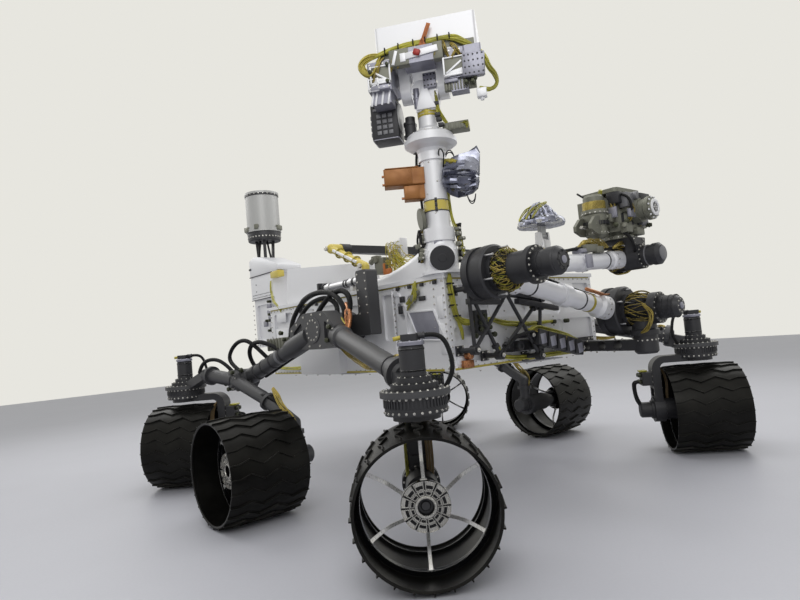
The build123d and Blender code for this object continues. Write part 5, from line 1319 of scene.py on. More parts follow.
@dataclass
class Chassis:
    """The body's bolts, seams, painted strips and the harnesses on its walls."""

    front: float = 850.0
    rear: float = -850.0
    half_width: float = 600.0
    low: float = 650.0
    high: float = 1080.0
    top: float = 1100.0

    def build(self) -> None:
        """Make the walls' bolts, the front harness, the side harness and the belly fittings."""
        self._wall_bolts()
        self._pocket()
        self._seams()
        self._front_harness()
        self._side_harness()
        self._belly()

    def _pocket(self) -> None:
        """Shade the deep starboard pocket, and stand its sloping rib and edge plates on the wall."""
        wall = -601.2
        shade = Form()
        corners = [(584, 942), (766, 936), (824, 796), (642, 806)]
        shade.plate([at(x, wall, z) for x, z in corners], Vector((0.0, -0.0012, 0.0)), 0.0)
        shade.keep("pocket_shade", MACHINED_GREY, HULL)
        rim = Form()
        for (x0, z0), (x1, z1), wide in (
            ((508, 1060), (584, 942), 0.009), ((584, 942), (642, 806), 0.009), ((584, 944), (768, 938), 0.010),
            ((766, 938), (828, 792), 0.009), ((640, 804), (828, 794), 0.008), ((470, 1062), (470, 700), 0.006)
        ):
            a, b = at(x0, wall, z0), at(x1, wall, z1)
            line = (b - a).normalized()
            turn = Matrix((line, PORT, line.cross(PORT))).transposed()
            rim.box(a.lerp(b, 0.5), ((b - a).length, 0.012, wide), turn, 0.002)
        rim.keep("pocket_ribs", WHITE_PAINT, HULL)
        lime = Loom(3)
        for n in range(2):
            lime.bundle(
                0.0026, 4, 0.008, 60 + n, at(646 + 6 * n, -606, 1084), at(656 + 6 * n, -618, 1060),
                at(672 - 6 * n, -620, 1026), at(648, -618, 996), at(610 + 6 * n, -614, 984),
                at(584, -606, 966 - 10 * n)
            )
        lime.keep("pocket_harness", LIME_WRAP, HULL)
        clip = Form()
        clip.bar(at(640, -602, 1006), at(640, -622, 1006), 0.020, 0.018, 24, 0.002)
        clip.bar(at(668, -602, 1030), at(668, -618, 1030), 0.014, 0.012, 20, 0.002)
        clip.keep("pocket_clips", OLIVE_METAL, HULL)

    def _wall_bolts(self) -> None:
        """Stand rows of bolts round the pockets of all four walls."""
        steel = Form()
        for side in (-1, 1):
            out = Vector((0.0, side, 0.0))
            wall = side * (self.half_width + 0.4)
            rows = [
                ((482, 1064), (473, 815), 9), ((775, 1036), (764, 820), 7), ((-838, 1066), (-838, 668), 13),
                ((838, 1066), (838, 668), 13), ((-300, 1064), (-300, 980), 4), ((-560, 1064), (-560, 980), 4),
                ((-830, 662), (-330, 662), 14), ((100, 662), (830, 662), 18), ((500, 1068), (830, 1068), 10),
                ((-830, 1068), (-200, 1068), 16)
            ]
            for line in rows:
                steel.bolts([at(x, wall, z) for x, z in row(*line)], out, *WALL_BOLT)
        for face, out in ((self.front + 0.4, AHEAD), (self.rear - 0.4, -AHEAD)):
            rows = [
                ((-585, 1066), (-585, 668), 14), ((585, 1066), (585, 668), 14), ((-560, 1068), (560, 1068), 26),
                ((-560, 662), (560, 662), 26), ((-440, 1050), (-440, 680), 9), ((-200, 1050), (-200, 680), 9),
                ((200, 1050), (200, 680), 9)
            ]
            for line in rows:
                steel.bolts([at(face, y, z) for y, z in row(*line)], out, 0.0030, 0.0035)
        edge = []
        for n in range(30):
            edge.append(at(-830 + n * 57, -590, self.top + 0.4))
            edge.append(at(-830 + n * 57, 590, self.top + 0.4))
        for n in range(20):
            edge.append(at(-838, -570 + n * 60, self.top + 0.4))
            edge.append(at(838, -570 + n * 60, self.top + 0.4))
        steel.bolts(edge, UP, 0.0034, 0.0035)
        steel.keep("chassis_bolts", BRIGHT_STEEL, HULL)

    def _seams(self) -> None:
        """Lay the yellow strips along the walls' edges, and the small raised plates."""
        strips = Form()
        for side in (-1, 1):
            wall = side * (self.half_width + 1.0)
            strips.box(at(-20, wall, self.high - 3), (1.64, 0.004, 0.007), bevel=0.001)
            strips.box(at(-20, wall, self.low + 6), (1.64, 0.004, 0.010), bevel=0.001)
        strips.box(at(self.front + 1.0, 0, self.high - 3), (0.004, 1.16, 0.007), bevel=0.001)
        strips.box(at(self.front + 1.0, 0, self.low + 6), (0.004, 1.16, 0.010), bevel=0.001)
        strips.box(at(self.rear - 1.0, 0, self.high - 3), (0.004, 1.16, 0.007), bevel=0.001)
        strips.keep("chassis_seam_strips", YELLOW_TAPE, HULL)
        plates = Form()
        for side in (-1, 1):
            wall = side * (self.half_width + 1.5)
            for x, z, w, h in (
                (500, 1052, 0.030, 0.046), (812, 945, 0.040, 0.100), (812, 800, 0.040, 0.140),
                (-330, 700, 0.050, 0.060), (-700, 1020, 0.120, 0.060), (-700, 860, 0.160, 0.180)
            ):
                plates.box(at(x, wall, z), (w, 0.006, h), bevel=0.0015)
        for y, z, w, h in (
            (-520, 720, 0.090, 0.090), (-320, 1000, 0.120, 0.090), (330, 1010, 0.160, 0.070),
            (-540, 990, 0.050, 0.120)
        ):
            plates.box(at(self.front + 1.5, y, z), (0.006, w, h), bevel=0.0015)
        plates.keep("chassis_plates", WHITE_PAINT, HULL)

    def _front_harness(self) -> None:
        """Lead the yellow-green harness down the front wall from the deck to the stow frame's box."""
        x = self.front + 11
        lime = Loom()
        lime.bundle(
            0.0050, 6, 0.010, 5, at(x + 6, -582, 1094), at(x, -578, 1060), at(x, -573, 1010),
            at(x + 2, -566, 930), at(x, -545, 884), at(x + 2, -505, 868), at(x + 4, -462, 866),
            at(x + 12, -430, 870)
        )
        lime.bundle(0.0045, 3, 0.006, 6, at(x, -548, 884), at(x, -532, 850), at(x, -526, 822), at(x, -524, 790))
        lime.bundle(
            0.0045, 4, 0.009, 8, at(x + 8, -420, 866), at(x + 4, -330, 880), at(x + 2, -240, 850),
            at(x + 2, -120, 840), at(x, 20, 835), at(x, 180, 840)
        )
        lime.bundle(
            0.0045, 4, 0.008, 9, at(x, -330, 700), at(x + 6, -180, 672), at(x + 4, 0, 668), at(x + 6, 200, 664),
            at(x, 420, 668)
        )
        lime.keep("front_harness", LIME_WRAP, HULL)
        ties = Form()
        for y, z in ((-577, 1050), (-573, 1000), (-568, 950), (-552, 900), (-490, 868)):
            ties.box(at(x + 3, y, z), (0.022, 0.034, 0.008), bevel=0.002)
        ties.keep("front_harness_ties", BLACK_SLEEVE, HULL)
        plugs = Form()
        for y, z in (
            (-430, 890), (-430, 860), (-430, 830), (-400, 890), (-400, 860), (-400, 830), (-470, 800),
            (-340, 800)
        ):
            foot = at(self.front + 42, y, z)
            plugs.plug(foot, AHEAD, (-0.012, 0.012), (0.001, 0.007), 0.0115, 0.0105, 0.0135)
        for y in (-340, -120, 40, 180, 300):
            foot = at(self.front + 2, y, 836)
            plugs.bar(foot, foot + Vector((0.026, 0, 0)), 0.012, 0.011, 18, 0.001)
        plugs.keep("front_plugs", GREEN_CONNECTOR, HULL)
        yellow = Form()
        for y, z in ((-300, 712), (-318, 730), (60, 716), (90, 742), (230, 700)):
            yellow.bar(at(x + 14, y, z), at(x + 34, y + 6, z + 4), 0.011, 0.010, 16, 0.001)
        yellow.keep("front_caps", LIME_WRAP, HULL)
        box = Form()
        box.box(at(self.front + 21, -415, 860), (0.040, 0.085, 0.120), bevel=0.003)
        box.ring_of_bolts(at(self.front + 41, -415, 860), AHEAD, 0.052, 8, *SCREW)
        box.keep("front_plug_box", BLACK_ANODISED, HULL)
        silver = Form()
        silver.bar(at(self.front + 8, -505, 715), at(self.front + 36, -505, 715), 0.022, 0.020, 24, 0.002)
        silver.box(at(self.front + 10, -506, 674), (0.018, 0.070, 0.036), bevel=0.002)
        silver.keep("front_stop", COPPER_TAPE, HULL)

    def _side_harness(self) -> None:
        """Lead the bundles and put the small fittings on both side walls."""
        lime = Loom()
        for side in (-1, 1):
            wall = side * (self.half_width + 9)
            lime.bundle(
                0.0045, 4, 0.008, 21, at(664, wall, 1088), at(656, wall, 1060), at(640, wall, 1030),
                at(616, wall, 1000), at(585, wall, 985)
            )
            lime.bundle(
                0.0040, 4, 0.008, 22, at(-820, wall, 700), at(-700, wall, 690), at(-560, wall + side * 4, 684),
                at(-420, wall, 690), at(-350, wall, 712)
            )
        lime.keep("side_harness", LIME_WRAP, HULL)
        black = Form()
        for side in (-1, 1):
            wall = side * (self.half_width + 6)
            black.box(at(550, wall, 1010), (0.030, 0.014, 0.030), bevel=0.003)
            black.box(at(530, wall, 960), (0.024, 0.014, 0.040), bevel=0.003)
            black.box(at(696, wall, 1000), (0.040, 0.012, 0.022), bevel=0.003)
            for x, z in ((520, 1066), (610, 1066), (700, 1066), (790, 1066), (-250, 1066), (-400, 1066)):
                black.box(at(x, wall, z), (0.020, 0.012, 0.018), bevel=0.002)
        black.keep("side_fittings", BLACK_ANODISED, HULL)

    def _belly(self) -> None:
        """Make the belly pan's bolts and cover plates."""
        plates = Form()
        for x, y, w, h in (
            (-400, -200, 0.5, 0.4), (-400, 260, 0.5, 0.36), (300, 0, 0.44, 0.62), (650, 260, 0.18, 0.3)
        ):
            plates.box(at(x, y, 627.5), (w, h, 0.006), bevel=0.002)
        plates.keep("belly_covers", BARE_ALUMINIUM, HULL)
        steel = Form()
        places = []
        for x in (-780, -640, -500, -360, -220, -80, 60, 200, 340, 480, 620, 760):
            places += [at(x, -480, 630), at(x, 480, 630)]
        for y in (-360, -240, -120, 0, 120, 240, 360):
            places += [at(-800, y, 630), at(800, y, 630)]
        steel.bolts(places, -UP, *DECK_BOLT)
        steel.keep("belly_bolts", BRIGHT_STEEL, HULL)


@dataclass
class Deck:
    """The fittings of the deck, its long case, its silver tube and the differential."""

    top: float = 1100.0
    half_width: float = 600.0
    rail: tuple[float, float] = (-597.0, 1150.0)
    bosses: tuple[tuple[float, float], ...] = ((560.0, -60.0), (-640.0, 470.0), (-640.0, -200.0))

    def build(self) -> None:
        """Make the deck's pieces."""
        self._cables()
        self._plates()
        self._bosses()
        self._case()
        self._differential()

    def _cables(self) -> None:
        """Lead the black cables and the harness across the deck, under clamps."""
        black = Loom(5)
        z = self.top + 9
        for n in range(4):
            offset = n * 14
            black.run(
                0.006, at(760, -300 + offset, z), at(560 + offset, -330 + offset, z),
                at(380 + offset, -300 + offset, z), at(320 + offset, -60, z), at(330 + offset, 120, z),
                at(430, 250 + offset, z), at(560, 330 + offset, z)
            )
        black.run(
            0.009, at(-560, 250, z + 2), at(-420, 200, z + 2), at(-300, 60, z + 2), at(-150, -40, z + 2),
            at(20, -60, z + 2), **RIDGES
        )
        black.run(
            0.009, at(-820, -420, z + 2), at(-640, -330, z + 2), at(-420, -300, z + 2), at(-240, -330, z + 2),
            **RIDGES
        )
        black.keep("deck_cables", BLACK_SLEEVE, HULL)
        lime = Loom()
        lime.bundle(
            0.004, 5, 0.010, 31, at(790, -420, z), at(680, -300, z), at(620, -120, z), at(640, 60, z),
            at(700, 200, z), at(780, 300, z)
        )
        lime.bundle(
            0.004, 5, 0.010, 32, at(-100, 500, z), at(100, 520, z), at(300, 500, z), at(460, 520, z),
            at(560, 520, z)
        )
        lime.keep("deck_harness", LIME_WRAP, HULL)
        clamps = Form()
        for x, y in (
            (700, -314), (480, -310), (345, -170), (350, 60), (500, 300), (-480, 220), (-220, 20), (-700, -355),
            (-420, -300)
        ):
            clamps.box(at(x, y, z + 1), (0.050, 0.050, 0.016), bevel=0.004)
        clamps.keep("deck_clamps", BARE_ALUMINIUM, HULL)

    def _plates(self) -> None:
        """Lay bolted cover plates on the deck, and small boxes with their plugs."""
        plates = Form()
        steel = Form()
        for x, y, w, d, h in (
            (-300, 380, 0.260, 0.200, 0.008), (-80, 250, 0.180, 0.260, 0.008), (440, 30, 0.150, 0.180, 0.008),
            (-420, -80, 0.220, 0.180, 0.008), (160, -180, 0.200, 0.160, 0.008), (700, 430, 0.150, 0.200, 0.008),
            (-700, 180, 0.160, 0.160, 0.008)
        ):
            plates.box(at(x, y, self.top + 1000 * h / 2), (w, d, h), bevel=0.002)
            corners = [
                at(x + sx * (w * 500 - 12), y + sy * (d * 500 - 12), self.top + 1000 * h) for sx in (-1, 0, 1)
                for sy in (-1, 0, 1) if sx or sy
            ]
            steel.bolts(corners, UP, *DECK_BOLT)
        plates.keep("deck_plates", WHITE_PAINT, HULL)
        boxes = Form()
        for x, y, w, d, h in (
            (-60, 470, 0.110, 0.080, 0.060), (240, 380, 0.140, 0.110, 0.075), (-500, -180, 0.090, 0.120, 0.055)
        ):
            boxes.box(at(x, y, self.top + 500 * h), (w, d, h), bevel=0.005)
            boxes.box(at(x, y, self.top + 1000 * h + 2), (w * 0.7, d * 0.6, 0.006), bevel=0.002)
        boxes.keep("deck_boxes", WHITE_PAINT, HULL)
        plugs = Form()
        for x, y, z in ((-4, 470, 34), (312, 380, 40), (312, 350, 40), (312, 410, 40), (-454, -180, 30)):
            foot = at(x, y, self.top + z)
            plugs.plug(foot, AHEAD, (0.0, 0.024), (0.008, 0.015), 0.012, 0.011, 0.014)
        plugs.keep("deck_plugs", GREEN_CONNECTOR, HULL)
        steel.keep("deck_plate_bolts", BRIGHT_STEEL, HULL)

    def _bosses(self) -> None:
        """Put bolts on the hoisting bosses."""
        steel = Form()
        for x, y in self.bosses:
            steel.ring_of_bolts(at(x, y, self.top + 16), UP, 0.028, 6, *DECK_BOLT)
        steel.keep("hoist_bolts", BRIGHT_STEEL, HULL)

    def _case(self) -> None:
        """Bolt the long case, dress its front end with boxes and loose wires, and band the silver tube."""
        side = -self.half_width + 105
        white = Form()
        white.box(at(360, -450, 1300), (0.108, 0.040, 0.090), bevel=0.004)
        white.box(at(418, -452, 1302), (0.008, 0.050, 0.100), bevel=0.002)
        white.keep("deck_end_box", WHITE_PAINT, HULL)
        steel = Form()
        for n in range(16):
            steel.bolts([at(-430 + n * 52, side - 0.5, 1250)], -PORT, 0.003, 0.0035)
        for n in range(14):
            steel.bolts([at(-430 + n * 60, side - 0.5, 1120)], -PORT, 0.003, 0.0035)
        steel.keep("deck_case_bolts", BRIGHT_STEEL, HULL)
        bright = Loom(3)
        amber = Loom(3)
        lime = Loom(3)
        chance = random.Random(77)
        for n in range(54):
            x0, z0 = 300 + chance.uniform(0, 150), 1170 + chance.uniform(0, 170)
            x1, z1 = 300 + chance.uniform(20, 270), 1120 + chance.uniform(0, 110)
            away = chance.uniform(-528, -496)
            route = (
                at(x0, -470, z0), at(x0 + (x1 - x0) * 0.3, away, z0 + chance.uniform(-10, 26)),
                at(x0 + (x1 - x0) * 0.7, away + 6, z1 + chance.uniform(10, 46)),
                at(x1, -478 + chance.uniform(0, 60), z1)
            )
            (bright, amber, lime)[n % 3].run(0.0016 + 0.0010 * chance.random(), *route)
        bright.keep("deck_gold_wires", GOLD_WIRE, HULL)
        amber.keep("deck_amber_wires", YELLOW_TAPE, HULL)
        lime.keep("deck_lime_wires", LIME_WRAP, HULL)
        flag = Form()
        flag.box(at(356, -524, 1180), (0.060, 0.005, 0.030), None, 0.001)
        flag.box(at(330, -526, 1196), (0.016, 0.005, 0.060), None, 0.001)
        flag.keep("deck_orange_flag", ORANGE_STRAP, HULL)
        dark = Form()
        dark.box(at(262, -478, 1222), (0.080, 0.060, 0.090), None, 0.006)
        dark.box(at(236, -500, 1262), (0.050, 0.040, 0.040), None, 0.005)
        dark.bar(at(196, -510, 1250), at(232, -510, 1262), 0.016, 0.015, 20, 0.002)
        dark.keep("deck_dark_boxes", OLIVE_METAL, HULL)
        screw = Form()
        screw.ring_of_bolts(at(362, -470.5, 1322), -PORT, 0.014, 3, 0.004, 0.004)
        screw.bolts(
            [at(330, -470.5, 1336), at(394, -470.5, 1336), at(330, -470.5, 1270), at(394, -470.5, 1270)], -PORT,
            *BOLT
        )
        screw.keep("deck_box_screws", BRIGHT_STEEL, HULL)
        end = Form()
        end.turned(at(-160, *self.rail), AHEAD, [(0, 0.0), (0, 0.030), (0.018, 0.030), (0.018, 0.0215)], 6)
        end.turned(at(150, *self.rail), AHEAD, [(0, 0.0212), (0, 0.0245), (0.062, 0.0245), (0.062, 0.0212)], 36)
        end.box(at(-178, *self.rail), (0.022, 0.070, 0.066), None, 0.004)
        end.keep("deck_rail_ends", BLACK_ANODISED, HULL)
        bands = Form()
        for x in (60, 86):
            bands.band(at(x, *self.rail), AHEAD, 0.0212, 0.0235, 0.011, 36)
        bands.keep("deck_rail_bands", BLACK_ANODISED, HULL)

    def _differential(self) -> None:
        """Make the differential's hub bolts, its tape bands and the links' wrapped joints."""
        steel = Form()
        steel.ring_of_bolts(at(100, 0, 1384), UP, 0.068, 12, 0.004, 0.005)
        steel.keep("differential_bolts", BRIGHT_STEEL, HULL)
        tape = Form()
        ties = Form()
        for side in (-1, 1):
            start, end = at(100, side * 700, 1340), at(395, side * 700, 1202)
            line = (end - start).normalized()
            turn = Matrix((line, PORT, line.cross(PORT))).transposed()
            middle = start.lerp(end, 0.5)
            tape.box(
                middle + line.cross(PORT) * 0.004, ((end - start).length - 0.10, 0.056, 0.014), turn, 0.003
            )
            for share in (0.26, 0.5, 0.74):
                ties.band(start.lerp(end, share), line, 0.0215, 0.0295, 0.006, 28)
        tape.keep("link_tape", WHITE_PAINT, HULL)
        ties.keep("link_ties", YELLOW_TAPE, HULL)
        nuts = Form()
        for side in (-1, 1):
            for x, z in ((100, 1340), (395, 1202)):
                spot = at(x, side * 730, z)
                nuts.bar(spot, spot + Vector((0, side * 0.012, 0)), 0.013, None, 6, 0.001)
        nuts.keep("link_nuts", BRIGHT_STEEL, HULL)


@dataclass
class Mast:
    """The mast's hinge cap, bands, foil boom, cover, cables, flanks and bolts."""

    x: float = 804.0
    y: float = -559.0
    flange: float = 1738.0
    tube: float = 58.0

    def p(self, ahead: float, left: float, z: float) -> Vector:
        """Return a point counted from the mast's axis along the rover's own axes."""
        return at(self.x + ahead, self.y + left, z)

    def build(self) -> None:
        """Make the mast's pieces."""
        self._bands()
        self._foil_boom()
        self._cover()
        self._cables()
        self._bolts()

    def _bands(self) -> None:
        """Wrap the amber band and the dark straps round the tube, with their buckles."""
        foot = self.p(0, 0, 0)
        amber = Form()
        amber.turned(
            foot + UP * 1.398, UP,
            [
                (0, 0.0575), (0.0008, 0.0592), (0.012, 0.0596), (0.024, 0.0590), (0.036, 0.0596),
                (0.046, 0.0590), (0.047, 0.0575)
            ], 64
        )
        amber.keep("mast_amber_band", AMBER_FILM, HULL)
        dark = Form()
        for low, high, extra in ((1.3935, 1.3980, 0.0026), (1.4452, 1.4492, 0.0022), (1.700, 1.706, 0.0016)):
            dark.band(foot + UP * low, UP, 0.0572, 0.058 + extra, high - low, 64, 0.0006)
        for z in (1.400, 1.422, 1.444):
            dark.box(
                foot + Vector((0.043, -0.043, z)), (0.012, 0.012, 0.020), Matrix.Rotation(-math.pi / 4, 3, "Z"),
                0.002
            )
        dark.keep("mast_straps", BLACK_ANODISED, HULL)

    def _foil_boom(self) -> None:
        """Crumple foil over the forward boom, with tape on its top and a dark end."""
        line = Vector((0.78, 0.62, -0.10)).normalized()
        start = self.p(0, 0, 1560)
        foil = Form()
        outline = [
            (0.046, 0.046), (0.056, 0.066), (0.086, 0.078), (0.118, 0.083), (0.150, 0.080), (0.180, 0.072),
            (0.204, 0.056), (0.212, 0.018)
        ]
        foil.turned(start, line, outline, 44)
        chance = random.Random(41)
        pleats = [chance.uniform(-0.010, 0.010) for _ in range(44)]
        level = line.cross(UP).normalized()
        across = level.cross(line).normalized()
        tip = start + line * 0.190 + UP * 0.085
        for vert in foil.mesh.verts:
            away = vert.co - start
            along = away.dot(line)
            out = away - line * along
            angle = math.atan2(out.dot(across), out.dot(level))
            fold = pleats[int((angle / math.tau + 0.5) * 44) % 44]
            twist = math.sin(angle * 3.0 + along * 46.0) * 0.006 + math.sin(angle * 5.0 - along * 30.0) * 0.004
            vert.co += out.normalized() * (fold + twist)
            near = max(0.0, 1.0 - (vert.co - tip).length / 0.11)
            vert.co += (UP * 0.070 + line * 0.030) * near * near
        crumple(foil, 0.0045, 42)
        foil.keep("boom_foil", SILVER_FOIL, HULL, smooth=14.0)
        tape = Form()
        side = line.cross(UP).normalized()
        over = side.cross(line).normalized()
        for share, away in ((0.078, 0.55), (0.100, 0.75), (0.092, 0.35), (0.062, -1.5)):
            out = (over + side * away).normalized()
            centre = start + line * share + out * 0.082
            turn = Matrix((line, out.cross(line), out)).transposed()
            tape.box(centre, (0.022, 0.050, 0.010), turn @ Matrix.Rotation(away, 3, "Z"), 0.002)
        tape.keep("boom_tape", YELLOW_TAPE, HULL)
        ties = Loom(3)
        for lift in (0.0, 0.010):
            ties.run(
                0.0028, start + line * 0.060 + UP * 0.080, start + line * 0.066 + UP * (0.118 + lift),
                start + line * 0.100 + UP * (0.126 + lift), start + line * 0.108 + UP * 0.092
            )
            ties.run(
                0.0028, start + line * 0.150 - UP * 0.084, start + line * 0.156 - UP * (0.116 + lift),
                start + line * 0.184 - UP * (0.116 + lift), start + line * 0.190 - UP * 0.080
            )
        ties.keep("boom_ties", BLACK_ANODISED, HULL)

    def _cover(self) -> None:
        """Hang the orange cover's stiff flaps on the rear boom, with its lugs."""
        line = Vector((-0.64, -0.77, 0.0)).normalized()
        side = Vector((-line.y, line.x, 0.0))
        turn = Matrix((line, side, UP)).transposed()
        start = self.p(0, 0, 0)
        flap = Form()
        flap.box(start + line * 0.168 + side * 0.0415 + UP * 1.571, (0.128, 0.005, 0.074), turn, 0.002)
        flap.box(start + line * 0.168 - side * 0.0415 + UP * 1.571, (0.128, 0.005, 0.074), turn, 0.002)
        flap.box(start + line * 0.150 + UP * 1.614, (0.160, 0.080, 0.005), turn, 0.002)
        flap.box(start + line * 0.110 + side * 0.033 + UP * 1.496, (0.070, 0.005, 0.062), turn, 0.002)
        flap.keep("boom_cover_flaps", ORANGE_COVER, HULL)
        lugs = Form()
        for share, z in ((0.226, 1.588), (0.226, 1.548), (0.140, 1.476)):
            spot = start + line * share + UP * z
            lugs.bar(spot, spot + line * 0.020, 0.006, 0.006, 14, 0.001)
        lugs.keep("boom_cover_lugs", COPPER_TAPE, HULL)

    def _cables(self) -> None:
        """Lead the harness and the black cable down the tube, and loop a wire beside the foil boom."""
        lime = Loom()
        lime.bundle(
            0.0026, 4, 0.006, 51, self.p(58, 26, 1640), self.p(60, 24, 1580), self.p(56, 30, 1520),
            self.p(44, 44, 1440), self.p(46, 48, 1360), self.p(60, 62, 1300), self.p(74, 70, 1240),
            self.p(78, 76, 1180), self.p(60, 90, 1120)
        )
        lime.keep("mast_harness", LIME_WRAP, HULL)
        black = Loom(5)
        black.run(
            0.006, self.p(-48, -44, 1712), self.p(-60, -50, 1660), self.p(-58, -48, 1560),
            self.p(-52, -44, 1460), self.p(-50, -44, 1340), self.p(-56, -40, 1270), self.p(-66, -36, 1220),
            **FINE_RIDGES
        )
        black.run(
            0.0032, self.p(60, 10, 1602), self.p(86, -10, 1622), self.p(104, -24, 1650), self.p(92, -30, 1676),
            self.p(68, -24, 1668), self.p(58, -10, 1640)
        )
        black.keep("mast_cable", BLACK_SLEEVE, HULL)
        ties = Form()
        for z in (1690, 1630, 1530, 1400, 1330):
            ties.box(self.p(-55, -45, z), (0.024, 0.024, 0.006), bevel=0.002)
        ties.keep("mast_ties", BLACK_ANODISED, HULL)
        self._flanks()

    def _flanks(self) -> None:
        """Hang dark harness and small boxes at both flanks of the foot, and the latch disc behind it."""
        chance = random.Random(58)
        black = Loom(5)
        gold = Loom(3)
        boxes = Form()
        steel = Form()
        for reach, low, high in ((94, 1150, 1335), (-88, 1165, 1318)):
            x, y = 0.644 * reach, 0.765 * reach
            for n in range(7):
                drift = [chance.uniform(-15, 15) for _ in range(5)]
                route = [
                    self.p(x + drift[k], y + drift[(k + 2) % 5], low + (high - low) * k / 4) for k in range(5)
                ]
                (black if n % 3 else gold).run(0.0052 if n % 3 else 0.0030, *route)
            for n in range(7):
                z = low + 18 + (high - low - 20) * n / 7
                spot = self.p(x + chance.uniform(-10, 14), y + chance.uniform(-14, 14), z)
                boxes.box(
                    spot, (0.030, 0.026, 0.016 + 0.006 * (n % 2)),
                    Matrix.Rotation(chance.uniform(0, 3), 3, "Z"), 0.003
                )
                steel.bar(spot + Vector((0.016, -0.006, 0)), spot + Vector((0.021, -0.008, 0)), 0.006, 0.005, 6)
        black.keep("mast_flank_cables", BLACK_SLEEVE, HULL)
        gold.keep("mast_flank_wires", GOLD_WIRE, HULL)
        boxes.keep("mast_flank_boxes", OLIVE_METAL, HULL)
        steel.keep("mast_flank_nuts", BRIGHT_STEEL, HULL)
        disc = Form()
        middle = self.p(-40, -54, 1368)
        aim = Vector((-0.45, -0.80, -0.10)).normalized()
        disc.turned(middle, aim, [(0.0, 0.0), (0.0, 0.050), (0.014, 0.054), (0.018, 0.050), (0.018, 0.0)], 44)
        disc.keep("mast_latch_disc", OLIVE_METAL, HULL)

    def _bolts(self) -> None:
        """Bolt the flange and the tube, cap the hinge, and put the blank plate on the foot."""
        steel = Form()
        foot = self.p(0, 0, 0)
        steel.ring_of_bolts(foot + UP * (self.flange - 19.5) / 1000, -UP, 0.108, 20, *DECK_BOLT)
        steel.radial_bolts(foot + UP * 1.690, UP, self.tube / 1000, 10, *BOLT)
        steel.radial_bolts(foot + UP * 1.400, UP, self.tube / 1000, 8, 0.0026, 0.003)
        hinge = Vector((0.74, -0.66, -0.12)).normalized()
        centre = self.p(0, 0, 1178)
        for number in range(22):
            height = 1.31 + 0.0185 * number
            angle = 2.1 + 2.4 * number
            out = Vector((math.cos(angle), math.sin(angle), 0.0))
            steel.bolts([foot + UP * height + out * 0.058], out, 0.0028, 0.003)
        steel.keep("mast_bolts", BRIGHT_STEEL, HULL)
        disc = Form()
        disc.turned(
            centre + hinge * 0.080, hinge,
            [
                (0.016, 0.0), (0.016, 0.053), (0.0235, 0.057), (0.0265, 0.054), (0.0265, 0.020),
                (0.0280, 0.018), (0.0280, 0.0)
            ], 60
        )
        disc.keep("mast_hinge_cap", BLACK_ANODISED, HULL)
        plate = Form()
        across = hinge.cross(UP).normalized()
        turn = Matrix((across, across.cross(hinge).normalized(), hinge)).transposed()
        plate.box(centre + hinge * 0.066 + UP * 0.074 + across * 0.01, (0.040, 0.016, 0.004), turn, 0.001)
        plate.keep("mast_plate", MACHINED_GREY, HULL)


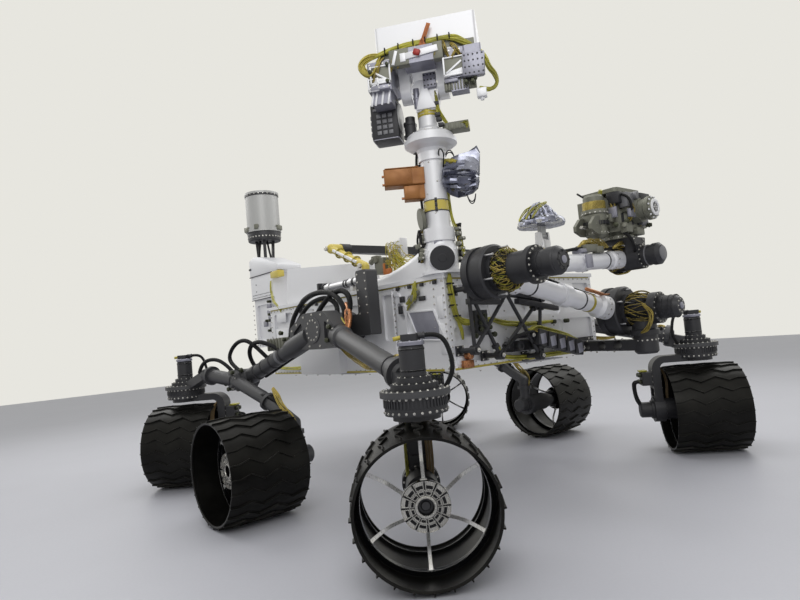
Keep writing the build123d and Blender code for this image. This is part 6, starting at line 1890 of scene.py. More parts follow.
@dataclass
class Head:
    """The camera head's harness, plugs, windows, electronics and bolts, counted in its own turned axes."""

    x: float = 804.0
    y: float = -559.0
    pan: float = 127.9
    low: float = 2092.0
    high: float = 2262.0

    def p(self, ahead: float, left: float, z: float) -> Vector:
        """Return a point: ahead along the cameras' look, left of it, and up."""
        offset = self.turn @ Vector((ahead, left, 0.0))
        return at(self.x + offset.x, self.y + offset.y, z)

    def way(self, ahead: float, left: float, up: float) -> Vector:
        """Return a direction in the head's axes."""
        return (self.turn @ Vector((ahead, left, up))).normalized()

    @property
    def turn(self) -> Matrix:
        """The head's own axes as a matrix."""
        return Matrix.Rotation(math.radians(self.pan), 3, "Z")

    def leaning(self, angle: float) -> Matrix:
        """Return the head's axes, leant about its look by an angle in radians."""
        return self.turn @ Matrix.Rotation(angle, 3, "X")

    def build(self) -> None:
        """Make the head's pieces and those of the pan drive."""
        self._harness()
        self._box()
        self._electronics()
        self._lenses()
        self._yoke()

    def _harness(self) -> None:
        """Lead the yellow harness along the box's lower rim, coil it at the left and loop it at the right."""
        rear = -152
        lime = Loom()
        lime.bundle(
            0.0046, 9, 0.011, 61, self.p(rear, 214, 2118), self.p(rear, 182, 2130), self.p(rear, 120, 2142),
            self.p(rear, 57, 2150), self.p(rear, -50, 2152), self.p(rear, -120, 2154), self.p(rear, -170, 2148),
            self.p(rear - 4, -205, 2122), self.p(rear - 8, -240, 2088), self.p(rear - 10, -262, 2066)
        )
        lime.bundle(
            0.0044, 5, 0.008, 62, self.p(rear - 8, -236, 2090), self.p(rear - 12, -272, 2062),
            self.p(rear - 30, -300, 2016), self.p(rear - 30, -310, 1972), self.p(rear - 14, -336, 1938),
            self.p(rear - 10, -344, 1902), self.p(rear - 10, -318, 1874), self.p(rear - 8, -286, 1880),
            self.p(rear - 6, -262, 1894)
        )
        lime.keep("head_harness", LIME_WRAP, "mast_head")
        coil = Loom()
        for number in range(4):
            grow = 34 + number * 8
            high = self.p(rear - 4 - number * 5, 232, 2080 + grow)
            left = self.p(rear - 8 - number * 5, 232 + grow, 2080)
            low = self.p(rear - 8 - number * 5, 226, 2080 - grow * 1.2)
            right = self.p(rear - 4 - number * 4, 232 - grow * 0.8, 2084)
            coil.bundle(
                0.0036, 3, 0.006, 70 + number, self.p(rear, 170, 2128), high, left, low, right,
                self.p(rear, 176, 2120)
            )
        coil.keep("head_coil", YELLOW_TAPE, "mast_head")
        strands = Loom(3)
        for number, (y0, z0, y1, z1) in enumerate(
            (
                (96, 2134, 132, 2030), (60, 2140, 96, 2046), (20, 2140, -4, 2060), (-110, 2140, -140, 2052),
                (-150, 2120, -196, 2046), (-186, 2090, -150, 2040), (160, 2110, 200, 2020),
                (200, 2060, 214, 1984), (-90, 2100, -66, 2054)
            )
        ):
            strands.bundle(
                0.0026, 5, 0.008, 80 + number, self.p(rear - 2, y0, z0),
                self.p(rear - 20, (2 * y0 + y1) / 3, z0 - (z0 - z1) * 0.2),
                self.p(rear - 24, (y0 + 2 * y1) / 3, z0 - (z0 - z1) * 0.7), self.p(rear - 12, y1, z1)
            )
        strands.keep("head_wires", GOLD_WIRE, "mast_head")
        ties = Form()
        for y, z in ((150, 2137), (86, 2147), (16, 2152), (-40, 2153), (-96, 2154), (-150, 2152), (-222, 2108)):
            ties.box(self.p(rear - 1, y, z), (0.028, 0.006, 0.030), self.turn, 0.002)
        ties.keep("head_ties", BLACK_SLEEVE, "mast_head")
        strap = Form()
        lean = self.leaning(0.42)
        strap.box(self.p(rear - 10, -44, 2186), (0.004, 0.019, 0.092), lean, 0.001)
        strap.box(self.p(rear - 13, -44, 2186), (0.003, 0.006, 0.080), lean, 0.001)
        strap.box(self.p(rear - 20, -18, 2126), (0.005, 0.017, 0.066), lean, 0.001)
        strap.box(self.p(rear - 20, -34, 2130), (0.005, 0.015, 0.050), self.leaning(-0.5), 0.001)
        strap.keep("head_strap", ORANGE_STRAP, "mast_head")
        knob = Form()
        knob.box(self.p(rear - 36, 0, 2092), (0.018, 0.032, 0.028), lean, 0.006)
        knob.keep("head_knob", RED_KNOB, "mast_head")

    def _box(self) -> None:
        """Put bolts, edge strips, dark boxes painted as the shade under the rear rim with its clips, and the
        laser window on the white box.
        """
        steel = Form()
        for x in range(-120, 130, 40):
            steel.bolts([self.p(x, 196.5, self.low + 12)], self.way(0, 1, 0), *SCREW)
            steel.bolts([self.p(x, -270.5, self.low + 12)], self.way(0, -1, 0), *SCREW)
        for y in range(-255, 200, 45):
            steel.bolts([self.p(140.5, y, self.low + 12)], self.way(1, 0, 0), *SCREW)
        for x, y in ((-110, -240), (110, -240), (-110, 166), (110, 166), (0, -240), (0, 166)):
            steel.bolts([self.p(x, y, self.high + 0.3)], UP, *DECK_BOLT)
        steel.keep("head_bolts", BRIGHT_STEEL, "mast_head")
        strips = Form()
        strips.box(self.p(141, -37, self.low + 4), (0.004, 0.462, 0.007), self.turn, 0.001)
        strips.box(self.p(0, 197, self.low + 4), (0.276, 0.004, 0.007), self.turn, 0.001)
        strips.box(self.p(0, -271, self.low + 4), (0.276, 0.004, 0.007), self.turn, 0.001)
        strips.keep("head_edge_strips", YELLOW_TAPE, "mast_head")
        # dark boxes standing for painted shade under the box's rear rim; no recess is modelled here
        shade = Form()
        shade.box(self.p(-144, -37, 2104), (0.008, 0.440, 0.056), self.turn, 0.002)
        shade.box(self.p(-160, 84, 2088), (0.0400, 0.092, 0.078), self.turn, 0.004)
        shade.box(self.p(-160, -94, 2090), (0.0400, 0.046, 0.080), self.turn, 0.004)
        shade.box(self.p(-158, 0, 2058), (0.0360, 0.180, 0.012), self.turn, 0.002)
        shade.keep("head_painted_shade", OLIVE_METAL, "mast_head")
        pale = Form()
        bar = self.leaning(-0.10)
        pale.box(self.p(-181, -20, 2092), (0.007, 0.150, 0.030), bar, 0.002)
        pale.box(self.p(-181, 66, 2082), (0.007, 0.026, 0.040), self.turn, 0.002)
        pale.box(self.p(-182, 104, 2086), (0.006, 0.014, 0.066), self.leaning(0.3), 0.001)
        for y, z, wide, tall in (
            (60, 2112, 0.090, 0.016), (-60, 2118, 0.120, 0.014), (130, 2092, 0.060, 0.020),
            (-150, 2094, 0.050, 0.022), (20, 2090, 0.050, 0.030)
        ):
            pale.box(self.p(-150, y, z), (0.008, wide, tall), self.turn, 0.002)
        pale.keep("head_rim_clips", WHITE_PAINT, "mast_head")
        ahead = self.way(1, 0, 0)
        window = Form()
        window.turned(
            self.p(136, -37, 2180), ahead,
            [(0, 0.076), (0.010, 0.076), (0.013, 0.073), (0.013, 0.062), (0.004, 0.058), (0.004, 0.0)], 64
        )
        window.ring_of_bolts(self.p(149, -37, 2180), ahead, 0.0675, 12, *SCREW)
        window.keep("head_window_rim", MACHINED_GREY, "mast_head")
        glass = Form()
        glass.turned(
            self.p(140.6, -37, 2180), ahead, [(0.0, 0.056), (0.003, 0.056), (0.006, 0.03), (0.007, 0.0)], 48
        )
        glass.keep("head_window", DARK_GLASS, "mast_head")

    def _frame(self, pale: Form, dark: Form, y: float, z: float, wide: float, tall: float, lean: float) -> None:
        """Add a machined frame: a dark pocket, a pale border and a sloping web across it.

        Args:
            pale: the form of the bright parts.
            dark: the form of the pocket.
            y: the frame's middle, left of the axis.
            z: its height.
            wide: its width in metres.
            tall: its height in metres.
            lean: the web's slope.
        """
        reach = -168.0
        dark.box(self.p(reach, y, z), (0.006, wide, tall), self.turn, 0.001)
        half_wide, half_tall = wide * 500 - 4, tall * 500 - 4
        pale.box(self.p(reach - 4, y - half_wide, z), (0.010, 0.008, tall), self.turn, 0.001)
        pale.box(self.p(reach - 4, y + half_wide, z), (0.010, 0.008, tall), self.turn, 0.001)
        pale.box(self.p(reach - 4, y, z - half_tall), (0.010, wide, 0.009), self.turn, 0.001)
        pale.box(self.p(reach - 4, y, z + half_tall), (0.008, wide, 0.006), self.turn, 0.001)
        pale.box(self.p(reach - 4, y, z - 6), (0.006, wide * 0.9, 0.009), self.leaning(lean), 0.001)

    def _electronics(self) -> None:
        """Fit frames, electronics boxes, ribbed plugs and the vented black box at the rear."""
        rear = self.way(-1, 0, 0)
        pale = Form()
        dark = Form()
        self._frame(pale, dark, 178, 2026, 0.098, 0.086, 0.6)
        self._frame(pale, dark, -158, 2006, 0.096, 0.088, -0.6)
        self._frame(pale, dark, 214, 1984, 0.052, 0.060, -0.5)
        pale.box(self.p(-170, -160, 1976), (0.005, 0.074, 0.024), self.leaning(-0.16), 0.002)
        pale.box(self.p(-173, 176, 1998), (0.006, 0.072, 0.020), self.leaning(0.16), 0.002)
        pale.box(self.p(-160, -270, 1866), (0.036, 0.044, 0.040), self.turn, 0.004)
        pale.bar(self.p(-160, -270, 1846), self.p(-160, -270, 1834), 0.010, 0.008, 16, 0.001)
        for y in (150, 180, 210, 228):
            pale.box(self.p(-152, y, 1924), (0.006, 0.009, 0.062), self.leaning(0.2), 0.001)
        pale.keep("head_frames", WHITE_PAINT, "mast_head")
        for y in range(-246, -106, 13):
            dark.box(self.p(-148, y, 1930), (0.012, 0.007, 0.048), self.turn, 0.001)
        dark.box(self.p(-136, -178, 1930), (0.026, 0.144, 0.044), self.turn, 0.002)
        dark.keep("head_pockets", OLIVE_METAL, "mast_head")
        lilac = Form()
        lilac.box(self.p(-186, -247, 1990), (0.022, 0.098, 0.106), self.leaning(0.06), 0.004)
        lilac.box(self.p(-176, -214, 2044), (0.016, 0.028, 0.040), self.turn, 0.003)
        lilac.box(self.p(-172, 184, 1966), (0.014, 0.090, 0.020), self.turn, 0.002)
        lilac.box(self.p(-156, -140, 1950), (0.012, 0.060, 0.022), self.turn, 0.002)
        lilac.keep("head_blocks", MACHINED_GREY, "mast_head")
        spots = Form()
        for y in (-287, -267, -247, -227, -209):
            for z in (1950, 1978, 2006, 2032):
                spots.bolts([self.p(-197.5, y, z)], rear, 0.0026, 0.002)
        spots.keep("head_block_screws", BLACK_ANODISED, "mast_head")
        steel = Form()
        for y in (142, 165, 188, 228):
            steel.bolts([self.p(-165.5, y, 2080), self.p(-175.5, y, 1966)], rear, *WALL_BOLT)
            steel.bolts([self.p(-165.5, -y, 2080), self.p(-165.5, -y, 1970)], rear, *WALL_BOLT)
        steel.keep("head_block_bolts", BRIGHT_STEEL, "mast_head")
        plugs = Form()
        for y, z in (
            (-206, 1950), (-206, 1922), (-236, 1922), (146, 1990), (224, 2044), (142, 2068), (-248, 1936)
        ):
            foot = self.p(-160, y, z)
            plugs.plug(foot, rear, (0.0, 0.026), (0.010, 0.015), 0.0085, 0.008, 0.0105, 16)
        plugs.keep("head_plugs", GREEN_CONNECTOR, "mast_head")
        self._vented()

    def _vented(self) -> None:
        """Wrap the box under the left camera in its black housing: ribs, a grid of vents and a round lid."""
        shell = Form()
        shell.box(self.p(0, 201, 1852), (0.1232, 0.1332, 0.1782), self.turn, 0.010)
        shell.box(self.p(-62, 201, 1930), (0.010, 0.100, 0.020), self.turn, 0.003)
        shell.keep("vented_box", BLACK_ANODISED, "mast_head")
        vents = Form()
        for row in range(4):
            for column in range(3):
                vents.box(
                    self.p(-63, 172 + 28 * column, 1796 + 27 * row), (0.006, 0.021, 0.019), self.turn, 0.002
                )
                vents.box(
                    self.p(-40 + 36 * column, 268, 1796 + 27 * row), (0.027, 0.006, 0.019), self.turn, 0.002
                )
        vents.box(self.p(-64, 201, 1909), (0.007, 0.104, 0.012), self.turn, 0.002)
        vents.keep("vented_box_grid", GRAPHITE_PAINT, "mast_head")
        lid = Form()
        lid.turned(
            self.p(0, 134.6, 1872), self.way(0, -1, 0),
            [(0.0, 0.0), (0.0, 0.070), (0.0058, 0.072), (0.0068, 0.066), (0.0068, 0.0)], 48
        )
        lid.keep("vented_box_lid", SILVER_PAINT, "mast_head")
        top = Form()
        top.box(self.p(-40, 196, 1950), (0.070, 0.100, 0.020), self.turn, 0.004)
        top.box(self.p(-20, 150, 1960), (0.040, 0.030, 0.030), self.turn, 0.004)
        top.keep("vented_box_top", OLIVE_METAL, "mast_head")

    def _lenses(self) -> None:
        """Glaze the two cameras below the box."""
        ahead = self.way(1, 0, 0)
        glass = Form()
        rims = Form()
        for side in (-1, 1):
            y = side * 166
            front = self.p(140, y, 2054.8)
            glass.turned(front, ahead, [(0.0015, 0.016), (0.0035, 0.012), (0.0045, 0.0)], 36)
            rims.ring_of_bolts(self.p(105.5, y, 2054.8), ahead, 0.031, 8, 0.0024, 0.003)
        glass.keep("head_lenses", DARK_GLASS, "mast_head")
        rims.keep("head_lens_bolts", BRIGHT_STEEL, "mast_head")

    def _yoke(self) -> None:
        """Bolt the yoke and the pan disc, tape the neck, and dress the tilt drive and the pan drive."""
        body = "mast_pan"
        steel = Form()
        foot = self.p(0, 0, 0)
        steel.ring_of_bolts(foot + UP * 1.7686, UP, 0.096, 18, *WALL_BOLT)
        for y in (-54, 54):
            for z in (1940, 1965):
                steel.bolts([self.p(-45.5, y, z)], self.way(-1, 0, 0), *SCREW)
        steel.keep("yoke_bolts", BRIGHT_STEEL, body)
        web = Form()
        corners = [self.p(-46, 44, 1880), self.p(-46, -50, 1880), self.p(-46, -6, 2006), self.p(-46, 10, 2006)]
        web.plate(corners, self.way(-1, 0, 0) * 0.012, 0.002)
        web.keep("yoke_web", WHITE_PAINT, body)
        drive = Form()
        drive.box(self.p(-52, -30, 2012), (0.016, 0.062, 0.074), self.turn, 0.003)
        drive.bar(self.p(-42, 40, 1892), self.p(-42, 40, 1986), 0.015, 0.015, 28, 0.002)
        drive.bar(self.p(-42, 40, 1934), self.p(-42, 40, 1944), 0.017, None, 28, 0.001)
        drive.keep("tilt_drive", MACHINED_GREY, body)
        screws = Form()
        for y in (-54, -38, -22, -6):
            for z in (1988, 2014, 2038):
                screws.bolts([self.p(-60.3, y, z)], self.way(-1, 0, 0), 0.0026, 0.002)
        screws.keep("tilt_drive_screws", BLACK_ANODISED, body)
        tape = Form()
        for z, extra in ((1.852, 0.0018), (1.866, 0.0024)):
            tape.band(foot + UP * z, UP, 0.047, 0.048 + extra, 0.012)
        tape.box(self.p(-49, 0, 1868), (0.006, 0.018, 0.030), self.turn, 0.001)
        tape.keep("yoke_tape", YELLOW_TAPE, body)
        lime = Loom(3)
        for number in range(3):
            lime.bundle(
                0.0024, 4, 0.006, 91 + number, self.p(-44, -48 - 2 * number, 1962 - 8 * number),
                self.p(-46, -51 - 2 * number, 1920), self.p(-44, -52 - 2 * number, 1876),
                self.p(-38, -66 - 3 * number, 1840), self.p(-30, -84 - 4 * number, 1806)
            )
        lime.bundle(
            0.0022, 4, 0.007, 95, self.p(-30, -150, 1798), self.p(-38, -176, 1796), self.p(-40, -186, 1784),
            self.p(-34, -182, 1768)
        )
        lime.keep("yoke_harness", LIME_WRAP, body)
        dark = Form()
        for y, z in ((-52, 1846), (-56, 1822), (-50, 1900), (-64, 1796)):
            dark.box(self.p(-44, y, z), (0.022, 0.026, 0.018), self.turn, 0.003)
        dark.keep("yoke_clips", BLACK_ANODISED, body)
        box = Form()
        box.box(self.p(0, -129, 1787), (0.0672, 0.1232, 0.0382), self.turn, 0.004)
        for y in (-160, -136, -112, -88):
            box.box(self.p(-35, y, 1786), (0.005, 0.014, 0.028), self.turn, 0.001)
        box.keep("pan_box_cover", OLIVE_METAL, body)
        ends = Form()
        ends.box(self.p(-4, -189.4, 1786), (0.050, 0.004, 0.026), self.turn, 0.001)
        ends.keep("pan_box_end", YELLOW_TAPE, body)


def crumple(form: Form, depth: float, seed: int) -> None:
    """Push a form's vertices in and out at random along their normals.

    Args:
        form: the form.
        depth: the farthest a vertex moves.
        seed: what the random numbers start from.
    """
    chance = random.Random(seed)
    form.mesh.normal_update()
    for vert in form.mesh.verts:
        vert.co += vert.normal * chance.uniform(-depth, depth)


@dataclass
class Arm:
    """The folded arm's harnesses, posts, bolts, clamps and connectors."""

    shoulder: tuple[float, float] = (430.0, 860.0)
    elbow: tuple[float, float] = (-580.0, 1065.0)
    wrist: tuple[float, float] = (220.0, 1110.0)
    upper_x: float = 1100.0
    fore_x: float = 1285.0
    drum_front: float = 1160.0

    def build(self) -> None:
        """Make the pieces of the mount, the shoulder, the upper arm, the forearm and the wrist."""
        self._base()
        self._upper()
        self._elbow()
        self._fore()
        self._wrist()

    def _cage(
        self, loom: Loom, centre: tuple[float, float], near: float, far: float, inner: float, outer: float,
        seed: int
    ) -> None:
        """Wind a nest of wires round a drive between its drum and its motor.

        Args:
            loom: where the wires go.
            centre: the drive's y and z.
            near: x of the drum's face.
            far: x of the motor.
            inner: radius at which the wires leave the face.
            outer: radius of their bulge.
            seed: what the random numbers start from.
        """
        chance = random.Random(seed)
        y, z = centre
        for n in range(44):
            start = 2 * math.pi * n / 44 + chance.uniform(-0.16, 0.16)
            turn = chance.uniform(-0.5, 0.9)
            bulge = outer + chance.uniform(-8, 3)
            route = []
            for share, radius in (
                (0.0, inner), (0.18, bulge), (0.5, bulge + chance.uniform(-6, 4)), (0.8, bulge - 5),
                (1.0, inner - 8)
            ):
                angle = start + turn * share
                x = near + (far - near) * share
                route.append(at(x, y + radius * math.cos(angle), z + radius * math.sin(angle)))
            loom.run(0.0015 + 0.0009 * chance.random(), *route)

    def _base(self) -> None:
        """Bolt the mount and the turning base, and wind the shoulder drive's wires."""
        steel = Form()
        y, z = self.shoulder
        steel.ring_of_bolts(at(1240, y, 734), UP, 0.0665, 14, 0.0032, 0.004)
        steel.radial_bolts(at(1240, y, 700), UP, 0.060, 16, 0.0032, 0.004)
        for n in range(6):
            for side in (-1, 1):
                steel.bolts(
                    [at(880 + n * 52, y + side * 55, 712 if n % 2 else 650)], Vector((0, side, 0)), *WALL_BOLT
                )
        for dy in (-94, -62, 62, 94):
            steel.bolts([at(868.5, y + dy, 664), at(868.5, y + dy, 724)], AHEAD, 0.0040, 0.005)
        steel.keep("arm_mount_bolts", BRIGHT_STEEL, HULL)
        gold = Loom(3)
        self._cage(gold, self.shoulder, 1186, 1298, 80, 92, 101)
        knots = Loom(3)
        self._cage(knots, self.shoulder, 1188, 1296, 74, 86, 103)
        knots.keep("arm_shoulder_ties", BLACK_SLEEVE, "arm_base")
        gold.bundle(
            0.0034, 5, 0.010, 102, at(1290, y - 84, z + 20), at(1330, y - 92, z - 10), at(1330, y - 96, z - 66),
            at(1300, y - 92, z - 110), at(1262, y - 76, z - 118)
        )
        gold.keep("arm_shoulder_wires", GOLD_WIRE, "arm_base")
        posts = Form()
        for angle in (0.4, 1.5, 2.6, 3.7, 4.8, 5.9):
            spot = at(1184, y + 79 * math.cos(angle), z + 79 * math.sin(angle))
            posts.bar(spot - Vector((0.004, 0, 0)), spot + Vector((0.034, 0, 0)), 0.0045, 0.004, 12, 0.001)
        posts.ring_of_bolts(at(1440.3, y, z), AHEAD, 0.032, 8, *BOLT)
        posts.ring_of_bolts(at(1340.3, y, z), AHEAD, 0.073, 16, *BOLT)
        posts.keep("arm_shoulder_posts", BRIGHT_STEEL, "arm_base")
        bands = Form()
        for x in (1362, 1392, 1416):
            bands.band(at(x, y, z), AHEAD, 0.0562, 0.0590, 0.0068, lip=0.0008)
        bands.keep("arm_shoulder_bands", BLACK_ANODISED, "arm_base")
        end = Form()
        end.turned(at(1440, y, z), AHEAD, [(0, 0.017), (0.006, 0.017), (0.008, 0.014), (0.008, 0.0)], 40)
        end.keep("arm_shoulder_cap", MACHINED_GREY, "arm_base")

    def _upper(self) -> None:
        """Bolt both drums, band the tube, and lay the copper rod and the black cables on it."""
        body = "arm_upper"
        steel = Form()
        for (y, z), radius in ((self.shoulder, 130), (self.elbow, 117)):
            steel.ring_of_bolts(at(1039.7, y, z), -AHEAD, (radius - 14) / 1000, 26, *BOLT)
            steel.ring_of_bolts(at(1053.7, y, z), -AHEAD, (radius - 34) / 1000, 18, *BOLT)
        start, end = at(self.upper_x, *self.shoulder), at(self.upper_x, *self.elbow)
        line = (end - start).normalized()
        steel.radial_bolts(start + line * 0.160, line, 0.062, 14, *BOLT)
        steel.radial_bolts(end - line * 0.160, line, 0.062, 14, *BOLT)
        steel.keep("upper_arm_bolts", BRIGHT_STEEL, body)
        posts = Form()
        y, z = self.elbow
        for angle in (0.35, 1.4, 2.45, 3.5, 4.55, 5.6):
            spot = at(self.drum_front, y + 101 * math.cos(angle), z + 101 * math.sin(angle))
            posts.bar(spot - Vector((0.002, 0, 0)), spot + Vector((0.046, 0, 0)), 0.0042, 0.0038, 12, 0.001)
            posts.bar(spot + Vector((0.040, 0, 0)), spot + Vector((0.046, 0, 0)), 0.0058, None, 6)
        y, z = self.shoulder
        for angle in (0.6, 1.6, 2.7, 3.8, 4.9, 5.8):
            spot = at(self.drum_front, y + 110 * math.cos(angle), z + 110 * math.sin(angle))
            posts.bar(spot - Vector((0.002, 0, 0)), spot + Vector((0.030, 0, 0)), 0.0042, 0.0038, 12, 0.001)
        posts.keep("upper_arm_posts", BARE_ALUMINIUM, body)
        bands = Form()
        for share, wide in ((0.18, 0.0128), (0.34, 0.0088), (0.72, 0.0088)):
            bands.band(start.lerp(end, share), line, 0.0455, 0.0485, wide, 56, 0.0008)
        bands.keep("upper_arm_bands", BLACK_ANODISED, body)
        tape = Form()
        tape.band(start.lerp(end, 0.265), line, 0.0455, 0.0478, 0.0188, 56, 0.0008)
        tape.keep("upper_arm_tape", YELLOW_TAPE, body)
        side = line.cross(AHEAD).normalized()
        over = side if side.z > 0 else -side
        rod = Form()
        foot = start.lerp(end, 0.185) + over * 0.056 + AHEAD * 0.030
        rod.bar(foot, foot + line * 0.150, 0.0095, 0.0095, 20, 0.001)
        rod.box(start.lerp(end, 0.16) + over * 0.060 + AHEAD * 0.012, (0.05, 0.06, 0.008), None, 0.002)
        rod.keep("upper_arm_copper", COPPER_TAPE, body)
        flat = Loom(5)
        for n in range(3):
            flat.run(
                0.0052, start.lerp(end, 0.20) + over * 0.051 + AHEAD * (-0.006 - n * 0.012),
                start.lerp(end, 0.40) + over * 0.0515 + AHEAD * (-0.006 - n * 0.012),
                start.lerp(end, 0.60) + over * 0.0605 + AHEAD * (-0.006 - n * 0.012),
                start.lerp(end, 0.82) + over * 0.068 + AHEAD * (-0.006 - n * 0.012)
            )
        flat.keep("upper_arm_cables", BLACK_SLEEVE, body)

    def _elbow(self) -> None:
        """Wind the elbow's wires, and bolt, band and cap its motor."""
        body = "arm_fore"
        y, z = self.elbow
        gold = Loom(3)
        self._cage(gold, self.elbow, 1184, 1248, 80, 93, 111)
        self._cage(gold, self.elbow, 1186, 1250, 74, 85, 112)
        knots = Loom(3)
        self._cage(knots, self.elbow, 1186, 1250, 78, 89, 114)
        knots.keep("elbow_ties", BLACK_SLEEVE, body)
        lime = Loom(3)
        self._cage(lime, self.elbow, 1188, 1246, 76, 87, 115)
        lime.keep("elbow_lime_wires", LIME_WRAP, body)
        gold.bundle(
            0.0034, 6, 0.012, 113, at(1236, y + 70, z + 62), at(1262, y + 110, z + 74),
            at(1290, y + 160, z + 66), at(1300, y + 220, z + 62), at(1296, y + 300, z + 60)
        )
        gold.keep("elbow_wires", GOLD_WIRE, body)
        steel = Form()
        steel.ring_of_bolts(at(1373.3, y, z), AHEAD, 0.070, 18, *BOLT)
        steel.ring_of_bolts(at(1339.3, y, z), -AHEAD, 0.070, 18, *BOLT)
        steel.ring_of_bolts(at(1182.3, y, z), AHEAD, 0.0775, 20, 0.0028, 0.003)
        steel.keep("elbow_bolts", BRIGHT_STEEL, body)
        cap = Form()
        cap.turned(
            at(1460, y, z), AHEAD,
            [
                (0, 0.0515), (0.001, 0.0530), (0.006, 0.0530), (0.012, 0.047), (0.0205, 0.040), (0.0205, 0.030),
                (0.0235, 0.028), (0.0235, 0.0)
            ], 48
        )
        cap.ring_of_bolts(at(1481, y, z), AHEAD, 0.035, 8, *BOLT)
        cap.keep("elbow_cap", BLACK_ANODISED, body)
        tip = Form()
        tip.turned(at(1483, y, z), AHEAD, [(0, 0.015), (0.003, 0.015), (0.004, 0.012), (0.004, 0.0)], 32)
        tip.keep("elbow_tip", MACHINED_GREY, body)
        bands = Form()
        for x in (1385, 1411):
            bands.band(at(x, y, z), AHEAD, 0.0505, 0.0535, 0.0068, lip=0.0008)
        bands.keep("elbow_bands", BLACK_ANODISED, body)

    def _fore(self) -> None:
        """Band, bolt and clamp the forearm, and lead its cables and wires along it."""
        body = "arm_fore"
        start, end = at(self.fore_x, *self.elbow), at(self.fore_x, *self.wrist)
        line = (end - start).normalized()
        side = AHEAD.cross(line).normalized()
        over = side if side.z > 0 else -side
        steel = Form()
        steel.radial_bolts(start + line * 0.150, line, 0.052, 14, *SLIM_BOLT)
        steel.radial_bolts(start.lerp(end, 0.5) + line * 0.025, line, 0.044, 12, *SLIM_BOLT)
        steel.radial_bolts(end - line * 0.120, line, 0.044, 12, *SLIM_BOLT)
        steel.keep("forearm_bolts", BRIGHT_STEEL, body)
        clamp = Form()
        turn = Matrix((AHEAD, line, over)).transposed()
        clamp.box(start.lerp(end, 0.52) + over * 0.050 + AHEAD * 0.006, (0.052, 0.048, 0.018), turn, 0.003)
        clamp.box(start.lerp(end, 0.52) + AHEAD * 0.047, (0.010, 0.048, 0.060), turn, 0.003)
        clamp.keep("forearm_clamp", MACHINED_GREY, body)
        black = Loom(5)
        for n in range(2):
            black.run(
                0.007, start.lerp(end, 0.24) + over * 0.056 + AHEAD * (-0.010 + n * 0.018),
                start.lerp(end, 0.34) + over * 0.050 + AHEAD * (-0.010 + n * 0.018),
                start.lerp(end, 0.52) + over * 0.066 + AHEAD * (-0.010 + n * 0.018),
                start.lerp(end, 0.70) + over * 0.050 + AHEAD * (-0.010 + n * 0.018),
                start.lerp(end, 0.86) + over * 0.056 + AHEAD * (-0.010 + n * 0.018), **FINE_RIDGES
            )
        black.keep("forearm_cables", BLACK_SLEEVE, body)
        tape = Form()
        for share in (0.30, 0.76):
            tape.band(start.lerp(end, share), line, 0.0372, 0.0398, 0.0088, lip=0.0008)
        tape.keep("forearm_bands", BLACK_ANODISED, body)
        chunk = Form()
        chunk.box(start.lerp(end, 0.60) + over * 0.060 + AHEAD * 0.004, (0.060, 0.100, 0.034), turn, 0.005)
        chunk.box(start.lerp(end, 0.68) + over * 0.052 + AHEAD * 0.020, (0.030, 0.060, 0.030), turn, 0.004)
        chunk.keep("forearm_box", OLIVE_METAL, body)
        nest = Loom(3)
        for n in range(5):
            nest.bundle(
                0.0024, 4, 0.009, 170 + n, start.lerp(end, 0.50 + 0.03 * n) + over * 0.054,
                start.lerp(end, 0.54 + 0.03 * n) + over * 0.092 + AHEAD * 0.010,
                start.lerp(end, 0.60 + 0.03 * n) + over * 0.096 + AHEAD * 0.018,
                start.lerp(end, 0.66 + 0.03 * n) + over * 0.060 + AHEAD * 0.024
            )
        nest.keep("forearm_wires", GOLD_WIRE, body)

    def _wrist(self) -> None:
        """Wind the wrist's harness, hang its two plugs, cap its motor and bolt its fork."""
        y, z = self.wrist
        gold = Loom(3)
        self._cage(gold, self.wrist, 1222, 1318, 58, 71, 121)
        knots = Loom(3)
        self._cage(knots, self.wrist, 1224, 1316, 56, 67, 123)
        knots.keep("wrist_ties", BLACK_SLEEVE, "arm_fore")
        gold.bundle(
            0.0034, 5, 0.010, 122, at(1300, y - 120, z + 50), at(1312, y - 90, z + 66),
            at(1310, y - 40, z + 78), at(1300, y, z + 80)
        )
        gold.keep("wrist_wires", GOLD_WIRE, "arm_fore")
        lime = Form()
        for dy, dz in ((66, 24), (70, -8)):
            spot = at(1335, y + dy, z + dz)
            lime.bar(spot, spot + Vector((0.050, 0.004, 0)), 0.011, 0.010, 18, 0.001)
            lime.bar(spot + Vector((0.016, 0, 0)), spot + Vector((0.024, 0, 0)), 0.013, None, 10)
        lime.keep("wrist_plugs", LIME_WRAP, "arm_wrist")
        steel = Form()
        steel.ring_of_bolts(at(1390.2, y, z), AHEAD, 0.0535, 14, *BOLT)
        steel.ring_of_bolts(at(1480.3, y, z), AHEAD, 0.028, 8, *BOLT)
        for dy in (-44, 44):
            steel.bolts([at(1370, y + dy, zz) for zz in (1150, 1175, 1195)], AHEAD, *BOLT)
        steel.keep("wrist_bolts", BRIGHT_STEEL, "arm_wrist")
        cap = Form()
        cap.turned(at(1480, y, z), AHEAD, [(0, 0.034), (0.004, 0.034), (0.006, 0.030), (0.006, 0.0)], 40)
        cap.band(at(1410, y, z), AHEAD, 0.047, 0.0505, 0.0068, lip=0.0008)
        cap.keep("wrist_cap", GRAPHITE_PAINT, "arm_wrist")
        black = Loom(5)
        black.run(
            0.0075, at(1372, y - 50, z + 20), at(1388, y - 78, z + 44), at(1384, y - 96, z + 84),
            at(1366, y - 100, z + 108), at(1348, y - 96, z + 120), **FINE_RIDGES
        )
        black.keep("wrist_cable", BLACK_SLEEVE, "arm_wrist")


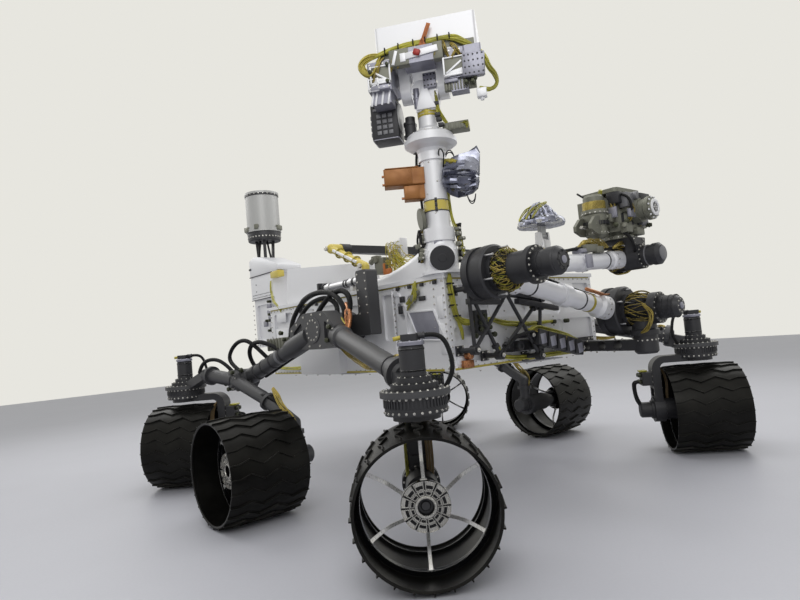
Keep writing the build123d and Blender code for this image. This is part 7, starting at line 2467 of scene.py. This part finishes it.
@dataclass
class Turret:
    """The tool turret's bolts, boxes, foil, wires and the face of its round instrument."""

    x: float = 1270.0
    y: float = 220.0
    low: float = 1205.0
    high: float = 1445.0
    body: str = "arm_turret"

    def p(self, ahead: float, left: float, up: float) -> Vector:
        """Return a point counted from the turret's axis and its foot."""
        return at(self.x + ahead, self.y + left, self.low + up)

    def build(self) -> None:
        """Make the turret's pieces."""
        self._plates()
        self._instrument()
        self._drill()
        self._wires()
        self._bolts()

    def _plates(self) -> None:
        """Put machined covers, olive blocks and the edge of the top plate on the turret."""
        cover = Form()
        for angle in (30, 90, 150, 210, 270, 330):
            way = Vector((math.cos(math.radians(angle)), math.sin(math.radians(angle)), 0.0))
            across = UP.cross(way)
            turn = Matrix((way, across, UP)).transposed()
            cover.box(self.p(0, 0, 90) + way * 0.0945, (0.005, 0.062, 0.060), turn, 0.003)
            cover.box(self.p(0, 0, 165) + way * 0.0945, (0.007, 0.070, 0.052), turn, 0.003)
        cover.box(self.p(112, 40, 190), (0.050, 0.090, 0.040), None, 0.004)
        cover.box(self.p(60, -104, 190), (0.060, 0.050, 0.056), None, 0.004)
        cover.keep("turret_covers", BLACK_ANODISED, self.body)
        grey = Form()
        grey.box(self.p(96, -62, 176), (0.044, 0.070, 0.070), None, 0.004)
        grey.box(self.p(100, 62, 90), (0.030, 0.060, 0.060), None, 0.004)
        grey.bar(self.p(100, -20, 196), self.p(132, -20, 196), 0.022, 0.020, 28, 0.002)
        grey.bar(self.p(84, 112, 150), self.p(84, 126, 150), 0.030, 0.028, 28, 0.002)
        grey.keep("turret_grey_blocks", GRAPHITE_PAINT, self.body)
        silver = Form()
        silver.box(self.p(-12, -10, 242), (0.150, 0.180, 0.004), None, 0.001)
        silver.box(self.p(60, -134, 120), (0.040, 0.012, 0.050), None, 0.002)
        silver.box(self.p(118, -70, 110), (0.018, 0.050, 0.040), None, 0.002)
        silver.bar(self.p(40, -96, 150), self.p(40, -96, 214), 0.014, None, 24, 0.001)
        silver.keep("turret_silver_parts", MACHINED_GREY, self.body)
        olive = Form()
        olive.box(self.p(-30, 96, 120), (0.090, 0.020, 0.080), None, 0.004)
        olive.box(self.p(92, -40, 140), (0.036, 0.080, 0.040), None, 0.004)
        for x, y, z, wide, deep, tall in (
            (-20, -118, 60, 0.070, 0.050, 0.060), (30, -128, 96, 0.050, 0.040, 0.040),
            (92, -84, 44, 0.036, 0.050, 0.050), (84, 20, 30, 0.050, 0.070, 0.036),
            (-70, -96, 120, 0.060, 0.050, 0.070)
        ):
            olive.box(self.p(x, y, z), (wide, deep, tall), None, 0.004)
            olive.bar(self.p(x, y, z), self.p(x + 8, y - 36, z + 8), 0.012, 0.010, 18, 0.001)
        olive.keep("turret_olive_blocks", OLIVE_METAL, self.body)

    def _instrument(self) -> None:
        """Face the round instrument with its white ring, dark mesh and cross."""
        face = self.p(198, 0, 125)
        ring = Form()
        ring.turned(
            face, AHEAD,
            [(-0.002, 0.040), (0.003, 0.040), (0.005, 0.036), (0.005, 0.026), (0.001, 0.024), (0.001, 0.0)], 48
        )
        ring.ring_of_bolts(self.p(192.5, 0, 125), AHEAD, 0.050, 12, *BOLT)
        ring.keep("instrument_ring", WHITE_PAINT, self.body)
        mesh = Form()
        mesh.turned(face + AHEAD * 0.0012, AHEAD, [(0.0, 0.0235), (0.0016, 0.0225), (0.0016, 0.0)], 36)
        mesh.keep("instrument_window", DARK_GLASS, self.body)
        cross = Form()
        cross.box(face + AHEAD * 0.0035, (0.002, 0.046, 0.003), None, 0.0)
        cross.box(face + AHEAD * 0.0035, (0.002, 0.003, 0.046), None, 0.0)
        cross.turned(
            face + AHEAD * 0.003, AHEAD, [(0.0, 0.013), (0.001, 0.013), (0.001, 0.0105), (0.0, 0.0105)], 32
        )
        cross.keep("instrument_cross", BARE_ALUMINIUM, self.body)

    def _drill(self) -> None:
        """Put flutes, a gold winding and a bit on the drill and its fork."""
        centre = self.p(-14, -172, 0)
        gold = Form()
        gold.turned(
            centre + UP * 0.136, UP,
            [
                (0, 0.0475), (0.001, 0.0535), (0.012, 0.0545), (0.024, 0.0535), (0.036, 0.0545),
                (0.044, 0.0530), (0.045, 0.0475)
            ], 56
        )
        gold.keep("drill_winding", GOLD_WIRE, self.body)
        flutes = Form()
        flutes.fluted(centre + UP * 0.066, UP, 0.060, 0.018, 40, 0.003)
        flutes.keep("drill_flutes", BLACK_ANODISED, self.body)
        steel = Form()
        steel.bar(centre + UP * 0.004, centre - UP * 0.030, 0.012, 0.008, 20, 0.001)
        steel.bar(self.p(-14, -300, 53), self.p(-14, -240, 53), 0.008, None, 16, 0.001)
        for x in (-58, 22):
            steel.ring_of_bolts(self.p(x, -218, 62), Vector((-1 if x < 0 else 1, 0, 0)), 0.020, 6, 0.003, 0.010)
        steel.ring_of_bolts(centre + UP * 0.2085, UP, 0.030, 8, *SLIM_BOLT)
        steel.radial_bolts(centre + UP * 0.125, UP, 0.060, 16, 0.0026, 0.003)
        steel.radial_bolts(centre + UP * 0.030, UP, 0.052, 16, 0.0026, 0.003)
        steel.keep("drill_steel", BRIGHT_STEEL, self.body)

    def _wires(self) -> None:
        """Lead wires and plugs over the turret's sides."""
        gold = Loom(3)
        for n, (angle, z0, z1) in enumerate(
            (
                (20, 200, 60), (-40, 190, 70), (-78, 212, 90), (75, 200, 60), (130, 190, 70), (200, 190, 60),
                (250, 200, 80)
            )
        ):
            way = Vector((math.cos(math.radians(angle)), math.sin(math.radians(angle)), 0.0))
            side = UP.cross(way)
            base = self.p(0, 0, 0)
            gold.bundle(
                0.0030, 5, 0.009, 130 + n, base + way * 0.100 + UP * z0 / 1000,
                base + way * 0.124 + side * 0.016 + UP * (z0 - 20) / 1000,
                base + way * 0.132 + side * 0.034 + UP * (z0 + z1) / 2000,
                base + way * 0.124 + side * 0.020 + UP * (z1 + 20) / 1000,
                base + way * 0.100 + side * 0.010 + UP * z1 / 1000
            )
        gold.keep("turret_wires", GOLD_WIRE, self.body)
        black = Loom(5)
        black.run(
            0.0045, self.p(-92, -120, 226), self.p(-108, -150, 246), self.p(-90, -180, 240),
            self.p(-60, -176, 214), **FINE_RIDGES
        )
        black.run(
            0.006, self.p(100, 60, 215), self.p(140, 70, 196), self.p(150, 50, 150), self.p(140, 30, 110),
            self.p(116, 20, 96), **FINE_RIDGES
        )
        black.run(
            0.006, self.p(60, -90, 214), self.p(110, -100, 200), self.p(136, -92, 160), self.p(126, -84, 120),
            **FINE_RIDGES
        )
        black.keep("turret_cables", BLACK_SLEEVE, self.body)
        plugs = Form()
        for ahead, left, up in (
            (104, -96, 70), (120, 84, 60), (98, 100, 210), (64, -126, 60), (-60, -110, 200)
        ):
            spot = self.p(ahead, left, up)
            out = Vector((ahead, left, 0)).normalized()
            plugs.plug(spot, out, (-0.016, 0.012), (-0.004, 0.003), 0.0105, 0.0095, 0.0125, 16)
        plugs.keep("turret_plugs", GREEN_CONNECTOR, self.body)
        lime = Form()
        lime.bar(self.p(10, -150, 212), self.p(24, -160, 234), 0.010, 0.009, 16, 0.001)
        lime.keep("turret_lime_cap", LIME_WRAP, self.body)

    def _bolts(self) -> None:
        """Bolt the top plate, the turning ring and the covers."""
        steel = Form()
        top = self.high - self.low + 0.3
        for dx in (-95, -40, 15, 70):
            steel.bolts([self.p(dx - 6, -117, top), self.p(dx - 6, 97, top)], UP, 0.0032, 0.004)
        for dy in (-80, -35, 10, 55):
            steel.bolts([self.p(-99, dy, top), self.p(75, dy, top)], UP, 0.0032, 0.004)
        steel.radial_bolts(self.p(0, 0, 8), UP, 0.084, 22, 0.0026, 0.003)
        steel.ring_of_bolts(self.p(0, 0, 239), UP, 0.060, 12, 0.003, 0.010)
        for dz in (70, 90, 110, 130, 150, 170, 190):
            steel.bolts([self.p(92.5, -22, dz), self.p(92.5, 100, dz)], AHEAD, *SLIM_BOLT)
        steel.keep("turret_bolts", BRIGHT_STEEL, self.body)


@dataclass
class StowFrame:
    """The stow frame's nuts, cases, harness, cables and collars."""

    x: float = 950.0

    def build(self) -> None:
        """Make the frame's pieces."""
        steel = Form()
        points = ((-553, 1018), (-33, 960), (-546, 738), (-381, 702), (-81, 675), (-144, 779), (270, 684))
        for y, z in points:
            foot = at(self.x + 17, y, z)
            steel.bar(foot, foot + AHEAD * 0.010, 0.011, None, 6, 0.001)
            steel.bar(foot + AHEAD * 0.008, foot + AHEAD * 0.016, 0.005, 0.005, 12, 0.001)
        for y, z in points[:5]:
            steel.bolts([at(860.3, y + dy, z + dz) for dy in (-17, 17) for dz in (-17, 17)], AHEAD, *BOLT)
        steel.keep("stow_nuts", BRIGHT_STEEL, HULL)
        start, end = at(self.x, -144, 779), at(self.x, 270, 684)
        line = (end - start).normalized()
        cases = Form()
        faces = Form()
        for number in range(5):
            middle = start.lerp(end, 0.12 + 0.185 * number) + AHEAD * 0.020 - UP * 0.004
            turn = Matrix((AHEAD, line, AHEAD.cross(line))).transposed()
            cases.box(middle, (0.046, 0.066, 0.078), turn, 0.004)
            faces.box(
                middle + AHEAD * 0.0235 - UP * 0.006, (0.004, 0.042, 0.050),
                turn @ Matrix.Rotation(0.35, 3, "X"), 0.002
            )
        for y0, z0, y1, z1 in ((-569, 958, -361, 950), (-229, 950, 92, 904)):
            a, b = at(self.x + 6, y0, z0), at(self.x + 6, y1, z1)
            along = (b - a).normalized()
            turn = Matrix((AHEAD, along, AHEAD.cross(along))).transposed()
            cases.box(a.lerp(b, 0.5), (0.030, (b - a).length, 0.026), turn, 0.003)
        cases.keep("stow_cases", BLACK_ANODISED, HULL)
        faces.keep("stow_case_faces", MACHINED_GREY, HULL)
        lime = Loom()
        for n in range(3):
            lime.bundle(
                0.0042, 4, 0.010, 150 + n, at(self.x - 8 + n * 8, -160, 800),
                at(self.x - 6 + n * 8, -120, 812 + n * 5), at(self.x - 8 + n * 8, -20, 790 + n * 5),
                at(self.x - 6 + n * 8, 90, 762 + n * 4), at(self.x - 8 + n * 8, 190, 738 + n * 4),
                at(self.x - 10, 290, 712), at(self.x - 50, 330, 700)
            )
        lime.keep("stow_harness", LIME_WRAP, HULL)
        gold = Loom(3)
        for n in range(9):
            y = -130 + n * 44
            z = 792 - n * 10
            gold.bundle(
                0.003, 3, 0.006, 160 + n, at(self.x + 4, y, z), at(self.x + 30, y + 10, z + 14),
                at(self.x + 34, y + 26, z - 4), at(self.x + 8, y + 34, z - 14)
            )
        gold.keep("stow_wires", GOLD_WIRE, HULL)
        collars = Form()
        for (y0, z0), (y1, z1) in (
            ((-553, 1018), (-33, 960)), ((-553, 1018), (-381, 702)), ((-33, 960), (-381, 702)),
            ((-33, 960), (-81, 675))
        ):
            a, b = at(self.x, y0, z0), at(self.x, y1, z1)
            way = (b - a).normalized()
            for share in (0.16, 0.84):
                collars.band(a.lerp(b, share), way, 0.009, 0.0185, 0.015, 28)
        collars.keep("stow_collars", BLACK_ANODISED, HULL)
        black = Loom(5)
        black.run(
            0.007, at(self.x + 10, -520, 1010), at(self.x + 24, -440, 1020), at(self.x + 26, -300, 1004),
            at(self.x + 26, -160, 990), at(self.x + 12, -60, 972), **FINE_RIDGES
        )
        black.run(
            0.0065, at(self.x + 12, -380, 712), at(self.x + 20, -300, 770), at(self.x + 22, -190, 800),
            at(self.x + 20, -100, 790), at(self.x + 10, -60, 720), at(self.x, -60, 680), **FINE_RIDGES
        )
        black.keep("stow_cables", BLACK_SLEEVE, HULL)


@dataclass
class Rear:
    """The fittings of the power unit, the tower, the relay antenna and the hazard cameras."""

    power_x: float = -1290.0
    power_z: float = 1000.0
    power_lean: float = 25.0
    tower_wall: float = -560.4
    relay: tuple[float, float] = (-1100.0, -472.0)

    def build(self) -> None:
        """Make the pieces at the back and the hazard cameras' glass."""
        self._tower()
        self._relay()
        self._power()
        self._hazard()

    def _tower(self) -> None:
        """Bolt the tower and the amber block, and lead cables up to the antenna."""
        steel = Form()
        side = -PORT
        wall = self.tower_wall
        for z in range(870, 1170, 34):
            steel.bolts([at(-1176, wall, z), at(-876, wall, z)], side, *WALL_BOLT)
        for x in range(-1150, -880, 40):
            steel.bolts([at(x, wall, 856)], side, *WALL_BOLT)
        for y in range(-540, -390, 30):
            steel.bolts([at(-861.6, y, 870)], AHEAD, *BOLT)
        steel.keep("tower_bolts", BRIGHT_STEEL, HULL)
        black = Loom(5)
        black.run(
            0.008, at(-1070, -540, 1360), at(-1090, -534, 1440), at(-1100, -520, 1540), at(-1100, -500, 1640),
            at(-1100, -490, 1668), **RIDGES
        )
        black.run(
            0.007, at(-1040, -430, 1350), at(-1060, -440, 1430), at(-1090, -452, 1560), at(-1098, -462, 1668),
            **RIDGES
        )
        black.keep("tower_cables", BLACK_SLEEVE, HULL)
        amber = Form()
        amber.box(at(-826, -540, 1330), (0.110, 0.050, 0.044), None, 0.004)
        amber.keep("tower_amber_block", AMBER_FILM, HULL)
        cap = Form()
        outline = [
            (-1196, 1351), (-1196, 1470), (-1120, 1492), (-1010, 1476), (-770, 1392), (-770, 1356), (-858, 1351)
        ]
        cap.plate([at(x, -562, z) for x, z in outline], Vector((0.0, 0.182, 0.0)), 0.003)
        cap.keep("tower_cap", WHITE_PAINT, HULL)
        seams = Form()
        seams.box(at(-1030, -563.5, 1351), (0.340, 0.004, 0.006), None, 0.001)
        seams.box(at(-1020, -563.5, 1180), (0.330, 0.004, 0.005), None, 0.001)
        seams.box(at(-1186, -563.5, 1410), (0.030, 0.004, 0.014), None, 0.001)
        seams.keep("tower_seams", BLACK_ANODISED, HULL)
        dots = Form()
        for z in (1196, 1216):
            dots.bolts([at(-1170 + 19 * n, -560.5, z) for n in range(16)], side, 0.0024, 0.002)
        dots.bolts([at(-1110, -560.5, z) for z in (1240, 1290)], side, *SCREW)
        dots.keep("tower_dots", BLACK_ANODISED, HULL)
        fittings = Form()
        for x, z, w, h in (
            (-925, 1120, 0.050, 0.026), (-925, 1080, 0.050, 0.022), (-920, 1040, 0.036, 0.022),
            (-990, 1000, 0.050, 0.040)
        ):
            fittings.box(at(x, -566, z), (w, 0.014, h), None, 0.002)
        fittings.keep("tower_fittings", MACHINED_GREY, HULL)
        plugs = Form()
        for x, z in ((-905, 1150), (-905, 1060), (-905, 1020), (-950, 1020), (-880, 960), (-920, 950)):
            plugs.bar(at(x, -560, z), at(x, -590, z), 0.010, 0.009, 16, 0.001)
        plugs.keep("tower_plugs", GREEN_CONNECTOR, HULL)
        lime = Loom(3)
        for n in range(2):
            lime.bundle(
                0.0018, 3, 0.005, 180 + n, at(-880 + 9 * n, -566, 1290), at(-872 + 9 * n, -578, 1240),
                at(-850 + 16 * n, -582, 1190 - 6 * n), at(-800 + 20 * n, -600, 1136 - 6 * n),
                at(-740 + 20 * n, -612, 1120 - 12 * n), at(-700 + 12 * n, -606, 1070 - 12 * n)
            )
        lime.keep("tower_harness", LIME_WRAP, HULL)

    def _relay(self) -> None:
        """Band and bolt the relay antenna and rim its top."""
        foot = at(*self.relay, 0)
        rim = Form()
        rim.turned(
            foot + UP * 1.930, UP,
            [(0, 0.1175), (0.001, 0.1205), (0.022, 0.1205), (0.0295, 0.117), (0.0302, 0.100)], 72
        )
        rim.band(foot + UP * 1.670, UP, 0.1175, 0.1205, 0.015, 72)
        rim.turned(
            foot + UP * 1.606, UP,
            [
                (0, 0.070), (0, 0.112), (0.004, 0.116), (0.060, 0.120), (0.064, 0.118), (0.064, 0.070),
                (0, 0.070)
            ], 72
        )
        rim.keep("relay_rims", BLACK_ANODISED, HULL)
        dots = Form()
        dots.radial_bolts(foot + UP * 1.632, UP, 0.1175, 30, 0.0036, 0.003)
        dots.keep("relay_base_bolts", BRIGHT_STEEL, HULL)
        fittings = Form()
        for angle, wide, low in (
            (-2.25, 0.080, 1.696), (-0.9, 0.030, 1.700), (-1.7, 0.040, 1.690), (0.6, 0.060, 1.696),
            (2.4, 0.060, 1.694)
        ):
            out = Vector((math.cos(angle), math.sin(angle), 0.0))
            turn = Matrix((out, UP.cross(out), UP)).transposed()
            fittings.box(foot + UP * low + out * 0.122, (0.024, wide, 0.034), turn, 0.003)
        fittings.keep("relay_fittings", OLIVE_METAL, HULL)
        steel = Form()
        steel.radial_bolts(foot + UP * 1.677, UP, 0.1203, 24, *BOLT)
        steel.radial_bolts(foot + UP * 1.942, UP, 0.1203, 24, *BOLT)
        steel.keep("relay_bolts", BRIGHT_STEEL, HULL)

    def _power(self) -> None:
        """Bolt the power unit's end, and lead its tubes to the heat exchangers."""
        lean = math.radians(self.power_lean)
        axis = Vector((-math.cos(lean), 0.0, math.sin(lean)))
        centre = at(self.power_x, 0, self.power_z)
        steel = Form()
        for reach in (-0.24, -0.08, 0.08, 0.24):
            steel.radial_bolts(centre + axis * reach, axis, 0.131, 16, *DECK_BOLT)
        steel.ring_of_bolts(centre + axis * 0.2805, axis, 0.10, 16, 0.004, 0.006)
        steel.keep("power_bolts", BRIGHT_STEEL, HULL)
        pipes = Loom(6)
        for side in (-1, 1):
            for drop in (0, 26):
                pipes.run(
                    0.007, at(-1100, side * 320, 1120 - drop), at(-1040, side * 318, 1130 - drop),
                    at(-980, side * 300, 1120 - drop), at(-930, side * 280, 1070 - drop),
                    at(-880, side * 270, 1040 - drop), at(-850, side * 268, 1036 - drop)
                )
        pipes.keep("coolant_tubes", BARE_ALUMINIUM, HULL)

    def _hazard(self) -> None:
        """Glaze the hazard cameras, front and rear."""
        glass = Form()
        for y in (-180, -60, 60, 180):
            glass.turned(at(890, y, 730), AHEAD, [(0.0, 0.012), (0.003, 0.008), (0.004, 0.0)], 28)
        for y in (-500, -420, 420, 500):
            glass.turned(at(-890, y, 750), -AHEAD, [(0.0, 0.012), (0.003, 0.008), (0.004, 0.0)], 28)
        glass.keep("hazard_lenses", DARK_GLASS, HULL)


@dataclass
class HighGain:
    """The high-gain antenna's foil cover, straps, tiles and bolts."""

    x: float = 620.0
    y: float = 500.0
    panel: float = 1425.0

    def build(self) -> None:
        """Make the dish's pieces."""
        back = Form()
        outline = [
            (-0.001, 0.0), (-0.001, 0.142), (0.006, 0.147), (0.030, 0.136), (0.050, 0.104), (0.080, 0.084),
            (0.112, 0.062), (0.138, 0.032), (0.142, 0.0)
        ]
        middle = at(self.x, self.y, self.panel)
        back.turned(middle, UP, outline, 26)
        crumple(back, 0.010, 171)
        bmesh.ops.subdivide_edges(back.mesh, edges=back.mesh.edges[:], cuts=1, use_grid_fill=True)
        crumple(back, 0.004, 172)
        for vert in back.mesh.verts:
            vert.co.z = max(vert.co.z, middle.z - 0.001)
            away = Vector((vert.co.x - middle.x, vert.co.y - middle.y, 0.0))
            if away.length > 0.147:
                vert.co -= away * (1.0 - 0.147 / away.length)
        back.keep("dish_foil", SILVER_FOIL, "dish_tilt", smooth=8.0)
        tape = Loom(3)
        for n in range(3):
            tape.bundle(
                0.0032, 3, 0.010, 190 + n, at(self.x - 70 + 50 * n, self.y - 120, self.panel + 40),
                at(self.x - 50 + 50 * n, self.y - 90, self.panel + 92),
                at(self.x - 20 + 40 * n, self.y - 50, self.panel + 124),
                at(self.x + 30 * n, self.y - 10, self.panel + 134)
            )
        tape.keep("dish_straps", LIME_WRAP, "dish_tilt")
        tiles = Form()
        for row in range(-4, 5):
            for column in range(-4, 5):
                y, x = row * 30.0, column * 30.0
                if math.hypot(x, y) < 125.0:
                    tiles.box(
                        at(self.x + x, self.y + y, self.panel + 11.6), (0.026, 0.026, 0.0022), None, 0.0006
                    )
        tiles.keep("dish_tiles", GRAPHITE_PAINT, "dish_tilt")
        steel = Form()
        steel.ring_of_bolts(at(self.x, self.y, self.panel + 11), UP, 0.142, 18, *BOLT)
        steel.keep("dish_bolts", BRIGHT_STEEL, "dish_tilt")
        foot = Form()
        foot.ring_of_bolts(at(self.x, self.y, 1112), UP, 0.061, 10, *DECK_BOLT)
        foot.radial_bolts(at(self.x, self.y, 1222), UP, 0.050, 12, *BOLT)
        foot.keep("dish_foot_bolts", BRIGHT_STEEL, HULL)
        turn = Form()
        turn.radial_bolts(at(self.x, self.y, 1252), UP, 0.050, 12, *BOLT)
        turn.keep("dish_turn_bolts", BRIGHT_STEEL, "dish_turn")


@dataclass
class Studio:
    """Floor, lights, backdrop colour and the camera at the photograph's angle."""

    eye: tuple[float, float, float] = (2.8141, -2.487, 0.825)
    yaw: float = 139.91
    pitch: float = 3.62
    roll: float = -5.06
    focal: float = 26.4
    sensor: float = 36.0
    floor_size: float = 30.0
    floor_colour: tuple[float, float, float] = (0.62, 0.62, 0.66)
    wall_colour: tuple[float, float, float] = (0.80, 0.79, 0.74)

    def build(self) -> None:
        """Make the floor, the world, the lamps and the camera."""
        self._floor()
        self._world()
        self._lamps()
        self._camera()
        bpy.context.scene.view_settings.view_transform = "Standard"

    def _floor(self) -> None:
        """Lay the plain pale floor."""
        form = bmesh.new()
        bmesh.ops.create_grid(form, x_segments=1, y_segments=1, size=self.floor_size / 2)
        mesh = bpy.data.meshes.new("studio_floor")
        form.to_mesh(mesh)
        form.free()
        floor = bpy.data.objects.new("studio_floor", mesh)
        bpy.context.scene.collection.objects.link(floor)
        finish = Finish(
            "floor_paint", self.floor_colour, tuple(c * 0.97 for c in self.floor_colour), 0.5, patch=1.2,
            grain=90.0, bump=0.01
        )
        mesh.materials.append(finish.material())

    def _world(self) -> None:
        """Light the world plainly, and show the camera and reflections a pale wall."""
        world = bpy.data.worlds.new("studio_world")
        bpy.context.scene.world = world
        world.use_nodes = True
        nodes = world.node_tree.nodes
        links = world.node_tree.links
        sky = nodes["Background"]
        sky.inputs["Color"].default_value = (0.95, 0.97, 1.0, 1.0)
        sky.inputs["Strength"].default_value = 0.40
        wall = shader_node(nodes, "Background", Color=(*self.wall_colour, 1.0), Strength=1.0)
        ray = nodes.new("ShaderNodeLightPath")
        choose = nodes.new("ShaderNodeMixShader")
        seen = nodes.new("ShaderNodeMath")
        seen.operation = "MAXIMUM"
        either = nodes.new("ShaderNodeMath")
        either.operation = "MAXIMUM"
        links.new(ray.outputs["Is Camera Ray"], seen.inputs[0])
        links.new(ray.outputs["Is Glossy Ray"], seen.inputs[1])
        links.new(seen.outputs["Value"], either.inputs[0])
        links.new(ray.outputs["Is Transmission Ray"], either.inputs[1])
        links.new(either.outputs["Value"], choose.inputs["Fac"])
        links.new(sky.outputs["Background"], choose.inputs[1])
        links.new(wall.outputs["Background"], choose.inputs[2])
        links.new(choose.outputs["Shader"], nodes["World Output"].inputs["Surface"])

    def _lamps(self) -> None:
        """Hang wide soft lamps, as the bright ceiling of a clean room."""
        for name, place, aim, size, power in (
            ("ceiling_front", (4.0, -3.6, 4.4), (0.4, -0.4, 0.6), 3.4, 85.0),
            ("ceiling_port", (1.0, 4.0, 4.4), (0.2, 0.0, 0.6), 3.0, 60.0),
            ("ceiling_rear", (-4.0, -1.5, 4.0), (0.0, 0.0, 0.8), 3.0, 55.0),
            ("ceiling_top", (0.3, -0.4, 5.0), (0.3, -0.3, 0.0), 3.6, 50.0)
        ):
            lamp = bpy.data.lights.new(name, "AREA")
            lamp.shape = "SQUARE"
            lamp.size = size
            lamp.energy = power
            holder = bpy.data.objects.new(name, lamp)
            holder.location = place
            holder.rotation_euler = (Vector(place) - Vector(aim)).to_track_quat("Z", "Y").to_euler()
            bpy.context.scene.collection.objects.link(holder)

    def _camera(self) -> None:
        """Stand the camera where the photograph was taken."""
        yaw, pitch, roll = (math.radians(v) for v in (self.yaw, self.pitch, self.roll))
        ahead = Vector((math.cos(pitch) * math.cos(yaw), math.cos(pitch) * math.sin(yaw), math.sin(pitch)))
        right = ahead.cross(UP).normalized()
        up = right.cross(ahead)
        right, up = (
            right * math.cos(roll) + up * math.sin(roll), -right * math.sin(roll) + up * math.cos(roll)
        )
        lens = bpy.data.cameras.new("photo_camera")
        lens.sensor_width = self.sensor
        lens.lens = self.focal
        camera = bpy.data.objects.new("photo_camera", lens)
        turn = Matrix((right, up, -ahead)).transposed().to_4x4()
        camera.matrix_world = Matrix.Translation(self.eye) @ turn
        bpy.context.scene.collection.objects.link(camera)
        bpy.context.scene.camera = camera


@dataclass
class Dressing:
    """Gives every shown CAD node its finish."""

    finishes: dict[str, Finish] = field(default_factory=lambda: dict(NODE_FINISH))

    def dress(self, nodes: dict[str, bpy.types.Object]) -> None:
        """Assign a material to each CAD node.

        Args:
            nodes: the frame's nodes by name.
        """
        for name, node in nodes.items():
            finish = self.finishes.get(name, BLACK_ANODISED)
            if len(node.material_slots) == 0:
                node.data.materials.append(finish.material())
            for place in node.material_slots:
                place.link = "OBJECT"
                place.material = finish.material()


def corner_wheels() -> list[Wheel]:
    """Return the six wheels, each at its axle.

    Returns:
        The wheels.
    """
    wheels = []
    middle = (("mid_right", 0.0, -1220.0, 0.0), ("mid_left", 0.0, 1220.0, 0.0))
    for name, x, y, toe in (*CORNERS, *middle):
        side = math.copysign(1.0, y)
        turn = math.radians(toe)
        axle = Vector((math.sin(turn), side * math.cos(turn), 0.0))
        wheels.append(Wheel(name, at(x, y, AXLE_HEIGHT), axle, f"wheel_{name}"))
    return wheels


def steered_corners() -> list[SteeredCorner]:
    """Return the four steered corners.

    Returns:
        The corners.
    """
    return [SteeredCorner(*corner, f"steer_{corner[0]}") for corner in CORNERS]


def suspensions() -> list[Suspension]:
    """Return both sides' rocker and bogie.

    Returns:
        The two sides.
    """
    return [Suspension("right", -1.0), Suspension("left", 1.0)]


def assemblies() -> list[Chassis | Deck | Mast | Head | Arm | Turret | StowFrame | Rear | HighGain]:
    """Return the assemblies of which there is one each.

    Returns:
        The assemblies.
    """
    return [Chassis(), Deck(), Mast(), Head(), Arm(), Turret(), StowFrame(), Rear(), HighGain()]


def main() -> None:
    """Load the frame, build every class and report it."""
    logging.basicConfig(level=logging.INFO, format="%(message)s")
    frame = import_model()
    Studio().build()
    Dressing().dress(frame["nodes"])
    log.info("nodes dressed: %d", len(frame["nodes"]))
    for part in (*corner_wheels(), *steered_corners(), *suspensions(), *assemblies()):
        part.build()
        log.info("%s built", type(part).__name__)


if __name__ == "__main__":
    main()
